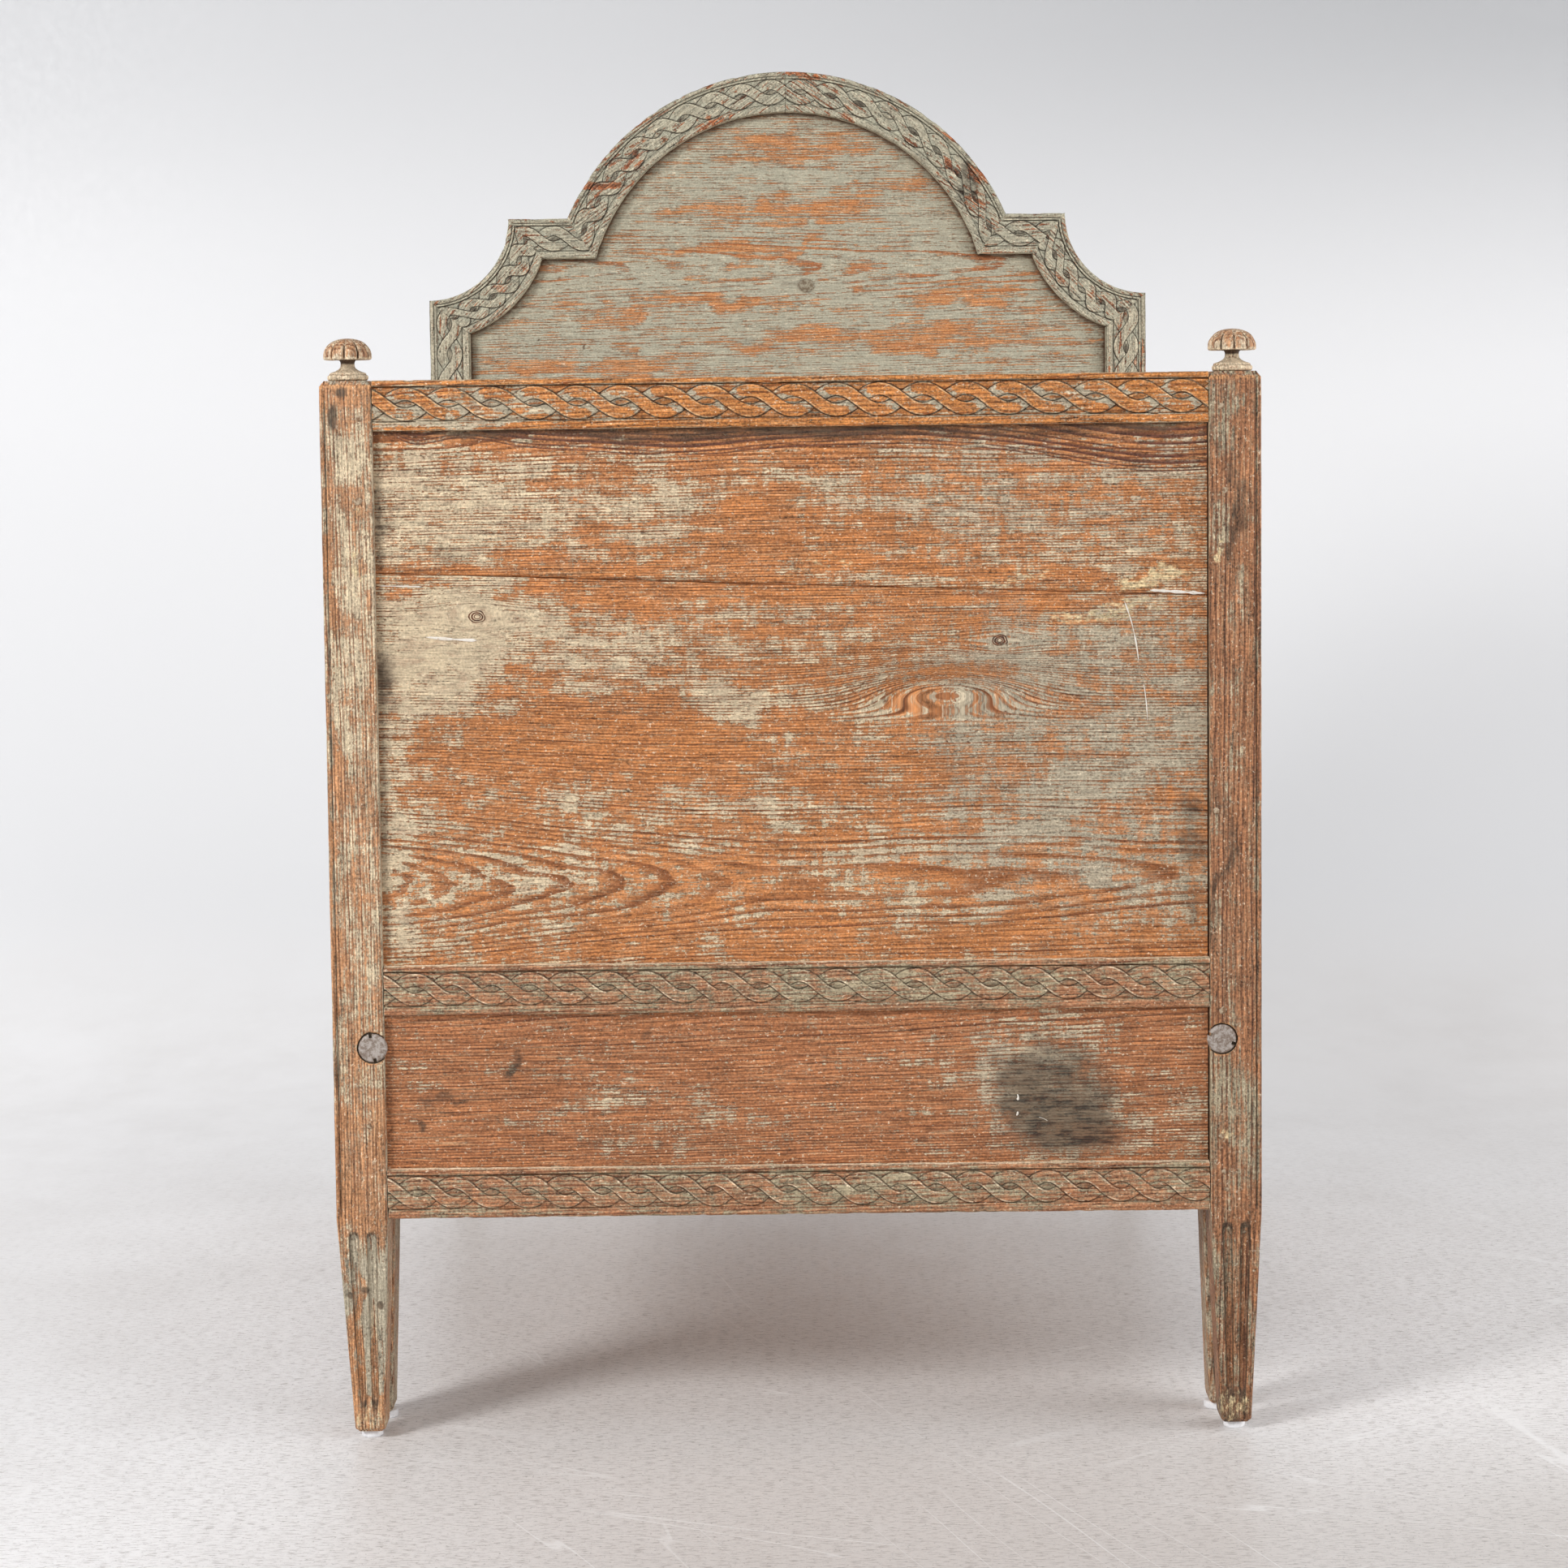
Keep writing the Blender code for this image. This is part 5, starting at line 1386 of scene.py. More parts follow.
@dataclass
class Board:
    """A flat board on the bed's width, between two edges that may slant or curve."""

    front: float
    back: float
    step: float = 0.003
    ease: float = 0.0004

    def between(self, left: float, right: float, low: Callable[[np.ndarray], np.ndarray],
                high: Callable[[np.ndarray], np.ndarray], tall: float, lap: float = 0.0) -> Draft:
        """Make a board whose long edges are curves over its width.

        Args:
            left: Its left end.
            right: Its right end.
            low: Gives its lower edge's height at each x.
            high: Gives its upper edge's height at each x.
            tall: About how tall it is.
            lap: How far its back reaches below its lower edge.

        Returns:
            The draft.
        """
        x = np.linspace(left, right, int((right - left) / self.step) + 1)
        share = np.linspace(0, 1, int(tall / self.step) + 1)
        bottom, top = low(x)[:, None], high(x)[:, None]
        rise = np.concatenate([share, share[::-1][::3]])
        depth = np.concatenate([np.full(len(share), self.front), np.full(len(share[::3]), self.back)])
        depth[0] += self.ease
        depth[len(share) - 1] += self.ease
        z = bottom + (top - bottom) * rise[None, :]
        z[:, len(share):] -= lap * (1 - rise[None, len(share):])
        y = np.broadcast_to(depth, z.shape)
        return loft(np.stack([np.broadcast_to(x[:, None], z.shape), y, z], axis=-1))

    def stacked(self, low: float, high: float, half: Callable[[np.ndarray], np.ndarray], wide: float) -> Draft:
        """Make a board whose ends are curves over its height, alike left and right.

        Args:
            low: Its lower edge.
            high: Its upper edge.
            half: Gives half its width at each height.
            wide: About how wide it is.

        Returns:
            The draft.
        """
        z = np.linspace(low, high, int((high - low) / self.step) + 1)
        share = np.linspace(-1, 1, int(wide / self.step) + 1)
        reach = half(z)[:, None]
        sweep = np.concatenate([share, share[::-1][::3]])
        depth = np.concatenate([np.full(len(share), self.front), np.full(len(share[::3]), self.back)])
        x = reach * sweep[None, :]
        y = np.broadcast_to(depth, x.shape)
        return loft(np.stack([x, y, np.broadcast_to(z[:, None], x.shape)], axis=-1))


@dataclass
class Plank:
    """A plain sawn member, such as a side rail, slat, ledger or runner, in its node's box."""

    node: str
    axis: int
    corner: float = 0.0022
    step: float = 0.010

    def draft(self) -> Draft:
        """Make the plank with round edges along its length.

        Returns:
            The draft.
        """
        low, high = node_box(self.node)
        others = [axis for axis in range(3) if axis != self.axis]
        counts = [max(4, int((high - low)[axis] / 0.006)) for axis in others]
        ease = min(0.2, 1.5 * self.corner / min((high - low)[axis] for axis in others))
        shares = square_shares(counts[0], counts[1], counts[0], counts[1], ease)
        count = int((high - low)[self.axis] / self.step) + 2
        along = np.linspace(low[self.axis], high[self.axis], count)
        ends = np.array([0.0003, 0.0012, 0.003])
        along = np.unique(np.concatenate([along, low[self.axis] + ends, high[self.axis] - ends]))
        inset = self.corner * 0.6 * (
            smooth_step(low[self.axis] + 0.003, low[self.axis], along)
            + smooth_step(high[self.axis] - 0.003, high[self.axis], along)
        )
        corner_low = low[others][None, :] + inset[:, None]
        corner_high = high[others][None, :] - inset[:, None]
        flat = rounded_ring(shares, corner_low, corner_high, np.full(len(along), self.corner))
        rings = np.empty((*flat.shape[:2], 3))
        rings[..., others[0]] = flat[..., 0]
        rings[..., others[1]] = flat[..., 1]
        rings[..., self.axis] = along[:, None]
        return loft(rings)


@dataclass
class Footboard:
    """The sliding foot end: posts, finials, carved rails, panel boards and bed bolts."""

    rail_outer: float = 0.0066
    rail_inner: float = 0.0094
    rail_step: float = 0.0012
    pitches: dict[str, float] = field(default_factory=lambda: {"top": 0.0435, "middle": 0.0393, "bottom": 0.0380})
    bead: float = 0.0052
    quirk_width: float = 0.0009
    quirk_depth: float = 0.0022
    bolt_x: float = 0.434
    bolt_radius: float = 0.0149
    recess_radius: float = 0.0161
    recess_depth: float = 0.0050
    notch_width: float = 0.0035
    notch_depth: float = 0.0042
    seam_gap: float = 0.0009
    heart: float = 1.020
    heart_waves: tuple[tuple[float, float, float], ...] = (
        (-0.43, 0.03, 0.034), (-0.33, 0.045, 0.0115), (-0.115, 0.09, -0.0085), (0.105, 0.05, 0.002),
        (0.385, 0.14, -0.0305),
    )

    def build(self) -> None:
        """Build every piece of the foot end."""
        self.shoulder = float(node_box("foot_bottom_rail")[0][2])
        self.post_low, self.post_high = node_box("foot_post_left")
        self.edge = abs(float(self.post_low[0]))
        self.post = float(self.post_high[0] - self.post_low[0])
        self.clear = self.edge - self.post
        for name in self.pitches:
            self.build_rail(name)
        self.build_boards()
        for name, side in SIDES.items():
            self.build_post(name, side)
            self.build_finial(name, side)
            self.build_bolt(name, side)
            self.build_pegs(name, side)
        self.build_marks()

    def build_rail(self, name: str) -> None:
        """Build a carved rail between the posts.

        Args:
            name: Which rail: top, middle or bottom.
        """
        node = f"foot_{name}_rail"
        low, high = node_box(node)
        tall = float(high[2] - low[2])
        pitch = self.pitches[name]
        half_band = (tall - self.rail_outer - self.rail_inner) / 2
        relief = 1.0 if name == "top" else 0.75
        twist = Guilloche(pitch, half_band - 0.0006, start=-self.clear + 0.012, relief=relief)
        band = CarvedBand(tall, self.rail_outer, self.rail_inner, twist, quirk_depth=0.0008)
        reach = self.clear - GAP
        x = np.linspace(-reach, reach, int(2 * reach / self.rail_step))
        offset = band.offsets()
        places = np.stack([np.repeat(x, len(offset)), np.zeros(len(x) * len(offset)), np.tile(offset, len(x))], -1)
        hand = 1 + 0.12 * value_noise(places, 0.05, 8)
        wander = 0.0006 * value_noise(places, 0.03, 9)
        along, across = places[:, 0] + wander, places[:, 2] + wander * 0.5
        depth = band.depth(along, across) * hand
        front = np.stack([places[:, 0], low[1] + depth, high[2] - places[:, 2]], -1).reshape(len(x), -1, 3)
        back = np.empty((len(x), 6, 3))
        back[..., 0] = x[:, None]
        back[..., 1] = high[1]
        back[..., 2] = np.linspace(low[2], high[2], 6)
        made = loft(np.concatenate([front, back], axis=1)).piece(f"{node}.wood")
        face = float(low[1])
        coats = {
            "top": Coat(0.22, 0.45, face=face, sunk_paint=0.5, deep_grime_and_shade=0.35, patches=(
                Patch(Mark.PAINT, -0.32, 1.062, 0.16, 0.03, 0.24), Patch(Mark.PAINT, 0.30, 1.06, 0.12, 0.03, 0.12),
                Patch(Mark.PAINT, -0.36, 1.047, 0.12, 0.005, 0.3),
            )),
            "middle": Coat(0.44, 0.7, face=face, sunk_depth=0.0015, sunk_paint=0.1, sunk_hue=0.1, deep_grime_and_shade=0.2),
            "bottom": Coat(0.40, 0.75, face=face, sunk_depth=0.0015, sunk_paint=0.1, sunk_hue=0.1, deep_grime_and_shade=0.2),
        }
        finish = RAIL_PAINT if name == "top" else LOW_RAIL_PAINT
        piece = Piece(made, FOOT, "painted_pine", (node,))
        wear = Wear(edge_reach=0.0012, chips=0.0009, warp=0.0002)
        twist = band.places(along.reshape(len(x), -1), across.reshape(len(x), -1), back.shape[1])
        timber = Timber(heart_across=0.05, heart_depth=0.03)
        piece.dress(finish, timber, coats[name], wear, 10 + len(name), twist=twist)

    def seam(self, x: np.ndarray) -> np.ndarray:
        """Return the height of the slanted seam between the upper and the main board."""
        high = float(node_box("foot_board_main")[1][2])
        low = float(node_box("foot_board_upper")[0][2])
        return lerp(high, low, (x + self.clear) / (2 * self.clear))

    def crack(self, x: np.ndarray, seed: int) -> np.ndarray:
        """Return how far the seam's edge is broken away at each x."""
        places = np.stack([x, x * 0, x * 0], axis=-1)
        ragged = np.abs(value_noise(places, 0.06, seed)) + 0.4 * np.abs(value_noise(places, 0.012, seed + 1))
        return self.seam_gap * (0.3 + ragged) * (1 + 1.2 * bell(x + 0.16, 0.17))

    def build_boards(self) -> None:
        """Build the upper, main and lower panel boards."""
        low, high = node_box("foot_board_main")
        board = Board(float(low[1]), float(high[1]), step=0.0028)
        top = float(node_box("foot_top_rail")[0][2])
        middle_low, middle_high = node_box("foot_middle_rail")
        bottom = float(node_box("foot_bottom_rail")[1][2])
        lap = 0.0006
        left, right = -self.clear - lap, self.clear - 0.0012
        upper = board.between(left, right, lambda x: self.seam(x) + self.crack(x, 31),
                              lambda x: np.full_like(x, top + lap), 0.16, lap=0.009)
        main = board.between(left, right, lambda x: np.full_like(x, middle_high[2] - lap),
                             lambda x: self.seam(x) - self.crack(x, 33), 0.39)
        lower = board.between(left, right, lambda x: np.full_like(x, bottom - lap),
                              lambda x: np.full_like(x, middle_low[2] + lap), 0.16)
        upper_coat = Coat(0.48, 0.30, patches=(
            Patch(Mark.PAINT, -0.35, 0.97, 0.12, 0.06, 0.24), Patch(Mark.DARK, -0.35, 0.96, 0.10, 0.05, 0.14),
            # Painted shadow with dirt: a dark strip along the left edge, beside the post.
            Patch(Mark.DARK, -0.419, 0.95, 0.010, 0.10, 0.45),
            Patch(Mark.PAINT, -0.14, 0.945, 0.06, 0.05, 0.12),
            Patch(Mark.PAINT, 0.02, 0.93, 0.14, 0.03, -0.22),
            Patch(Mark.HUE, 0.25, 0.98, 0.22, 0.08, 0.32), Patch(Mark.PAINT, 0.28, 0.98, 0.18, 0.06, 0.07),
            # Soot and grime with a painted shadow: the smoke patches at z 1.037 and the wide dark patch at z 1.038 make
            # the band just under the top rail.
            Patch(Mark.PAINT, 0.0, 1.035, 0.42, 0.014, -0.30), Patch(Mark.SMOKE, 0.02, 1.037, 0.17, 0.007, 0.6, 0.3),
            Patch(Mark.SMOKE, -0.32, 1.038, 0.05, 0.006, 0.7, 0.3), Patch(Mark.SMOKE, 0.36, 1.037, 0.06, 0.008, 0.6, 0.3),
            Patch(Mark.DARK, -0.335, 0.912, 0.02, 0.014, 0.4), Patch(Mark.DARK, 0.0, 1.038, 0.5, 0.016, 0.7, 0.3),
            Patch(Mark.PAINT, 0.0, 0.895, 0.42, 0.008, -0.25),
            Patch(Mark.PALE, 0.03, 0.898, 0.06, 0.012, 0.35),
            Patch(Mark.PALE, 0.24, 0.886, 0.06, 0.010, 0.4),
            Patch(Mark.PALE, 0.37, 0.884, 0.05, 0.014, 0.6),
        ))
        main_coat = Coat(0.43, 0.35, patches=(
            Patch(Mark.PAINT, -0.408, 0.65, 0.028, 0.2, 0.22), Patch(Mark.PAINT, 0.0, 0.80, 0.12, 0.05, 0.1),
            Patch(Mark.PAINT, -0.355, 0.84, 0.092, 0.055, 0.62), Patch(Mark.PAINT, -0.375, 0.785, 0.06, 0.035, 0.42),
            Patch(Mark.PAINT, -0.20, 0.825, 0.10, 0.035, 0.24),
            Patch(Mark.PAINT, -0.17, 0.72, 0.17, 0.045, -0.26),
            Patch(Mark.PAINT, -0.06, 0.755, 0.07, 0.02, 0.28),
            Patch(Mark.PAINT, 0.0, 0.655, 0.07, 0.04, 0.05), Patch(Mark.PAINT, 0.15, 0.69, 0.10, 0.03, -0.1),
            Patch(Mark.PAINT, 0.28, 0.72, 0.16, 0.15, 0.2),
            Patch(Mark.PAINT, -0.30, 0.56, 0.12, 0.07, 0.10),
            Patch(Mark.PAINT, 0.08, 0.56, 0.14, 0.035, 0.10),
            Patch(Mark.PAINT, 0.0, 0.518, 0.40, 0.02, -0.14),
            Patch(Mark.PAINT, 0.0, 0.872, 0.42, 0.010, -0.22),
            Patch(Mark.HUE, 0.30, 0.70, 0.2, 0.22, 0.50),
            Patch(Mark.PALE, 0.33, 0.855, 0.09, 0.012, 0.5),
            Patch(Mark.PALE, 0.05, 0.868, 0.12, 0.008, 0.25),
            Patch(Mark.SMOKE, 0.406, 0.645, 0.018, 0.017, 0.65, 0.3),
            Patch(Mark.SMOKE, 0.404, 0.609, 0.019, 0.021, 0.75, 0.3),
            Patch(Mark.SMOKE, 0.407, 0.555, 0.014, 0.034, 0.5, 0.6),
            # Painted shadow with dirt: dark strips along the left edge, beside the post.
            Patch(Mark.DARK, -0.412, 0.80, 0.016, 0.03, 0.45), Patch(Mark.DARK, -0.418, 0.68, 0.014, 0.20, 0.4),
            Patch(Mark.DARK, -0.36, 0.60, 0.06, 0.06, 0.16), Patch(Mark.DARK, 0.10, 0.80, 0.10, 0.04, 0.14),
        ))
        lower_coat = Coat(0.28, 0.40, dark=0.12, patches=(
            Patch(Mark.PAINT, 0.248, 0.36, 0.088, 0.085, 0.30, 0.4), Patch(Mark.HUE, 0.25, 0.355, 0.1, 0.08, 0.25),
            Patch(Mark.SMOKE, 0.264, 0.352, 0.078, 0.074, 0.78, 0.35),
            Patch(Mark.SMOKE, 0.275, 0.322, 0.036, 0.028, 0.5, 0.3),
            Patch(Mark.SMOKE, 0.306, 0.316, 0.044, 0.024, 0.35, 0.4),
            Patch(Mark.SMOKE, 0.222, 0.36, 0.03, 0.04, 0.25, 0.3),
            Patch(Mark.DARK, -0.293, 0.385, 0.010, 0.022, 0.7),
            Patch(Mark.DARK, -0.393, 0.324, 0.010, 0.010, 0.7),
            Patch(Mark.DARK, -0.37, 0.359, 0.05, 0.006, 0.5),
            Patch(Mark.DARK, -0.14, 0.305, 0.008, 0.010, 0.5),
            Patch(Mark.DARK, -0.15, 0.428, 0.010, 0.010, 0.5),
            Patch(Mark.PAINT, 0.10, 0.40, 0.12, 0.03, 0.08),
            Patch(Mark.PAINT, -0.15, 0.36, 0.1, 0.02, 0.12), Patch(Mark.PAINT, 0.36, 0.33, 0.06, 0.05, 0.16),
        ))
        wear = Wear(chips=0.0, warp=0.0005, warp_size=0.05, rubbed=0.0)
        for index, (name, draft, coat, timber) in enumerate((
            ("upper", upper, upper_coat, Timber(heart_across=0.085, heart_depth=0.022, tilt=0.012)),
            ("main", main, main_coat, Timber(heart_across=-0.12, heart_depth=0.06, tilt=0.004, swell=(-0.50, -0.02, 0.026), bumps=(
                (0.156, 0.773, 0.085, 0.022, -0.034, 0.0), (-0.320, 0.851, 0.036, 0.016, 0.0, -0.013),
                (0.210, 0.821, 0.036, 0.014, 0.0, -0.011)))),
            ("lower", lower, lower_coat, Timber(heart_across=0.12, heart_depth=0.09, tilt=0.02)),
        )):
            node = f"foot_board_{name}"
            piece = Piece(draft.piece(f"{node}.wood"), FOOT, "painted_pine", (node,))
            finish = {"upper": UPPER_PAINT, "main": PANEL_PAINT, "lower": LOWER_PAINT}[name]
            piece.dress(finish, timber, coat, wear, 20 + index)
            if name == "upper":
                surface = Surface(piece.made)
                x, z = surface.points[:, 0], surface.points[:, 2]
                curve = self.heart + sum(rise * bell(x - middle, wide) for middle, wide, rise in self.heart_waves)
                surface.store("heart", 1 + HEART_SCALE * (z - curve))

    def build_post(self, name: str, side: int) -> None:
        """Build a foot post with its leg, edge bead and bolt recess.

        Args:
            name: The side's name.
            side: -1 for the left, 1 for the right.
        """
        node = f"foot_post_{name}"
        leg = FlutedLeg() if name == "left" else FlutedLeg(taper_outer=0.010, taper_inner=0.0115)
        post = Upright(node, side, self.shoulder, leg)
        heights = post.heights()
        shares, rings = post.rings(heights)
        front = shares[:, 1] == 0
        above = smooth_step(self.shoulder - 0.004, self.shoulder + 0.006, heights)[:, None]
        line = bell(rings[:, front, 0] - self.bead, self.quirk_width)
        rings[:, front, 1] += self.quirk_depth * line * above
        made = loft(post.place(rings, heights)).piece(f"{node}.wood")
        bolt_low, bolt_high = node_box(f"bed_bolt_{name}")
        middle = (bolt_low + bolt_high) / 2
        reach = 0.02
        cut(made, turned([(self.recess_radius, -reach), (self.recess_radius, self.recess_depth)], 64,
                         (side * self.bolt_x, float(post.low[1]), float(middle[2])), "y"))
        x = float(middle[0])
        coats = {
            "left": Coat(0.53, 0.30, face=float(post.low[1]), sunk_depth=0.0022, deep_paint=1.0, sunk_hue=0.6, patches=(
                Patch(Mark.PAINT, -0.4725, 0.66, 0.006, 0.8, -0.4),
                Patch(Mark.PAINT, x, 0.80, 0.05, 0.16, 0.10), Patch(Mark.SMOKE, -0.4525, 1.077, 0.007, 0.006, 1.1, 0.3),
                Patch(Mark.SMOKE, -0.4585, 1.055, 0.006, 0.014, 1.2, 0.3), Patch(Mark.PAINT, -0.447, 1.078, 0.03, 0.016, -0.4),
                Patch(Mark.PAINT, -0.437, 1.02, 0.014, 0.04, 0.3), Patch(Mark.PAINT, -0.4615, 0.10, 0.007, 0.12, -0.6),
                Patch(Mark.SMOKE, -0.4497, 0.1586, 0.005, 0.004, 1.2, 0.2), Patch(Mark.SMOKE, -0.4656, 0.153, 0.004, 0.004, 1.2, 0.2),
                Patch(Mark.SMOKE, -0.4333, 0.142, 0.004, 0.005, 1.2, 0.2),
                Patch(Mark.PALE, -0.445, 0.026, 0.03, 0.02, 0.38), Patch(Mark.PALE, -0.464, 0.11, 0.005, 0.09, 0.3),
                Patch(Mark.DARK, -0.47, 0.40, 0.012, 0.03, 0.45), Patch(Mark.PAINT, -0.445, 0.33, 0.04, 0.1, -0.12),
                Patch(Mark.PALE, -0.437, 0.955, 0.006, 0.012, 0.5), Patch(Mark.PALE, -0.437, 0.89, 0.007, 0.03, 0.5),
                Patch(Mark.PAINT, -0.44, 0.06, 0.05, 0.07, -0.25),
                Patch(Mark.PALE, -0.44, 0.385, 0.012, 0.012, 0.4),
            )),
            "right": Coat(0.28, 0.6, dark=0.24, face=float(post.low[1]), sunk_depth=0.0022, deep_paint=1.0,
                          sunk_hue=0.6, patches=(
                Patch(Mark.PAINT, 0.4725, 0.66, 0.006, 0.8, -0.4),
                Patch(Mark.PAINT, 0.45, 1.04, 0.02, 0.04, 0.25), Patch(Mark.HUE, 0.45, 1.04, 0.03, 0.06, 0.3),
                Patch(Mark.DARK, 0.452, 0.93, 0.01, 0.05, 0.4), Patch(Mark.PALE, 0.434, 0.912, 0.006, 0.012, 0.6),
                Patch(Mark.DARK, 0.43, 0.60, 0.006, 0.08, 0.4), Patch(Mark.PAINT, 0.44, 0.30, 0.04, 0.12, 0.08),
                Patch(Mark.PALE, 0.45, 0.026, 0.04, 0.022, 0.42), Patch(Mark.DARK, 0.45, 0.020, 0.04, 0.024, 0.4),
                Patch(Mark.PALE, 0.4725, 0.18, 0.004, 0.12, 0.3), Patch(Mark.PALE, 0.434, 0.31, 0.010, 0.009, 0.5, 0.3),
                Patch(Mark.HUE, 0.44, 0.33, 0.05, 0.12, 0.3), Patch(Mark.PAINT, 0.44, 0.36, 0.04, 0.06, 0.16),
                Patch(Mark.DARK, 0.44, 0.10, 0.05, 0.12, 0.08), Patch(Mark.PAINT, 0.44, 0.10, 0.05, 0.12, -0.14),
                Patch(Mark.SMOKE, 0.452, 0.985, 0.012, 0.03, 0.5),
            )),
        }
        timber = Timber(Grain.HEIGHT.value, heart_across=0.15 * side, heart_depth=0.06, tilt=0.012)
        piece = Piece(made, FOOT, "painted_pine", (node,))
        finish = POST_PAINT if name == "left" else RIGHT_POST_PAINT
        piece.dress(finish, timber, coats[name], Wear(chips=0.0016), 30 + side, dirt_and_shade=post.dirt_and_shade)
        self.build_pad(f"foot_pad_{name}", FOOT, shift=0.004 if name == "right" else 0.0)

    @staticmethod
    def build_pad(node: str, body: str, shift: float = 0.0) -> None:
        """Build a white floor pad with round rims, shifted as its leg leans."""
        low, high = node_box(node)
        middle = (low + high) / 2 + np.array([shift, 0.0, 0.0])
        radius, tall = float(high[0] - low[0]) / 2, float(high[2] - low[2])
        rim = 0.0016
        profile = [(radius * 0.4, 0.0), (radius - rim, 0.0)]
        for step in range(1, 6):
            angle = math.pi / 2 * step / 5
            profile.append((radius - rim + rim * math.sin(angle), rim - rim * math.cos(angle)))
        profile += [(radius, tall - rim), (radius - rim * 0.4, tall - rim * 0.3), (radius - rim, tall), (radius * 0.4, tall)]
        draft = turned(profile, 48, (float(middle[0]), float(middle[1]), float(low[2])), "z")
        Piece(draft.piece(f"{node}.pad"), body, "white_pad", (node,)).coat_with(WHITE_PAD)

    def build_finial(self, name: str, side: int) -> None:
        """Build a turned finial with a ribbed mushroom cap.

        Args:
            name: The side's name.
            side: -1 for the left, 1 for the right.
        """
        node = f"finial_{name}"
        low, high = node_box(node)
        middle = (low + high) / 2
        foot = float(self.post_high[2]) + GAP
        tall = float(high[2]) - foot
        base, lobes = 0.0205, 10
        profile = [(base * 0.5, 0.0), (base - 0.0012, 0.0), (base, 0.0012), (base + 0.0003, 0.0030), (base, 0.0048),
                   (base - 0.0010, 0.0056), (base - 0.0018, 0.0059), (base - 0.0016, 0.0066), (base - 0.0022, 0.0076),
                   (base - 0.0042, 0.0084)]
        for step in range(1, 9):
            share = step / 8
            profile.append((0.0072 + 0.0086 * (1 - share) ** 2.4, 0.0084 + 0.0072 * share))
        profile += [(0.0070, 0.0172), (0.0074, 0.0192), (0.0085, 0.0206), (0.0120, 0.0213), (0.0180, 0.0212)]
        plain = len(profile)
        cap = 0.0245
        lip = 0.0208
        profile += [(cap - 0.0022, lip), (cap - 0.0006, lip + 0.0006), (cap, lip + 0.0020), (cap - 0.0001, lip + 0.0040)]
        for step in range(1, 15):
            angle = math.pi / 2 * step / 15
            profile.append((cap * math.cos(angle) ** 0.85, lip + 0.0040 + (tall - lip - 0.0040) * math.sin(angle)))
        profile.append((0.0012, tall))
        ends = len(profile)

        first = math.radians(-91)

        def rib(angles: np.ndarray, index: int) -> np.ndarray:
            """Return the radius factor of the cap's ribs at one outline point."""
            if index < plain:
                return np.ones_like(angles)
            fade = smooth_step(ends - 1, ends - 7, np.array(float(index)))
            return 1 - 0.17 * fade * (1 - np.abs(np.sin(lobes / 2 * (angles - first)))) ** 4

        draft = turned(profile, 192, (float(middle[0]), float(middle[1]), foot), "z", rib)
        made = draft.piece(f"{node}.wood")
        piece = Piece(made, FOOT, "painted_pine", (node,))
        coat = Coat(0.72, 0.1, patches=(Patch(Mark.PAINT, float(middle[0]), foot + 0.008, 0.04, 0.016, 0.3),
                                        Patch(Mark.HUE, float(middle[0]), foot + 0.008, 0.04, 0.014, 0.3)))
        wear = Wear(edge_reach=0.0010, rub_reach=0.0025, chips=0.0005, chip_size=0.006, warp=0.0001)
        piece.dress(FINIAL_PAINT, Timber(Grain.HEIGHT.value, heart_depth=0.02), coat, wear, 40 + side)

    def build_bolt(self, name: str, side: int) -> None:
        """Build a bed bolt with a notched head, and dress its nut.

        Args:
            name: The side's name.
            side: -1 for the left, 1 for the right.
        """
        node = f"bed_bolt_{name}"
        low, high = node_box(node)
        middle = (low + high) / 2
        radius = self.bolt_radius
        long = float(high[1] - low[1])
        thick, shank = 0.004, 0.0045
        profile = [(radius * 0.25, 0.0), (radius * 0.6, 0.00005), (radius * 0.85, 0.00015), (radius - 0.0012, 0.0003),
                   (radius - 0.0004, 0.0008), (radius, 0.0016), (radius, thick - 0.0004), (radius - 0.0006, thick),
                   (shank, thick), (shank, long - 0.001), (shank - 0.001, long)]
        centre = (side * self.bolt_x, float(low[1]), float(middle[2]))
        made = turned(profile, 72, centre, "y").piece(f"{node}.iron")
        turn = {"left": math.radians(100), "right": math.radians(-22)}[name]
        for way in (0, math.pi):
            out = Vector((math.cos(turn + way), 0.0, math.sin(turn + way)))
            beside = Vector((-out.z, 0.0, out.x)) * self.notch_width / 2
            near = Vector(centre) + out * (radius - self.notch_depth)
            far = Vector(centre) + out * (radius + 0.004)
            ring = [near - beside, far - beside, far + beside, near + beside]
            rings = np.array([[point + Vector((0, depth, 0)) for point in ring] for depth in (-0.003, thick + 0.002)])
            cut(made, loft(rings))
        made.data.shade_smooth()
        made.data.set_sharp_from_angle(angle=math.radians(35))
        Piece(made, FOOT, "painted_iron", (node,)).coat_with(IRON)
        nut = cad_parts[f"bed_nut_{name}"]
        nut.data.materials.clear()
        nut.data.materials.append(NUT_IRON.material())
        weld = nut.modifiers.new("weld", "WELD")
        weld.merge_threshold = 0.00005
        soften = nut.modifiers.new("soften", "BEVEL")
        soften.width = 0.0008
        soften.segments = 3

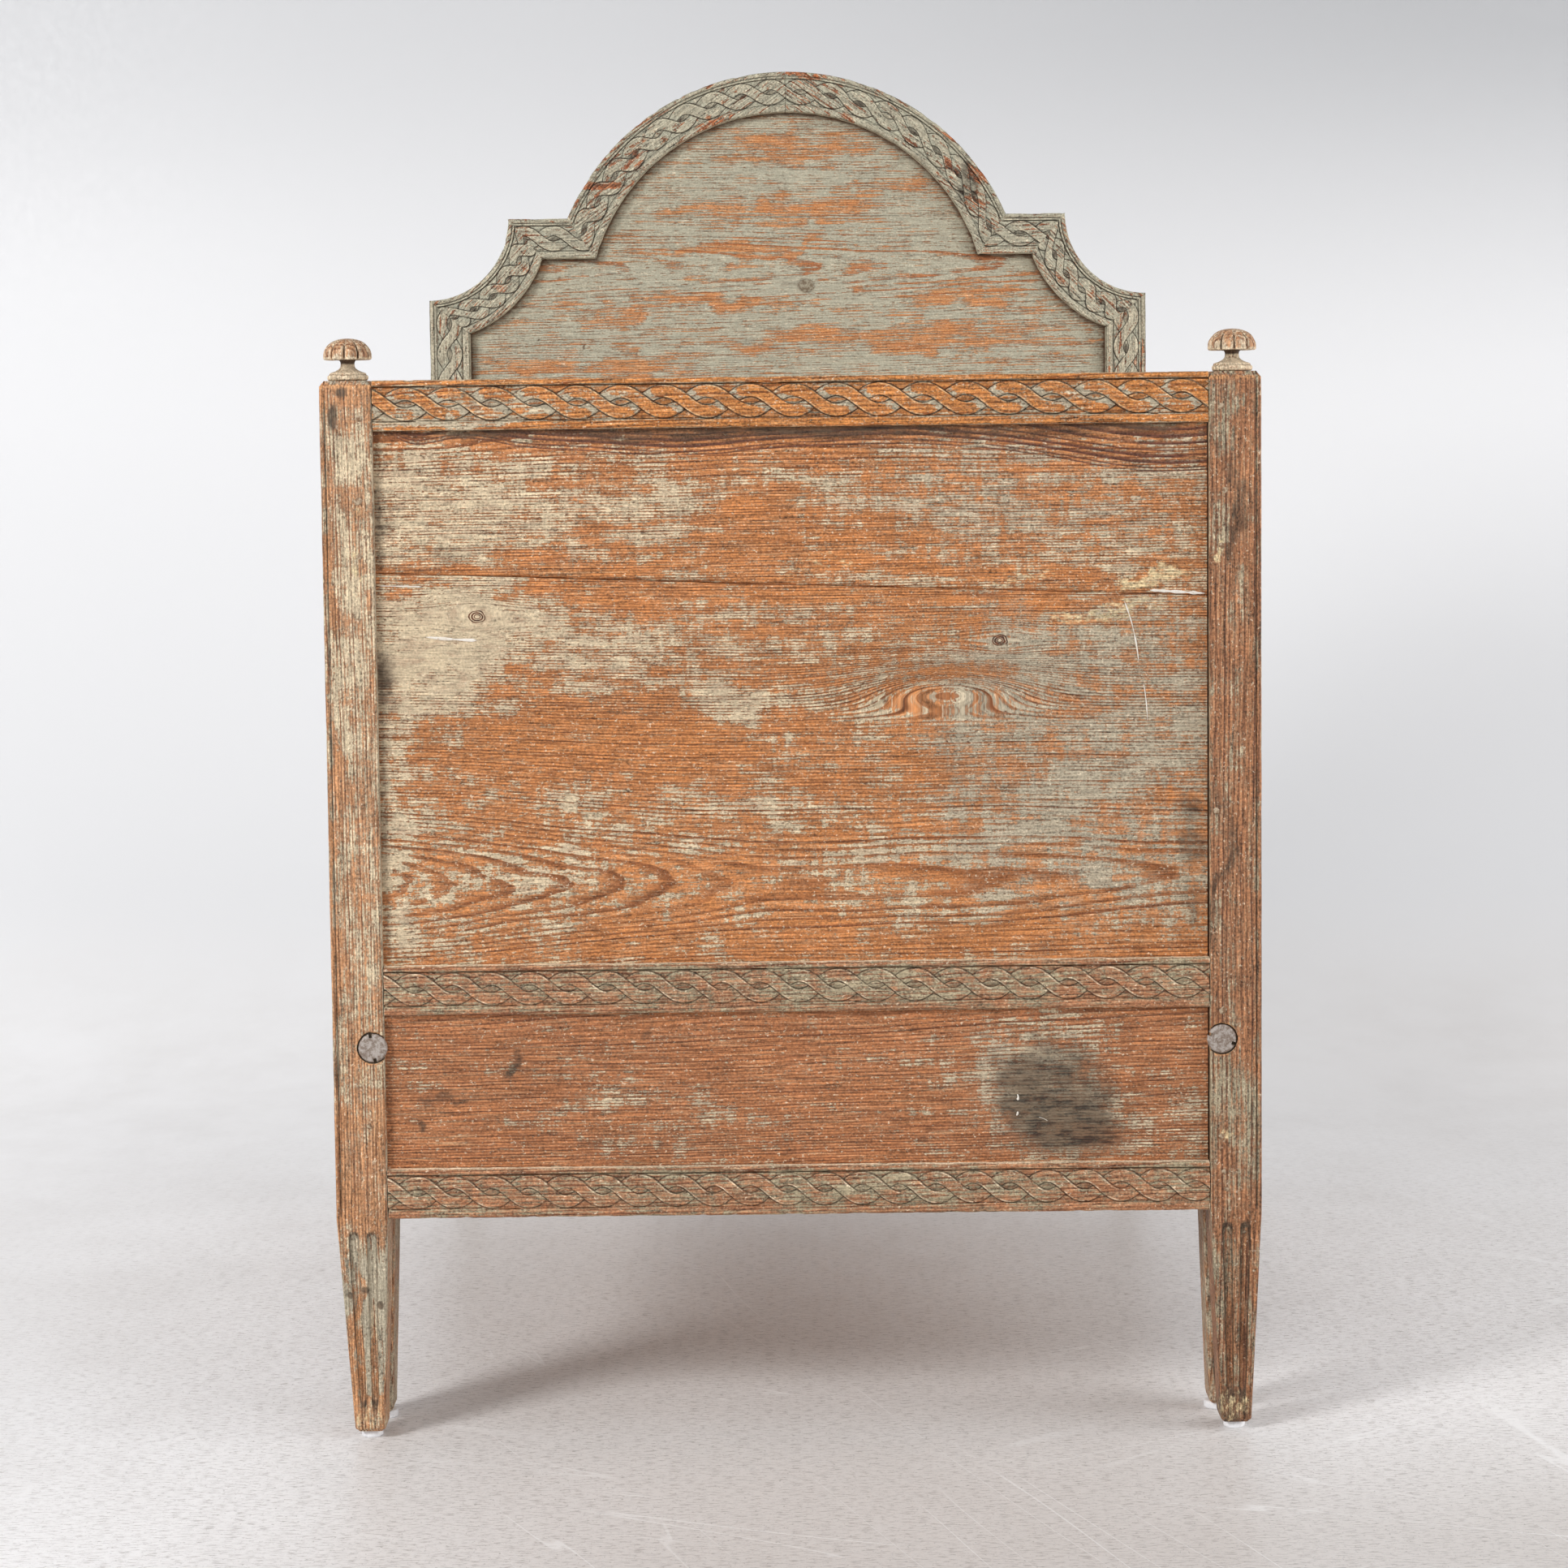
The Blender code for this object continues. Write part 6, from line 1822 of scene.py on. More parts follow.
    def build_pegs(self, name: str, side: int) -> None:
        """Build the ends of pegs and nails that show in a post's face.

        Args:
            name: The side's name.
            side: Not used; -1 for the left, 1 for the right.
        """
        places = {
            "left": ((-0.4349, 1.0523, 0.0034), (-0.4374, 0.9690, 0.0042), (-0.4300, 0.9328, 0.0026),
                     (-0.4369, 0.9132, 0.0030), (-0.4390, 0.3300, 0.0030)),
            "right": ((0.4344, 1.0555, 0.0030), (0.4375, 0.9706, 0.0032), (0.4341, 0.9149, 0.0030),
                      (0.4350, 0.4401, 0.0040), (0.4331, 0.3100, 0.0030), (0.4356, 0.2729, 0.0026),
                      (0.4380, 0.2552, 0.0026), (0.4287, 0.6452, 0.0034)),
        }[name]
        front = float(self.post_low[1])
        draft = None
        for x, z, radius in places:
            profile = [(radius * 0.2, -0.0004), (radius * 0.7, -0.0003), (radius * 0.92, 0.0001), (radius, 0.0008),
                       (radius, 0.006)]

            def uneven(angles: np.ndarray, _: int, shift: float = x * 400 + z * 90) -> np.ndarray:
                """Return the radius factor of a hand-cut peg."""
                return 1 + 0.08 * np.sin(2 * angles + shift) + 0.05 * np.sin(5 * angles + 2 * shift)

            peg = turned(profile, 28, (x, front - 0.0003, z), "y", uneven)
            draft = draft + peg if draft else peg
        Piece(draft.piece(f"foot_post_{name}.pegs"), FOOT, "bare_pine").coat_with(PEG_WOOD)

    def build_marks(self) -> None:
        """Build the panel's knots and the pale slivers of filler in its cracks."""
        front = float(node_box("foot_board_main")[0][1])
        knots = knot(-0.320, front, 0.8506, 0.0095, 0.0066) + knot(0.210, front, 0.8207, 0.0088, 0.0060)
        Piece(knots.piece("foot_panel.knots"), FOOT, "painted_pine").coat_with(KNOT_WOOD)
        slivers = (
            ((-0.3722, 0.8305), (-0.345, 0.8275), (-0.3204, 0.8266), 0.0016),
            ((-0.4190, 0.8830), (-0.400, 0.8826), (-0.3754, 0.8817), 0.0010),
            ((0.3628, 0.8701), (0.390, 0.8680), (0.4185, 0.8662), 0.0019),
            ((0.3365, 0.8597), (0.3475, 0.8330), (0.3511, 0.7976), 0.0009),
            ((0.3560, 0.775), (0.3590, 0.760), (0.3600, 0.735), 0.0006),
            ((0.225, 0.354), (0.227, 0.351), (0.225, 0.348), 0.0014), ((0.225, 0.336), (0.226, 0.334), (0.224, 0.332), 0.0010),
            ((0.247, 0.330), (0.252, 0.329), (0.256, 0.326), 0.0005),
        )
        draft = None
        for start, middle, end, half in slivers:
            share = np.linspace(0, 1, 40)[:, None]
            line = (1 - share) ** 2 * np.array(start) + 2 * share * (1 - share) * np.array(middle) + share**2 * np.array(end)
            way = np.gradient(line, axis=0)
            way /= np.linalg.norm(way, axis=1, keepdims=True)
            places = np.stack([line[:, 0], line[:, 0] * 0, line[:, 1]], axis=-1)
            width = half * (0.75 + 0.5 * value_noise(places, 0.006, 7)) * np.clip(np.sin(math.pi * share[:, 0]) * 4, 0.15, 1)
            rings = []
            for angle in np.linspace(0, 2 * math.pi, 8, endpoint=False):
                side = width * math.cos(angle)
                y = np.full(len(line), front - 0.0001 - 0.0005 * math.sin(angle))
                rings.append(np.stack([line[:, 0] - way[:, 1] * side, y, line[:, 1] + way[:, 0] * side], axis=-1))
            sliver = loft(np.stack(rings, axis=1))
            draft = draft + sliver if draft else sliver
        Piece(draft.piece("foot_panel.filler"), FOOT, "painted_pine").coat_with(WHITE_CHIP)


@dataclass
class Headboard:
    """The fixed head end: carved posts, crest mouldings and boards."""

    outer: float = 0.0062
    fillet: float = 0.0032
    inner: float = 0.0098
    pitch: float = 0.040
    step: float = 0.0013
    carved_foot: float = 0.535

    def build(self) -> None:
        """Build every piece of the head end."""
        self.post_low, self.post_high = node_box("head_post_left")
        self.edge = abs(float(self.post_low[0]))
        self.post = float(self.post_high[0] - self.post_low[0])
        self.front = float(self.post_low[1])
        self.shoulder = float(node_box("head_bottom_rail")[0][2])
        cove_low, cove_high = node_box("crest_cove_left")
        self.chord = float(cove_high[2] - cove_low[2])
        self.cove = math.hypot(self.chord, self.post) - self.post
        self.ear_top = float(node_box("crest_board")[1][2])
        arch_low, arch_high = node_box("arch_board")
        self.arch_top = float(arch_high[2])
        rise, span = self.arch_top - self.ear_top, float(arch_high[0])
        self.arch = (span**2 + rise**2) / (2 * rise)
        self.arch_centre = self.arch_top - self.arch
        half_band = (self.post - self.outer - self.fillet - self.inner) / 2
        self.band = CarvedBand(self.post, self.outer, self.inner, Guilloche(self.pitch, half_band - 0.0002, relief=0.7),
                               fillet=self.fillet, quirk_depth=0.0010)
        self.build_boards()
        for name, side in SIDES.items():
            self.build_post(name, side)
            self.build_crest(name, side)
            Footboard.build_pad(f"head_pad_{name}", HEAD)

    def coat(self) -> Coat:
        """Return the headboard's paint, with its torn orange streaks."""
        streaks = ((0.013, 1.405, 0.13, 0.020), (-0.03, 1.322, 0.15, 0.022), (0.06, 1.345, 0.10, 0.012),
                   (-0.18, 1.198, 0.14, 0.018), (0.05, 1.155, 0.16, 0.018), (0.24, 1.165, 0.12, 0.022),
                   (0.25, 1.215, 0.10, 0.016), (-0.25, 1.120, 0.16, 0.018), (-0.02, 1.20, 0.10, 0.010),
                   (-0.05, 1.275, 0.14, 0.010))
        patches = [Patch(Mark.PAINT, x, z, wide, high, -0.36) for x, z, wide, high in streaks]
        patches += [Patch(Mark.DARK, x, 1.1505, 0.0025, 0.0025, 1.0) for x in (-0.327, -0.266)]
        patches += [Patch(Mark.SMOKE, 0.025, 1.226, 0.0125, 0.0108, 1.2, 0.1), Patch(Mark.DARK, 0.008, 1.227, 0.014, 0.006, 0.5),
                    Patch(Mark.PAINT, 0.025, 1.226, 0.05, 0.018, 0.3)]
        return Coat(0.80, 0.75, patches=tuple(patches), ragged=0.02)

    def dirt_and_shade(self, points: np.ndarray) -> np.ndarray:
        """Work out the dirt and painted shadow on the boards along the mouldings' inner edges.

        Args:
            points: A board's points.

        Returns:
            How dark each point is.
        """
        x, z = np.abs(points[:, 0]), points[:, 2]
        arch = self.arch - self.post - np.hypot(x, z - self.arch_centre)
        ear = np.maximum(self.ear_top - self.post - z, self.edge - self.chord - 0.25 - x)
        cove = np.hypot(x - self.edge, z - self.ear_top) - self.cove - self.post
        stile = self.edge - self.post - x
        away = np.minimum(np.minimum(cove, stile), np.where(z > self.ear_top - self.post, arch, np.maximum(arch, ear)))
        # Painted shadow with dirt: the boards darken close to the mouldings' inner edges and fade away from them.
        return 1.0 * np.exp(-np.clip(away, 0, None) / 0.0055)

    def build_boards(self) -> None:
        """Build the plain boards, the shaped crest boards and the bottom rail."""
        wear = Wear(chips=0.0, warp=0.0, rubbed=0.0)
        clear = self.edge - self.post
        log_of_boards = Timber(heart_across=0.05, heart_depth=0.06, tilt=0.03, shared=(0.0, self.front, 1.2))
        for name in ("lower", "middle", "upper"):
            node = f"head_board_{name}"
            low, high = node_box(node)
            board = Board(float(low[1]), float(high[1]), 0.003 if name == "upper" else 0.005, ease=0.0)
            draft = board.between(-clear, clear, lambda x, z=low[2]: np.full_like(x, z),
                                  lambda x, z=high[2]: np.full_like(x, z + GAP), float(high[2] - low[2]))
            piece = Piece(draft.piece(f"{node}.wood"), HEAD, "painted_pine", (node,))
            piece.dress(HEAD_PAINT, log_of_boards, self.coat(), wear, 50, dirt_and_shade=self.dirt_and_shade)
        low, high = node_box("crest_board")
        board = Board(float(low[1]), float(high[1]), step=0.003)

        def shoulders(z: np.ndarray) -> np.ndarray:
            """Return half the crest board's width at a height."""
            drop = np.clip(self.ear_top - z, 0, None)
            hollow = np.sqrt(np.clip(self.cove**2 - drop**2, 0, None))
            below = lerp(clear, self.edge, np.clip((z - low[2]) / (self.ear_top - self.cove - low[2]), 0, 1))
            return np.where(drop < self.cove, self.edge - hollow, below) - 0.0006

        draft = board.stacked(float(low[2]), float(high[2]), shoulders, 0.9)
        piece = Piece(draft.piece("crest_board.wood"), HEAD, "painted_pine", ("crest_board",))
        piece.dress(HEAD_PAINT, log_of_boards, self.coat(), wear, 50, dirt_and_shade=self.dirt_and_shade)
        low, high = node_box("arch_board")
        draft = board.stacked(
            float(low[2]), float(high[2]) - 0.0008,
            lambda z: np.sqrt(np.clip(self.arch**2 - (z - self.arch_centre) ** 2, 0, None)) - 0.0006, 0.6)
        piece = Piece(draft.piece("arch_board.wood"), HEAD, "painted_pine", ("arch_board",))
        piece.dress(HEAD_PAINT, log_of_boards, self.coat(), wear, 50, dirt_and_shade=self.dirt_and_shade)
        mark = knot(0.025, float(low[1]) - 0.0006, 1.226, 0.0105, 0.0088).piece("head_board.knot")
        Piece(mark, HEAD, "painted_pine").coat_with(HEAD_KNOT)
        node = "head_bottom_rail"
        piece = Piece(Plank(node, 0).draft().piece(f"{node}.wood"), HEAD, "painted_pine", (node,))
        piece.dress(SIDE_PAINT, Timber(), Coat(0.5, 0.7), Wear(), 57)

    def build_post(self, name: str, side: int) -> None:
        """Build a head post with its leg, its carved face and its mitred top.

        Args:
            name: The side's name.
            side: -1 for the left, 1 for the right.
        """
        node = f"head_post_{name}"
        post = Upright(node, side, self.shoulder, counts=(52, 8, 8, 20))
        outer_top = self.ear_top - self.cove - GAP
        inner_top = self.ear_top - self.chord - GAP
        mean_top = (outer_top + inner_top) / 2
        leg = np.arange(post.foot, self.shoulder, 0.003)
        plain = np.arange(self.shoulder, self.carved_foot, 0.006)
        carved = np.append(np.arange(self.carved_foot, mean_top, 0.0015), mean_top)
        heights = np.unique(np.concatenate([leg, plain, carved]))
        shares, rings = post.rings(heights)
        mitre = (outer_top + (inner_top - outer_top) * rings[..., 0] / self.post - mean_top)
        tall = heights[:, None] + mitre * smooth_step(mean_top - 0.12, mean_top, heights)[:, None]
        front = shares[:, 1] == 0
        along = tall[:, front] * -side
        inset = rings[:, front, 0].copy()
        depth = self.band.depth(along.ravel(), inset.ravel()).reshape(along.shape)
        shown = smooth_step(self.carved_foot, self.carved_foot + 0.006, heights)[:, None]
        twist = np.full((*rings.shape[:2], 3), NO_TWIST)
        twist[:, front] = np.where(shown[..., None] > 0.5, self.band.places(along, inset, 0).reshape(*along.shape, 3),
                                   NO_TWIST)
        rings[:, front, 1] += depth * shown
        made = loft(post.place(rings, tall)).piece(f"{node}.wood")
        piece = Piece(made, HEAD, "painted_pine", (node,))
        coat = Coat(0.76, 0.55, face=self.front, sunk_paint=0.1, deep_grime_and_shade=0.5)
        timber = Timber(Grain.HEIGHT.value, heart_across=0.02, heart_depth=0.04)
        piece.dress(CREST_PAINT, timber, coat, Wear(), 60 + side, twist=twist.reshape(-1, 3))

    def mitres(self, side: int) -> list[tuple[np.ndarray, np.ndarray]]:
        """Return the crest's mitre lines at post, ear and arch, as outer and inner corners in x and z."""
        edge, chord, post, top = self.edge, self.chord, self.post, self.ear_top
        inner_arch = math.sqrt((self.arch - post) ** 2 - (top - post - self.arch_centre) ** 2)
        outer_arch = math.sqrt(self.arch**2 - (top - self.arch_centre) ** 2)
        pairs = (
            ((edge, top - self.cove), (edge - post, top - chord)),
            ((edge - self.cove, top), (edge - chord, top - post)),
            ((outer_arch, top), (inner_arch, top - post)),
        )
        flip = np.array([side, 1.0])
        return [(np.array(first) * flip, np.array(last) * flip) for first, last in pairs]

    def arc(self, centre: np.ndarray, reach: np.ndarray, start: np.ndarray, end: np.ndarray,
            share: np.ndarray) -> np.ndarray:
        """Lay points on arcs round a centre, between two mitre lines.

        Args:
            centre: The arcs' centre in x and z.
            reach: The radius at each offset.
            start: Each offset's place on the first mitre line.
            end: Each offset's place on the last mitre line.
            share: Shares of the way from the first to the last.

        Returns:
            Points of shape (shares, offsets, 2).
        """
        first = np.arctan2(*(start - centre).T[::-1])
        last = np.arctan2(*(end - centre).T[::-1])
        turn = (last - first + math.pi) % (2 * math.pi) - math.pi
        angle = first[None, :] + share[:, None] * turn[None, :]
        return centre + reach[None, :, None] * np.stack([np.cos(angle), np.sin(angle)], axis=-1)

    def build_crest(self, name: str, side: int) -> None:
        """Build the carved cove, ear and half arch of one side.

        Args:
            name: The side's name.
            side: -1 for the left, 1 for the right.
        """
        offset = self.band.offsets()
        back = float(node_box(f"crest_cove_{name}")[1][1])
        lines = self.mitres(side)
        crown = (np.array([side * GAP / 2, self.arch_top]), np.array([side * GAP / 2, self.arch_top - self.post]))
        lines.append(crown)
        cove_centre = np.array([side * self.edge, self.ear_top])
        arch_centre = np.array([0.0, self.arch_centre])
        way = self.cove + self.post / 2
        lengths = {
            "cove": way * math.pi / 2,
            "ear": abs(float(lines[1][0][0] - lines[2][0][0])) + self.post / 2,
            "arch": (self.arch - self.post / 2) * math.acos((self.ear_top - self.post / 2 - self.arch_centre)
                                                            / (self.arch - self.post / 2)),
        }
        starts = {"cove": 0.012, "ear": 0.0, "arch": -lengths["arch"] % self.pitch}
        for index, (part, length) in enumerate(lengths.items()):
            node = f"crest_{part}_{name}"
            share = np.linspace(0, 1, int(length / self.step) + 2)
            first, last = ([line[0] + (line[1] - line[0]) * place / self.post for place in offset]
                           for line in (lines[index], lines[index + 1]))
            first, last = np.array(first), np.array(last)
            if part == "ear":
                flat = first[None] + share[:, None, None] * (last - first)[None]
                along = np.abs(flat[..., 0] - lines[1][0][0])
            else:
                centre, reach = ((cove_centre, self.cove + offset) if part == "cove"
                                 else (arch_centre, self.arch - offset))
                flat = self.arc(centre, reach, first, last, share)
                along = np.broadcast_to(share[:, None] * length, flat.shape[:2])
            along = (along + starts[part]) * -side
            offsets = np.broadcast_to(offset, along.shape)
            depth = self.band.depth(along.ravel(), offsets.ravel()).reshape(along.shape)
            places = np.stack([flat[..., 0], self.front + depth, flat[..., 1]], axis=-1)
            rear = np.stack([flat[:, ::-8, 0], np.full_like(flat[:, ::-8, 0], back), flat[:, ::-8, 1]], axis=-1)
            made = loft(np.concatenate([places, rear], axis=1)).piece(f"{node}.wood")
            run = (last - first).mean(axis=0)
            run = run / np.linalg.norm(run) * (1 if run[0] > 0 else -1)
            axes = ((run[0], 0.0, run[1]), (-run[1], 0.0, run[0]), (0.0, -1.0, 0.0))
            coat = Coat(0.80, 0.65, face=self.front, sunk_paint=0.1, deep_grime_and_shade=0.5, patches=(
                Patch(Mark.DARK, 0.231, 1.36, 0.016, 0.018, 0.6), Patch(Mark.PAINT, 0.245, 1.355, 0.02, 0.03, -0.3),
                Patch(Mark.PAINT, -0.245, 1.362, 0.032, 0.005, -0.9, 0.2),
                Patch(Mark.DARK, -0.24, 1.362, 0.034, 0.004, 0.6, 0.2),
                Patch(Mark.PAINT, 0.02, 1.504, 0.025, 0.005, -0.55),
                *(Patch(mark, x, z, 0.009, 0.013, amount, 0.2) for mark, amount in ((Mark.PAINT, -0.8), (Mark.DARK, 0.35))
                  for x, z in ((-0.260, 1.396), (-0.286, 1.364), (-0.300, 1.340))),
            ))
            piece = Piece(made, HEAD, "painted_pine", (node,))
            timber = Timber(axes, heart_across=0.04, heart_depth=0.03)
            away = length * np.minimum(share, 1 - share)
            calm = np.repeat(smooth_step(0.0005, 0.006, away), places.shape[1] + rear.shape[1])
            twist = self.band.places(along, offsets, rear.shape[1])
            piece.dress(CREST_PAINT, timber, coat, Wear(chips=0.0012), 70 + index + 5 * side, calm, twist)


@dataclass
class Underframe:
    """What carries the mattress: side rails, runners, middle legs, ledgers and slats."""

    def build(self) -> None:
        """Build every piece of the underframe."""
        for name, side in SIDES.items():
            self.build_leg(name, side)
            self.build_plank(f"head_side_rail_{name}", HEAD, 1, SIDE_PAINT, "painted_pine", Coat(0.55, 0.5))
            self.build_plank(f"runner_{name}", HEAD, 1, DRY_PINE, "bare_pine", Coat())
            self.build_foot_rail(name)
        for node in ("middle_cross_rail", "head_ledger"):
            self.build_plank(node, HEAD, 0, DRY_PINE, "bare_pine", Coat())
        for node in ("foot_ledger", "tail_batten"):
            self.build_plank(node, FOOT, 0, DRY_PINE, "bare_pine", Coat())
        for node in sorted(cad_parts):
            if "_slat_" in node:
                low, high = node_box(node)
                axis = int(np.argmax(high - low))
                body = HEAD if node.startswith("fixed") else FOOT
                self.build_plank(node, body, axis, DRY_PINE, "bare_pine", Coat())

    def build_plank(self, node: str, body: str, axis: int, finish: ScrapedPaint | BarePine, slot: str,
                    coat: Coat) -> None:
        """Build a plain member in its node's place.

        Args:
            node: The node that it stands for.
            body: The body that it rides on.
            axis: The axis of its length: 0 for x or 1 for y.
            finish: Its finish.
            slot: Its material slot.
            coat: Its paint.
        """
        grain = Grain.WIDTH if axis == 0 else Grain.LENGTH
        seed = sum(ord(letter) for letter in node)
        made = Plank(node, axis).draft().piece(f"{node}.wood")
        piece = Piece(made, body, slot, (node,))
        timber = Timber(grain.value, heart_across=0.01 * (seed % 7 - 3), heart_depth=0.04)
        piece.dress(finish, timber, coat, Wear(chips=0.0012, chip_size=0.02, warp=0.0004), seed % 97)

    def build_foot_rail(self, name: str) -> None:
        """Build a sliding side rail with the pocket that holds its nut.

        Args:
            name: The side's name.
        """
        node = f"foot_side_rail_{name}"
        made = Plank(node, 1, step=0.006).draft().piece(f"{node}.wood")
        low, high = node_box(f"bed_nut_{name}")
        inward = 0.02 if name == "left" else -0.02
        low, high = low - GAP, high + GAP
        if inward > 0:
            high[0] += inward
        else:
            low[0] += inward
        ring = [(low[0], low[2]), (high[0], low[2]), (high[0], high[2]), (low[0], high[2])]
        cut(made, loft(np.array([[(x, y, z) for x, z in ring] for y in (low[1], high[1])])))
        piece = Piece(made, FOOT, "bare_pine", (node,))
        piece.dress(DRY_PINE, Timber(Grain.LENGTH.value, heart_depth=0.05), Coat(), Wear(warp=0.0004), 81 + len(name))

    def build_leg(self, name: str, side: int) -> None:
        """Build a middle leg, rabbeted for the outer side rail.

        Args:
            name: The side's name.
            side: -1 for the left, 1 for the right.
        """
        node = f"middle_leg_{name}"
        shoulder = float(node_box("foot_bottom_rail")[0][2])
        rail_low, rail_high = node_box(f"head_side_rail_{name}")
        leg = Upright(node, side, shoulder, FlutedLeg(slim=0.008), counts=(30, 26, 14, 26))
        step = float(rail_low[2]) - GAP
        heights = np.arange(leg.foot, step, leg.fine)
        foot = leg.foot + np.array([0.0004, 0.001, 0.0018])
        heights = np.unique(np.concatenate([heights, foot, [step]]))
        heights = np.concatenate([heights, [step + 0.00005], np.linspace(step + 0.004, leg.top, 10)])
        _, rings = leg.rings(heights)
        inner = abs(float(rail_high[0] if side < 0 else rail_low[0]))
        rabbet = leg.edge - inner + GAP
        above = heights > step + 0.00001
        rings[above, :, 0] = rabbet + (rings[above, :, 0]) * (leg.size - rabbet) / leg.size
        made = loft(leg.place(rings, heights)).piece(f"{node}.wood")
        piece = Piece(made, HEAD, "painted_pine", (node,))
        timber = Timber(Grain.HEIGHT.value, heart_across=0.02 * side, heart_depth=0.03)
        coat = Coat(0.50, 0.65, dark=0.12)
        piece.dress(POST_PAINT, timber, coat, Wear(chips=0.0018), 90 + side, dirt_and_shade=leg.dirt_and_shade)
        Footboard.build_pad(f"middle_pad_{name}", HEAD)


@dataclass
class Studio:
    """A plain pale floor that turns up into a wall, soft light and the camera."""

    lens: float = 74.64
    sensor: float = 36.0
    shift: float = -0.08
    eye: Axis = (-0.0069, -3.8345, 1.0404)
    yaw: float = 0.039
    pitch: float = -4.095
    roll: float = -0.646
    floor: Colour = srgb(250, 249, 249)
    wall: Colour = srgb(238, 238, 239)
    wall_y: float = 2.6
    bend: float = 1.6

    def build(self) -> None:
        """Build the floor, the lights and the camera."""
        self.build_floor()
        self.build_lights()
        self.build_camera()

    def build_floor(self) -> None:
        """Build the floor and wall as one sheet with a round bend, with painted shade on the wall and the floor and a
        painted shadow under the bed.
        """
        profile = [(-9.0, 0.0), (-4.0, 0.0), (0.0, 0.0)]
        for step in range(25):
            angle = math.pi / 2 * step / 24
            profile.append((self.wall_y - self.bend + self.bend * math.sin(angle), self.bend * (1 - math.cos(angle))))
        profile.append((self.wall_y, 7.0))
        half = 9.0
        points = [(x, y, z) for y, z in profile for x in (-half, half)]
        faces = [(2 * i, 2 * i + 1, 2 * i + 3, 2 * i + 2) for i in range(len(profile) - 1)]
        mesh = bpy.data.meshes.new("studio_floor")
        mesh.from_pydata(points, [], faces)
        mesh.shade_smooth()
        floor = bpy.data.objects.new("studio_floor", mesh)
        bpy.context.scene.collection.objects.link(floor)
        made, graph, shader = new_material("pale floor")
        place = graph.node("ShaderNodeTexCoord").outputs["Object"]
        height = graph.node("ShaderNodeSeparateXYZ")
        graph.put(height.inputs[0], place)
        level = graph.rise(height.outputs["Z"], 0.25, 0.0)
        # Painted shade: the wall darker towards its top and its right, where the light falls off.
        aside = graph.rise(height.outputs["X"], -0.6, 1.7, 0.46)
        painted_wall_shade = graph.times(graph.rise(height.outputs["Z"], 1.0, 1.95), graph.add(0.62, aside))
        across, ahead = height.outputs["X"], height.outputs["Y"]
        # Painted shade: the floor darker towards the front and the right.
        front = graph.times(graph.rise(ahead, -0.35, -0.95, 0.75), graph.rise(across, -0.8, 0.0))
        front = graph.add(front, graph.rise(across, 0.4, 1.0, 0.25))
        # Painted shadow under the bed.
        under = graph.times(graph.rise(graph.math("ABSOLUTE", across), 0.6, 0.3, 0.45),
                            graph.rise(graph.math("ABSOLUTE", ahead), 0.9, 0.4))
        near = graph.times(graph.times(level, graph.rise(ahead, 1.3, -0.2)), graph.rise(across, -1.4, -0.4))
        cloud = graph.noise(place, (3.0, 3.0, 3.0), 6.0, 0.65)
        smear = graph.noise(place, (70.0, 12.0, 60.0), 4.0, 0.65)
        brushed = graph.noise(place, (75.0, 420.0, 75.0), 4.0, 0.7)
        dust = graph.noise(place, (260.0, 180.0, 260.0), 4.0, 0.75)
        colour = graph.blend(level, self.wall, self.floor)
        colour = graph.blend(graph.times(graph.rise(cloud, 0.3, 0.8), level), colour, srgb(238, 236, 235))
        # The floor's painted shade and painted shadow under the bed.
        colour = graph.blend(graph.times(graph.add(front, under), level), colour, srgb(206, 200, 195))
        colour = graph.blend(graph.times(graph.rise(smear, 0.5, 0.75, 0.2), near), colour, srgb(206, 203, 200))
        colour = graph.blend(graph.times(graph.rise(brushed, 0.51, 0.62, 0.7), near), colour, srgb(166, 160, 156))
        colour = graph.blend(graph.times(graph.rise(dust, 0.58, 0.67, 0.6), near), colour, srgb(140, 135, 131))
        for turn in (24.0, -33.0, 68.0):
            rolled = graph.node("ShaderNodeVectorRotate", rotation_type="Z_AXIS")
            graph.put(rolled.inputs["Vector"], place)
            rolled.inputs["Angle"].default_value = math.radians(turn)
            vein = graph.noise(rolled.outputs[0], (0.7, 14.0, 0.7), 1.0, 0.5)
            thin = graph.rise(graph.math("ABSOLUTE", graph.math("SUBTRACT", vein, 0.5)), 0.005, 0.001)
            broken = graph.rise(graph.noise(rolled.outputs[0], (1.6, 5.0, 1.6), 3.0, 0.6), 0.52, 0.60, 0.55)
            colour = graph.blend(graph.times(graph.times(thin, broken), near), colour, srgb(246, 245, 244))
        # The wall's painted shade.
        colour = graph.blend(painted_wall_shade, colour, srgb(188, 189, 191))
        graph.put(shader.inputs["Base Color"], colour)
        graph.put(shader.inputs["Roughness"], graph.add(0.42, graph.swing(smear, 0.3)))
        shader.inputs["Specular IOR Level"].default_value = 0.35
        behind = graph.node("ShaderNodeNewGeometry").outputs["Backfacing"]
        looked = graph.node("ShaderNodeLightPath").outputs["Is Camera Ray"]
        sheet = graph.node("ShaderNodeMixShader")
        far = graph.math("MAXIMUM", graph.rise(ahead, -1.7, -4.2), graph.rise(graph.math("ABSOLUTE", across), 2.4, 4.8))
        graph.put(sheet.inputs[0], graph.times(graph.math("MAXIMUM", behind, far), looked))
        graph.put(sheet.inputs[1], shader.outputs[0])
        graph.put(sheet.inputs[2], graph.node("ShaderNodeBsdfTransparent").outputs[0])
        graph.put(made.node_tree.nodes["Material Output"].inputs["Surface"], sheet.outputs[0])
        mesh.materials.append(made)

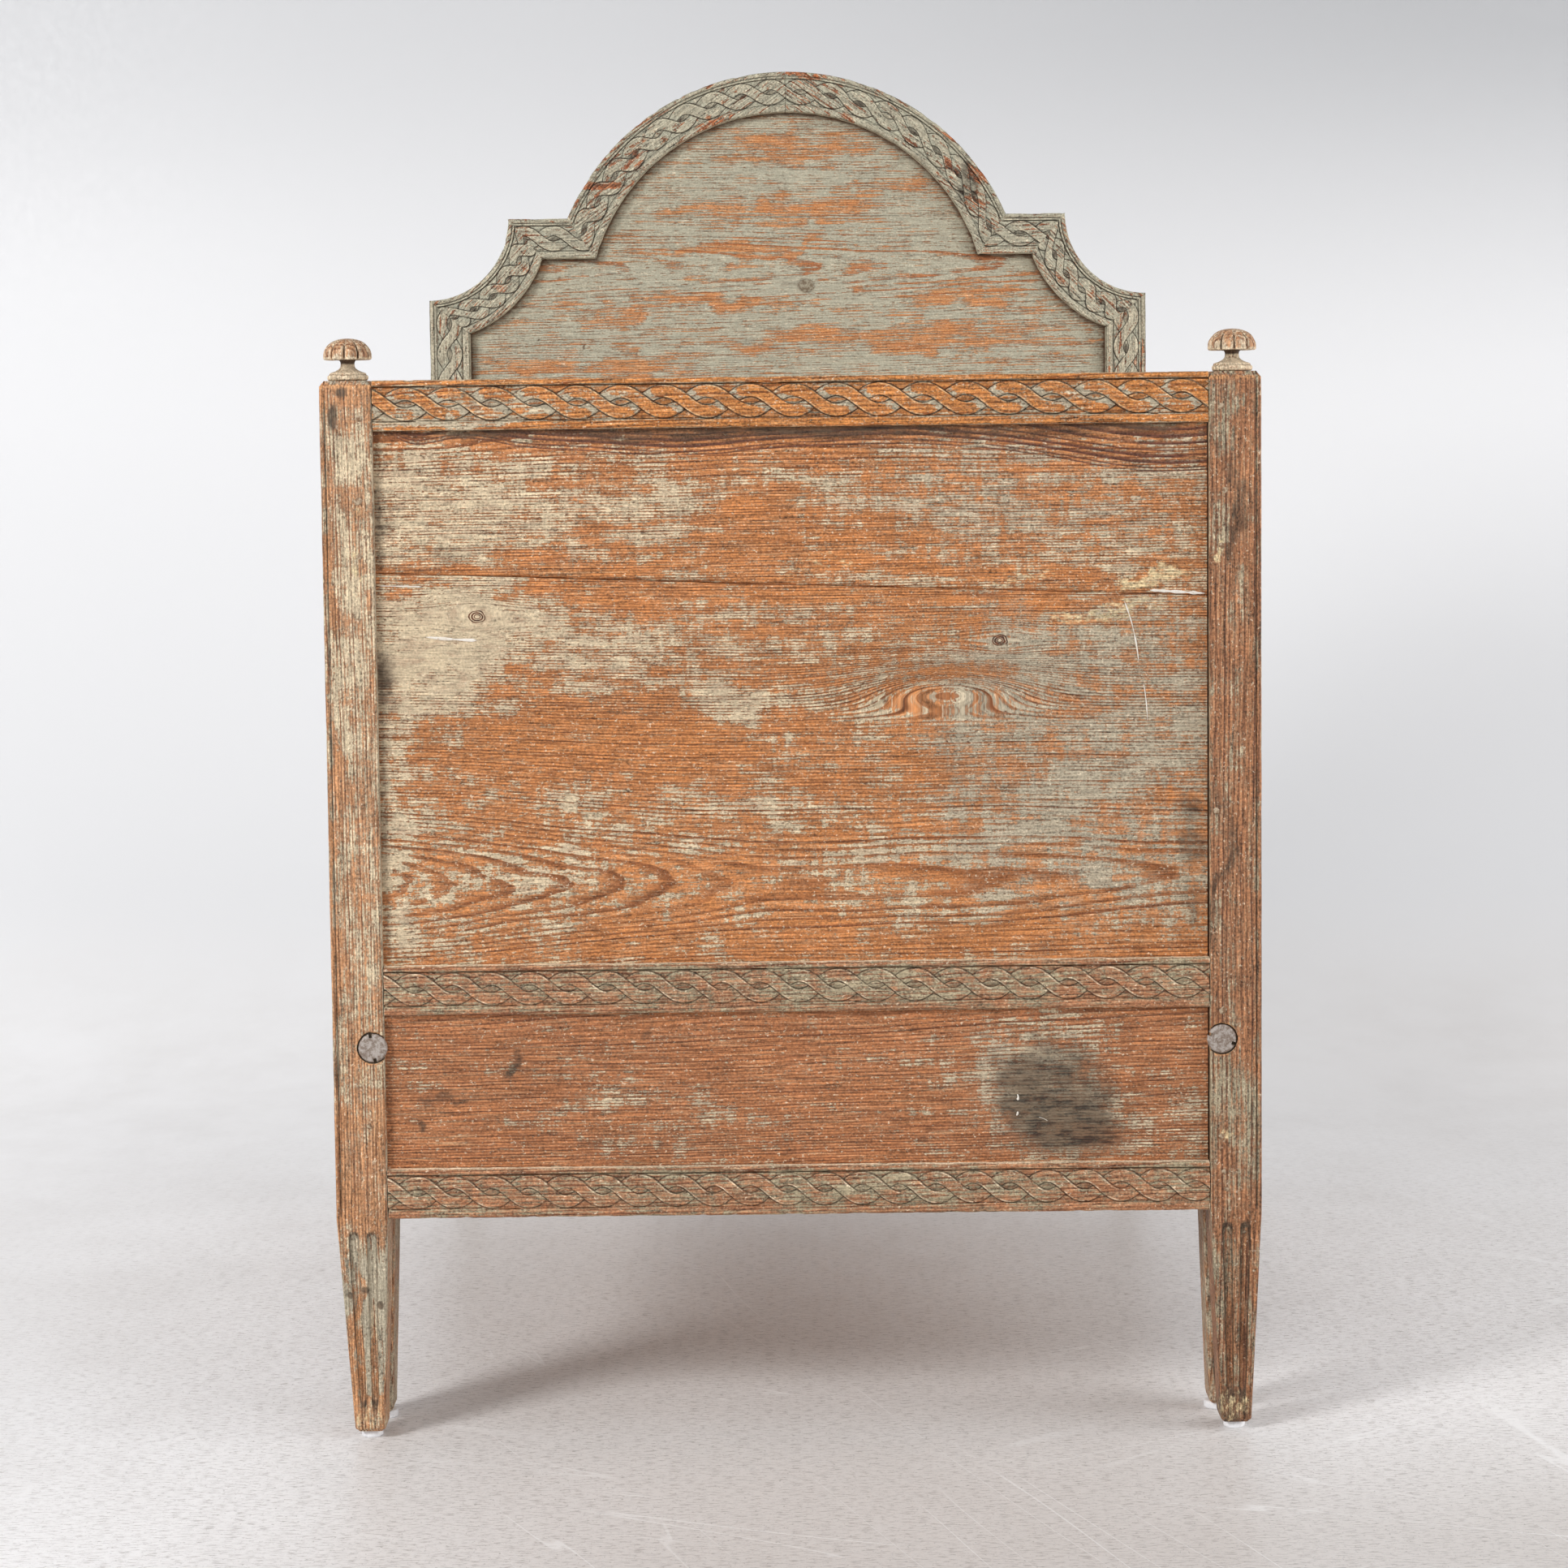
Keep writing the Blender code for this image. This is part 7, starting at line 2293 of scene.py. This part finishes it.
    def build_lights(self) -> None:
        """Build a broad key light at the upper left, a weak fill at the right and an even surround."""
        for name, place, target, size, power in (
            ("key", (-3.3, -3.4, 2.9), (0.0, 0.0, 0.7), 1.3, 161.0),
            ("fill", (3.4, -3.4, 2.4), (0.0, 0.0, 0.7), 2.6, 33.0),
            ("bounce", (2.7, -0.6, 1.2), (0.9, 1.4, 0.2), 2.2, 41.0),
            ("wall wash", (-2.4, 0.6, 0.9), (-1.2, 2.6, 0.7), 1.6, 8.0),
        ):
            data = bpy.data.lights.new(name, "AREA")
            data.size = size
            data.energy = power
            lamp = bpy.data.objects.new(name, data)
            lamp.location = place
            lamp.rotation_euler = (Vector(target) - Vector(place)).to_track_quat("-Z", "Y").to_euler()
            bpy.context.scene.collection.objects.link(lamp)
        world = bpy.data.worlds.new("surround")
        world.use_nodes = True
        sky = world.node_tree.nodes["Background"]
        sky.inputs["Color"].default_value = srgb(232, 233, 236)
        air = Graph(world.node_tree)
        ray = air.node("ShaderNodeLightPath")
        seen = air.math("MAXIMUM", ray.outputs["Is Camera Ray"], ray.outputs["Is Glossy Ray"])
        seen = air.math("MAXIMUM", seen, ray.outputs["Is Transmission Ray"])
        air.put(sky.inputs["Strength"], air.add(0.54, air.times(seen, 0.44)))
        bpy.context.scene.world = world

    def build_camera(self) -> None:
        """Set the camera at the foot end, a little above the footboard."""
        yaw, pitch, roll = (math.radians(angle) for angle in (self.yaw, self.pitch, self.roll))
        ahead = Vector((-math.sin(yaw) * math.cos(pitch), math.cos(yaw) * math.cos(pitch), math.sin(pitch)))
        level = Vector((math.cos(yaw), math.sin(yaw), 0.0))
        above = level.cross(ahead)
        right = level * math.cos(roll) + above * math.sin(roll)
        up = above * math.cos(roll) - level * math.sin(roll)
        data = bpy.data.cameras.new("camera")
        data.lens = self.lens
        data.sensor_width = self.sensor
        data.shift_y = self.shift
        camera = bpy.data.objects.new("camera", data)
        turn = Matrix((right, up, -ahead)).transposed()
        camera.matrix_world = Matrix.Translation(Vector(self.eye)) @ turn.to_4x4()
        bpy.context.scene.collection.objects.link(camera)
        bpy.context.scene.camera = camera


def write_sizes() -> None:
    """Bring the view layer up to date."""
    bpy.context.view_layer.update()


def main() -> None:
    """Build the bed and its studio."""
    logging.basicConfig(level=logging.INFO, format="%(message)s")
    bpy.context.scene.view_settings.view_transform = "Standard"
    for part in (Studio(), Footboard(), Headboard(), Underframe()):
        part.build()
    write_sizes()


if __name__ == "__main__":
    main()
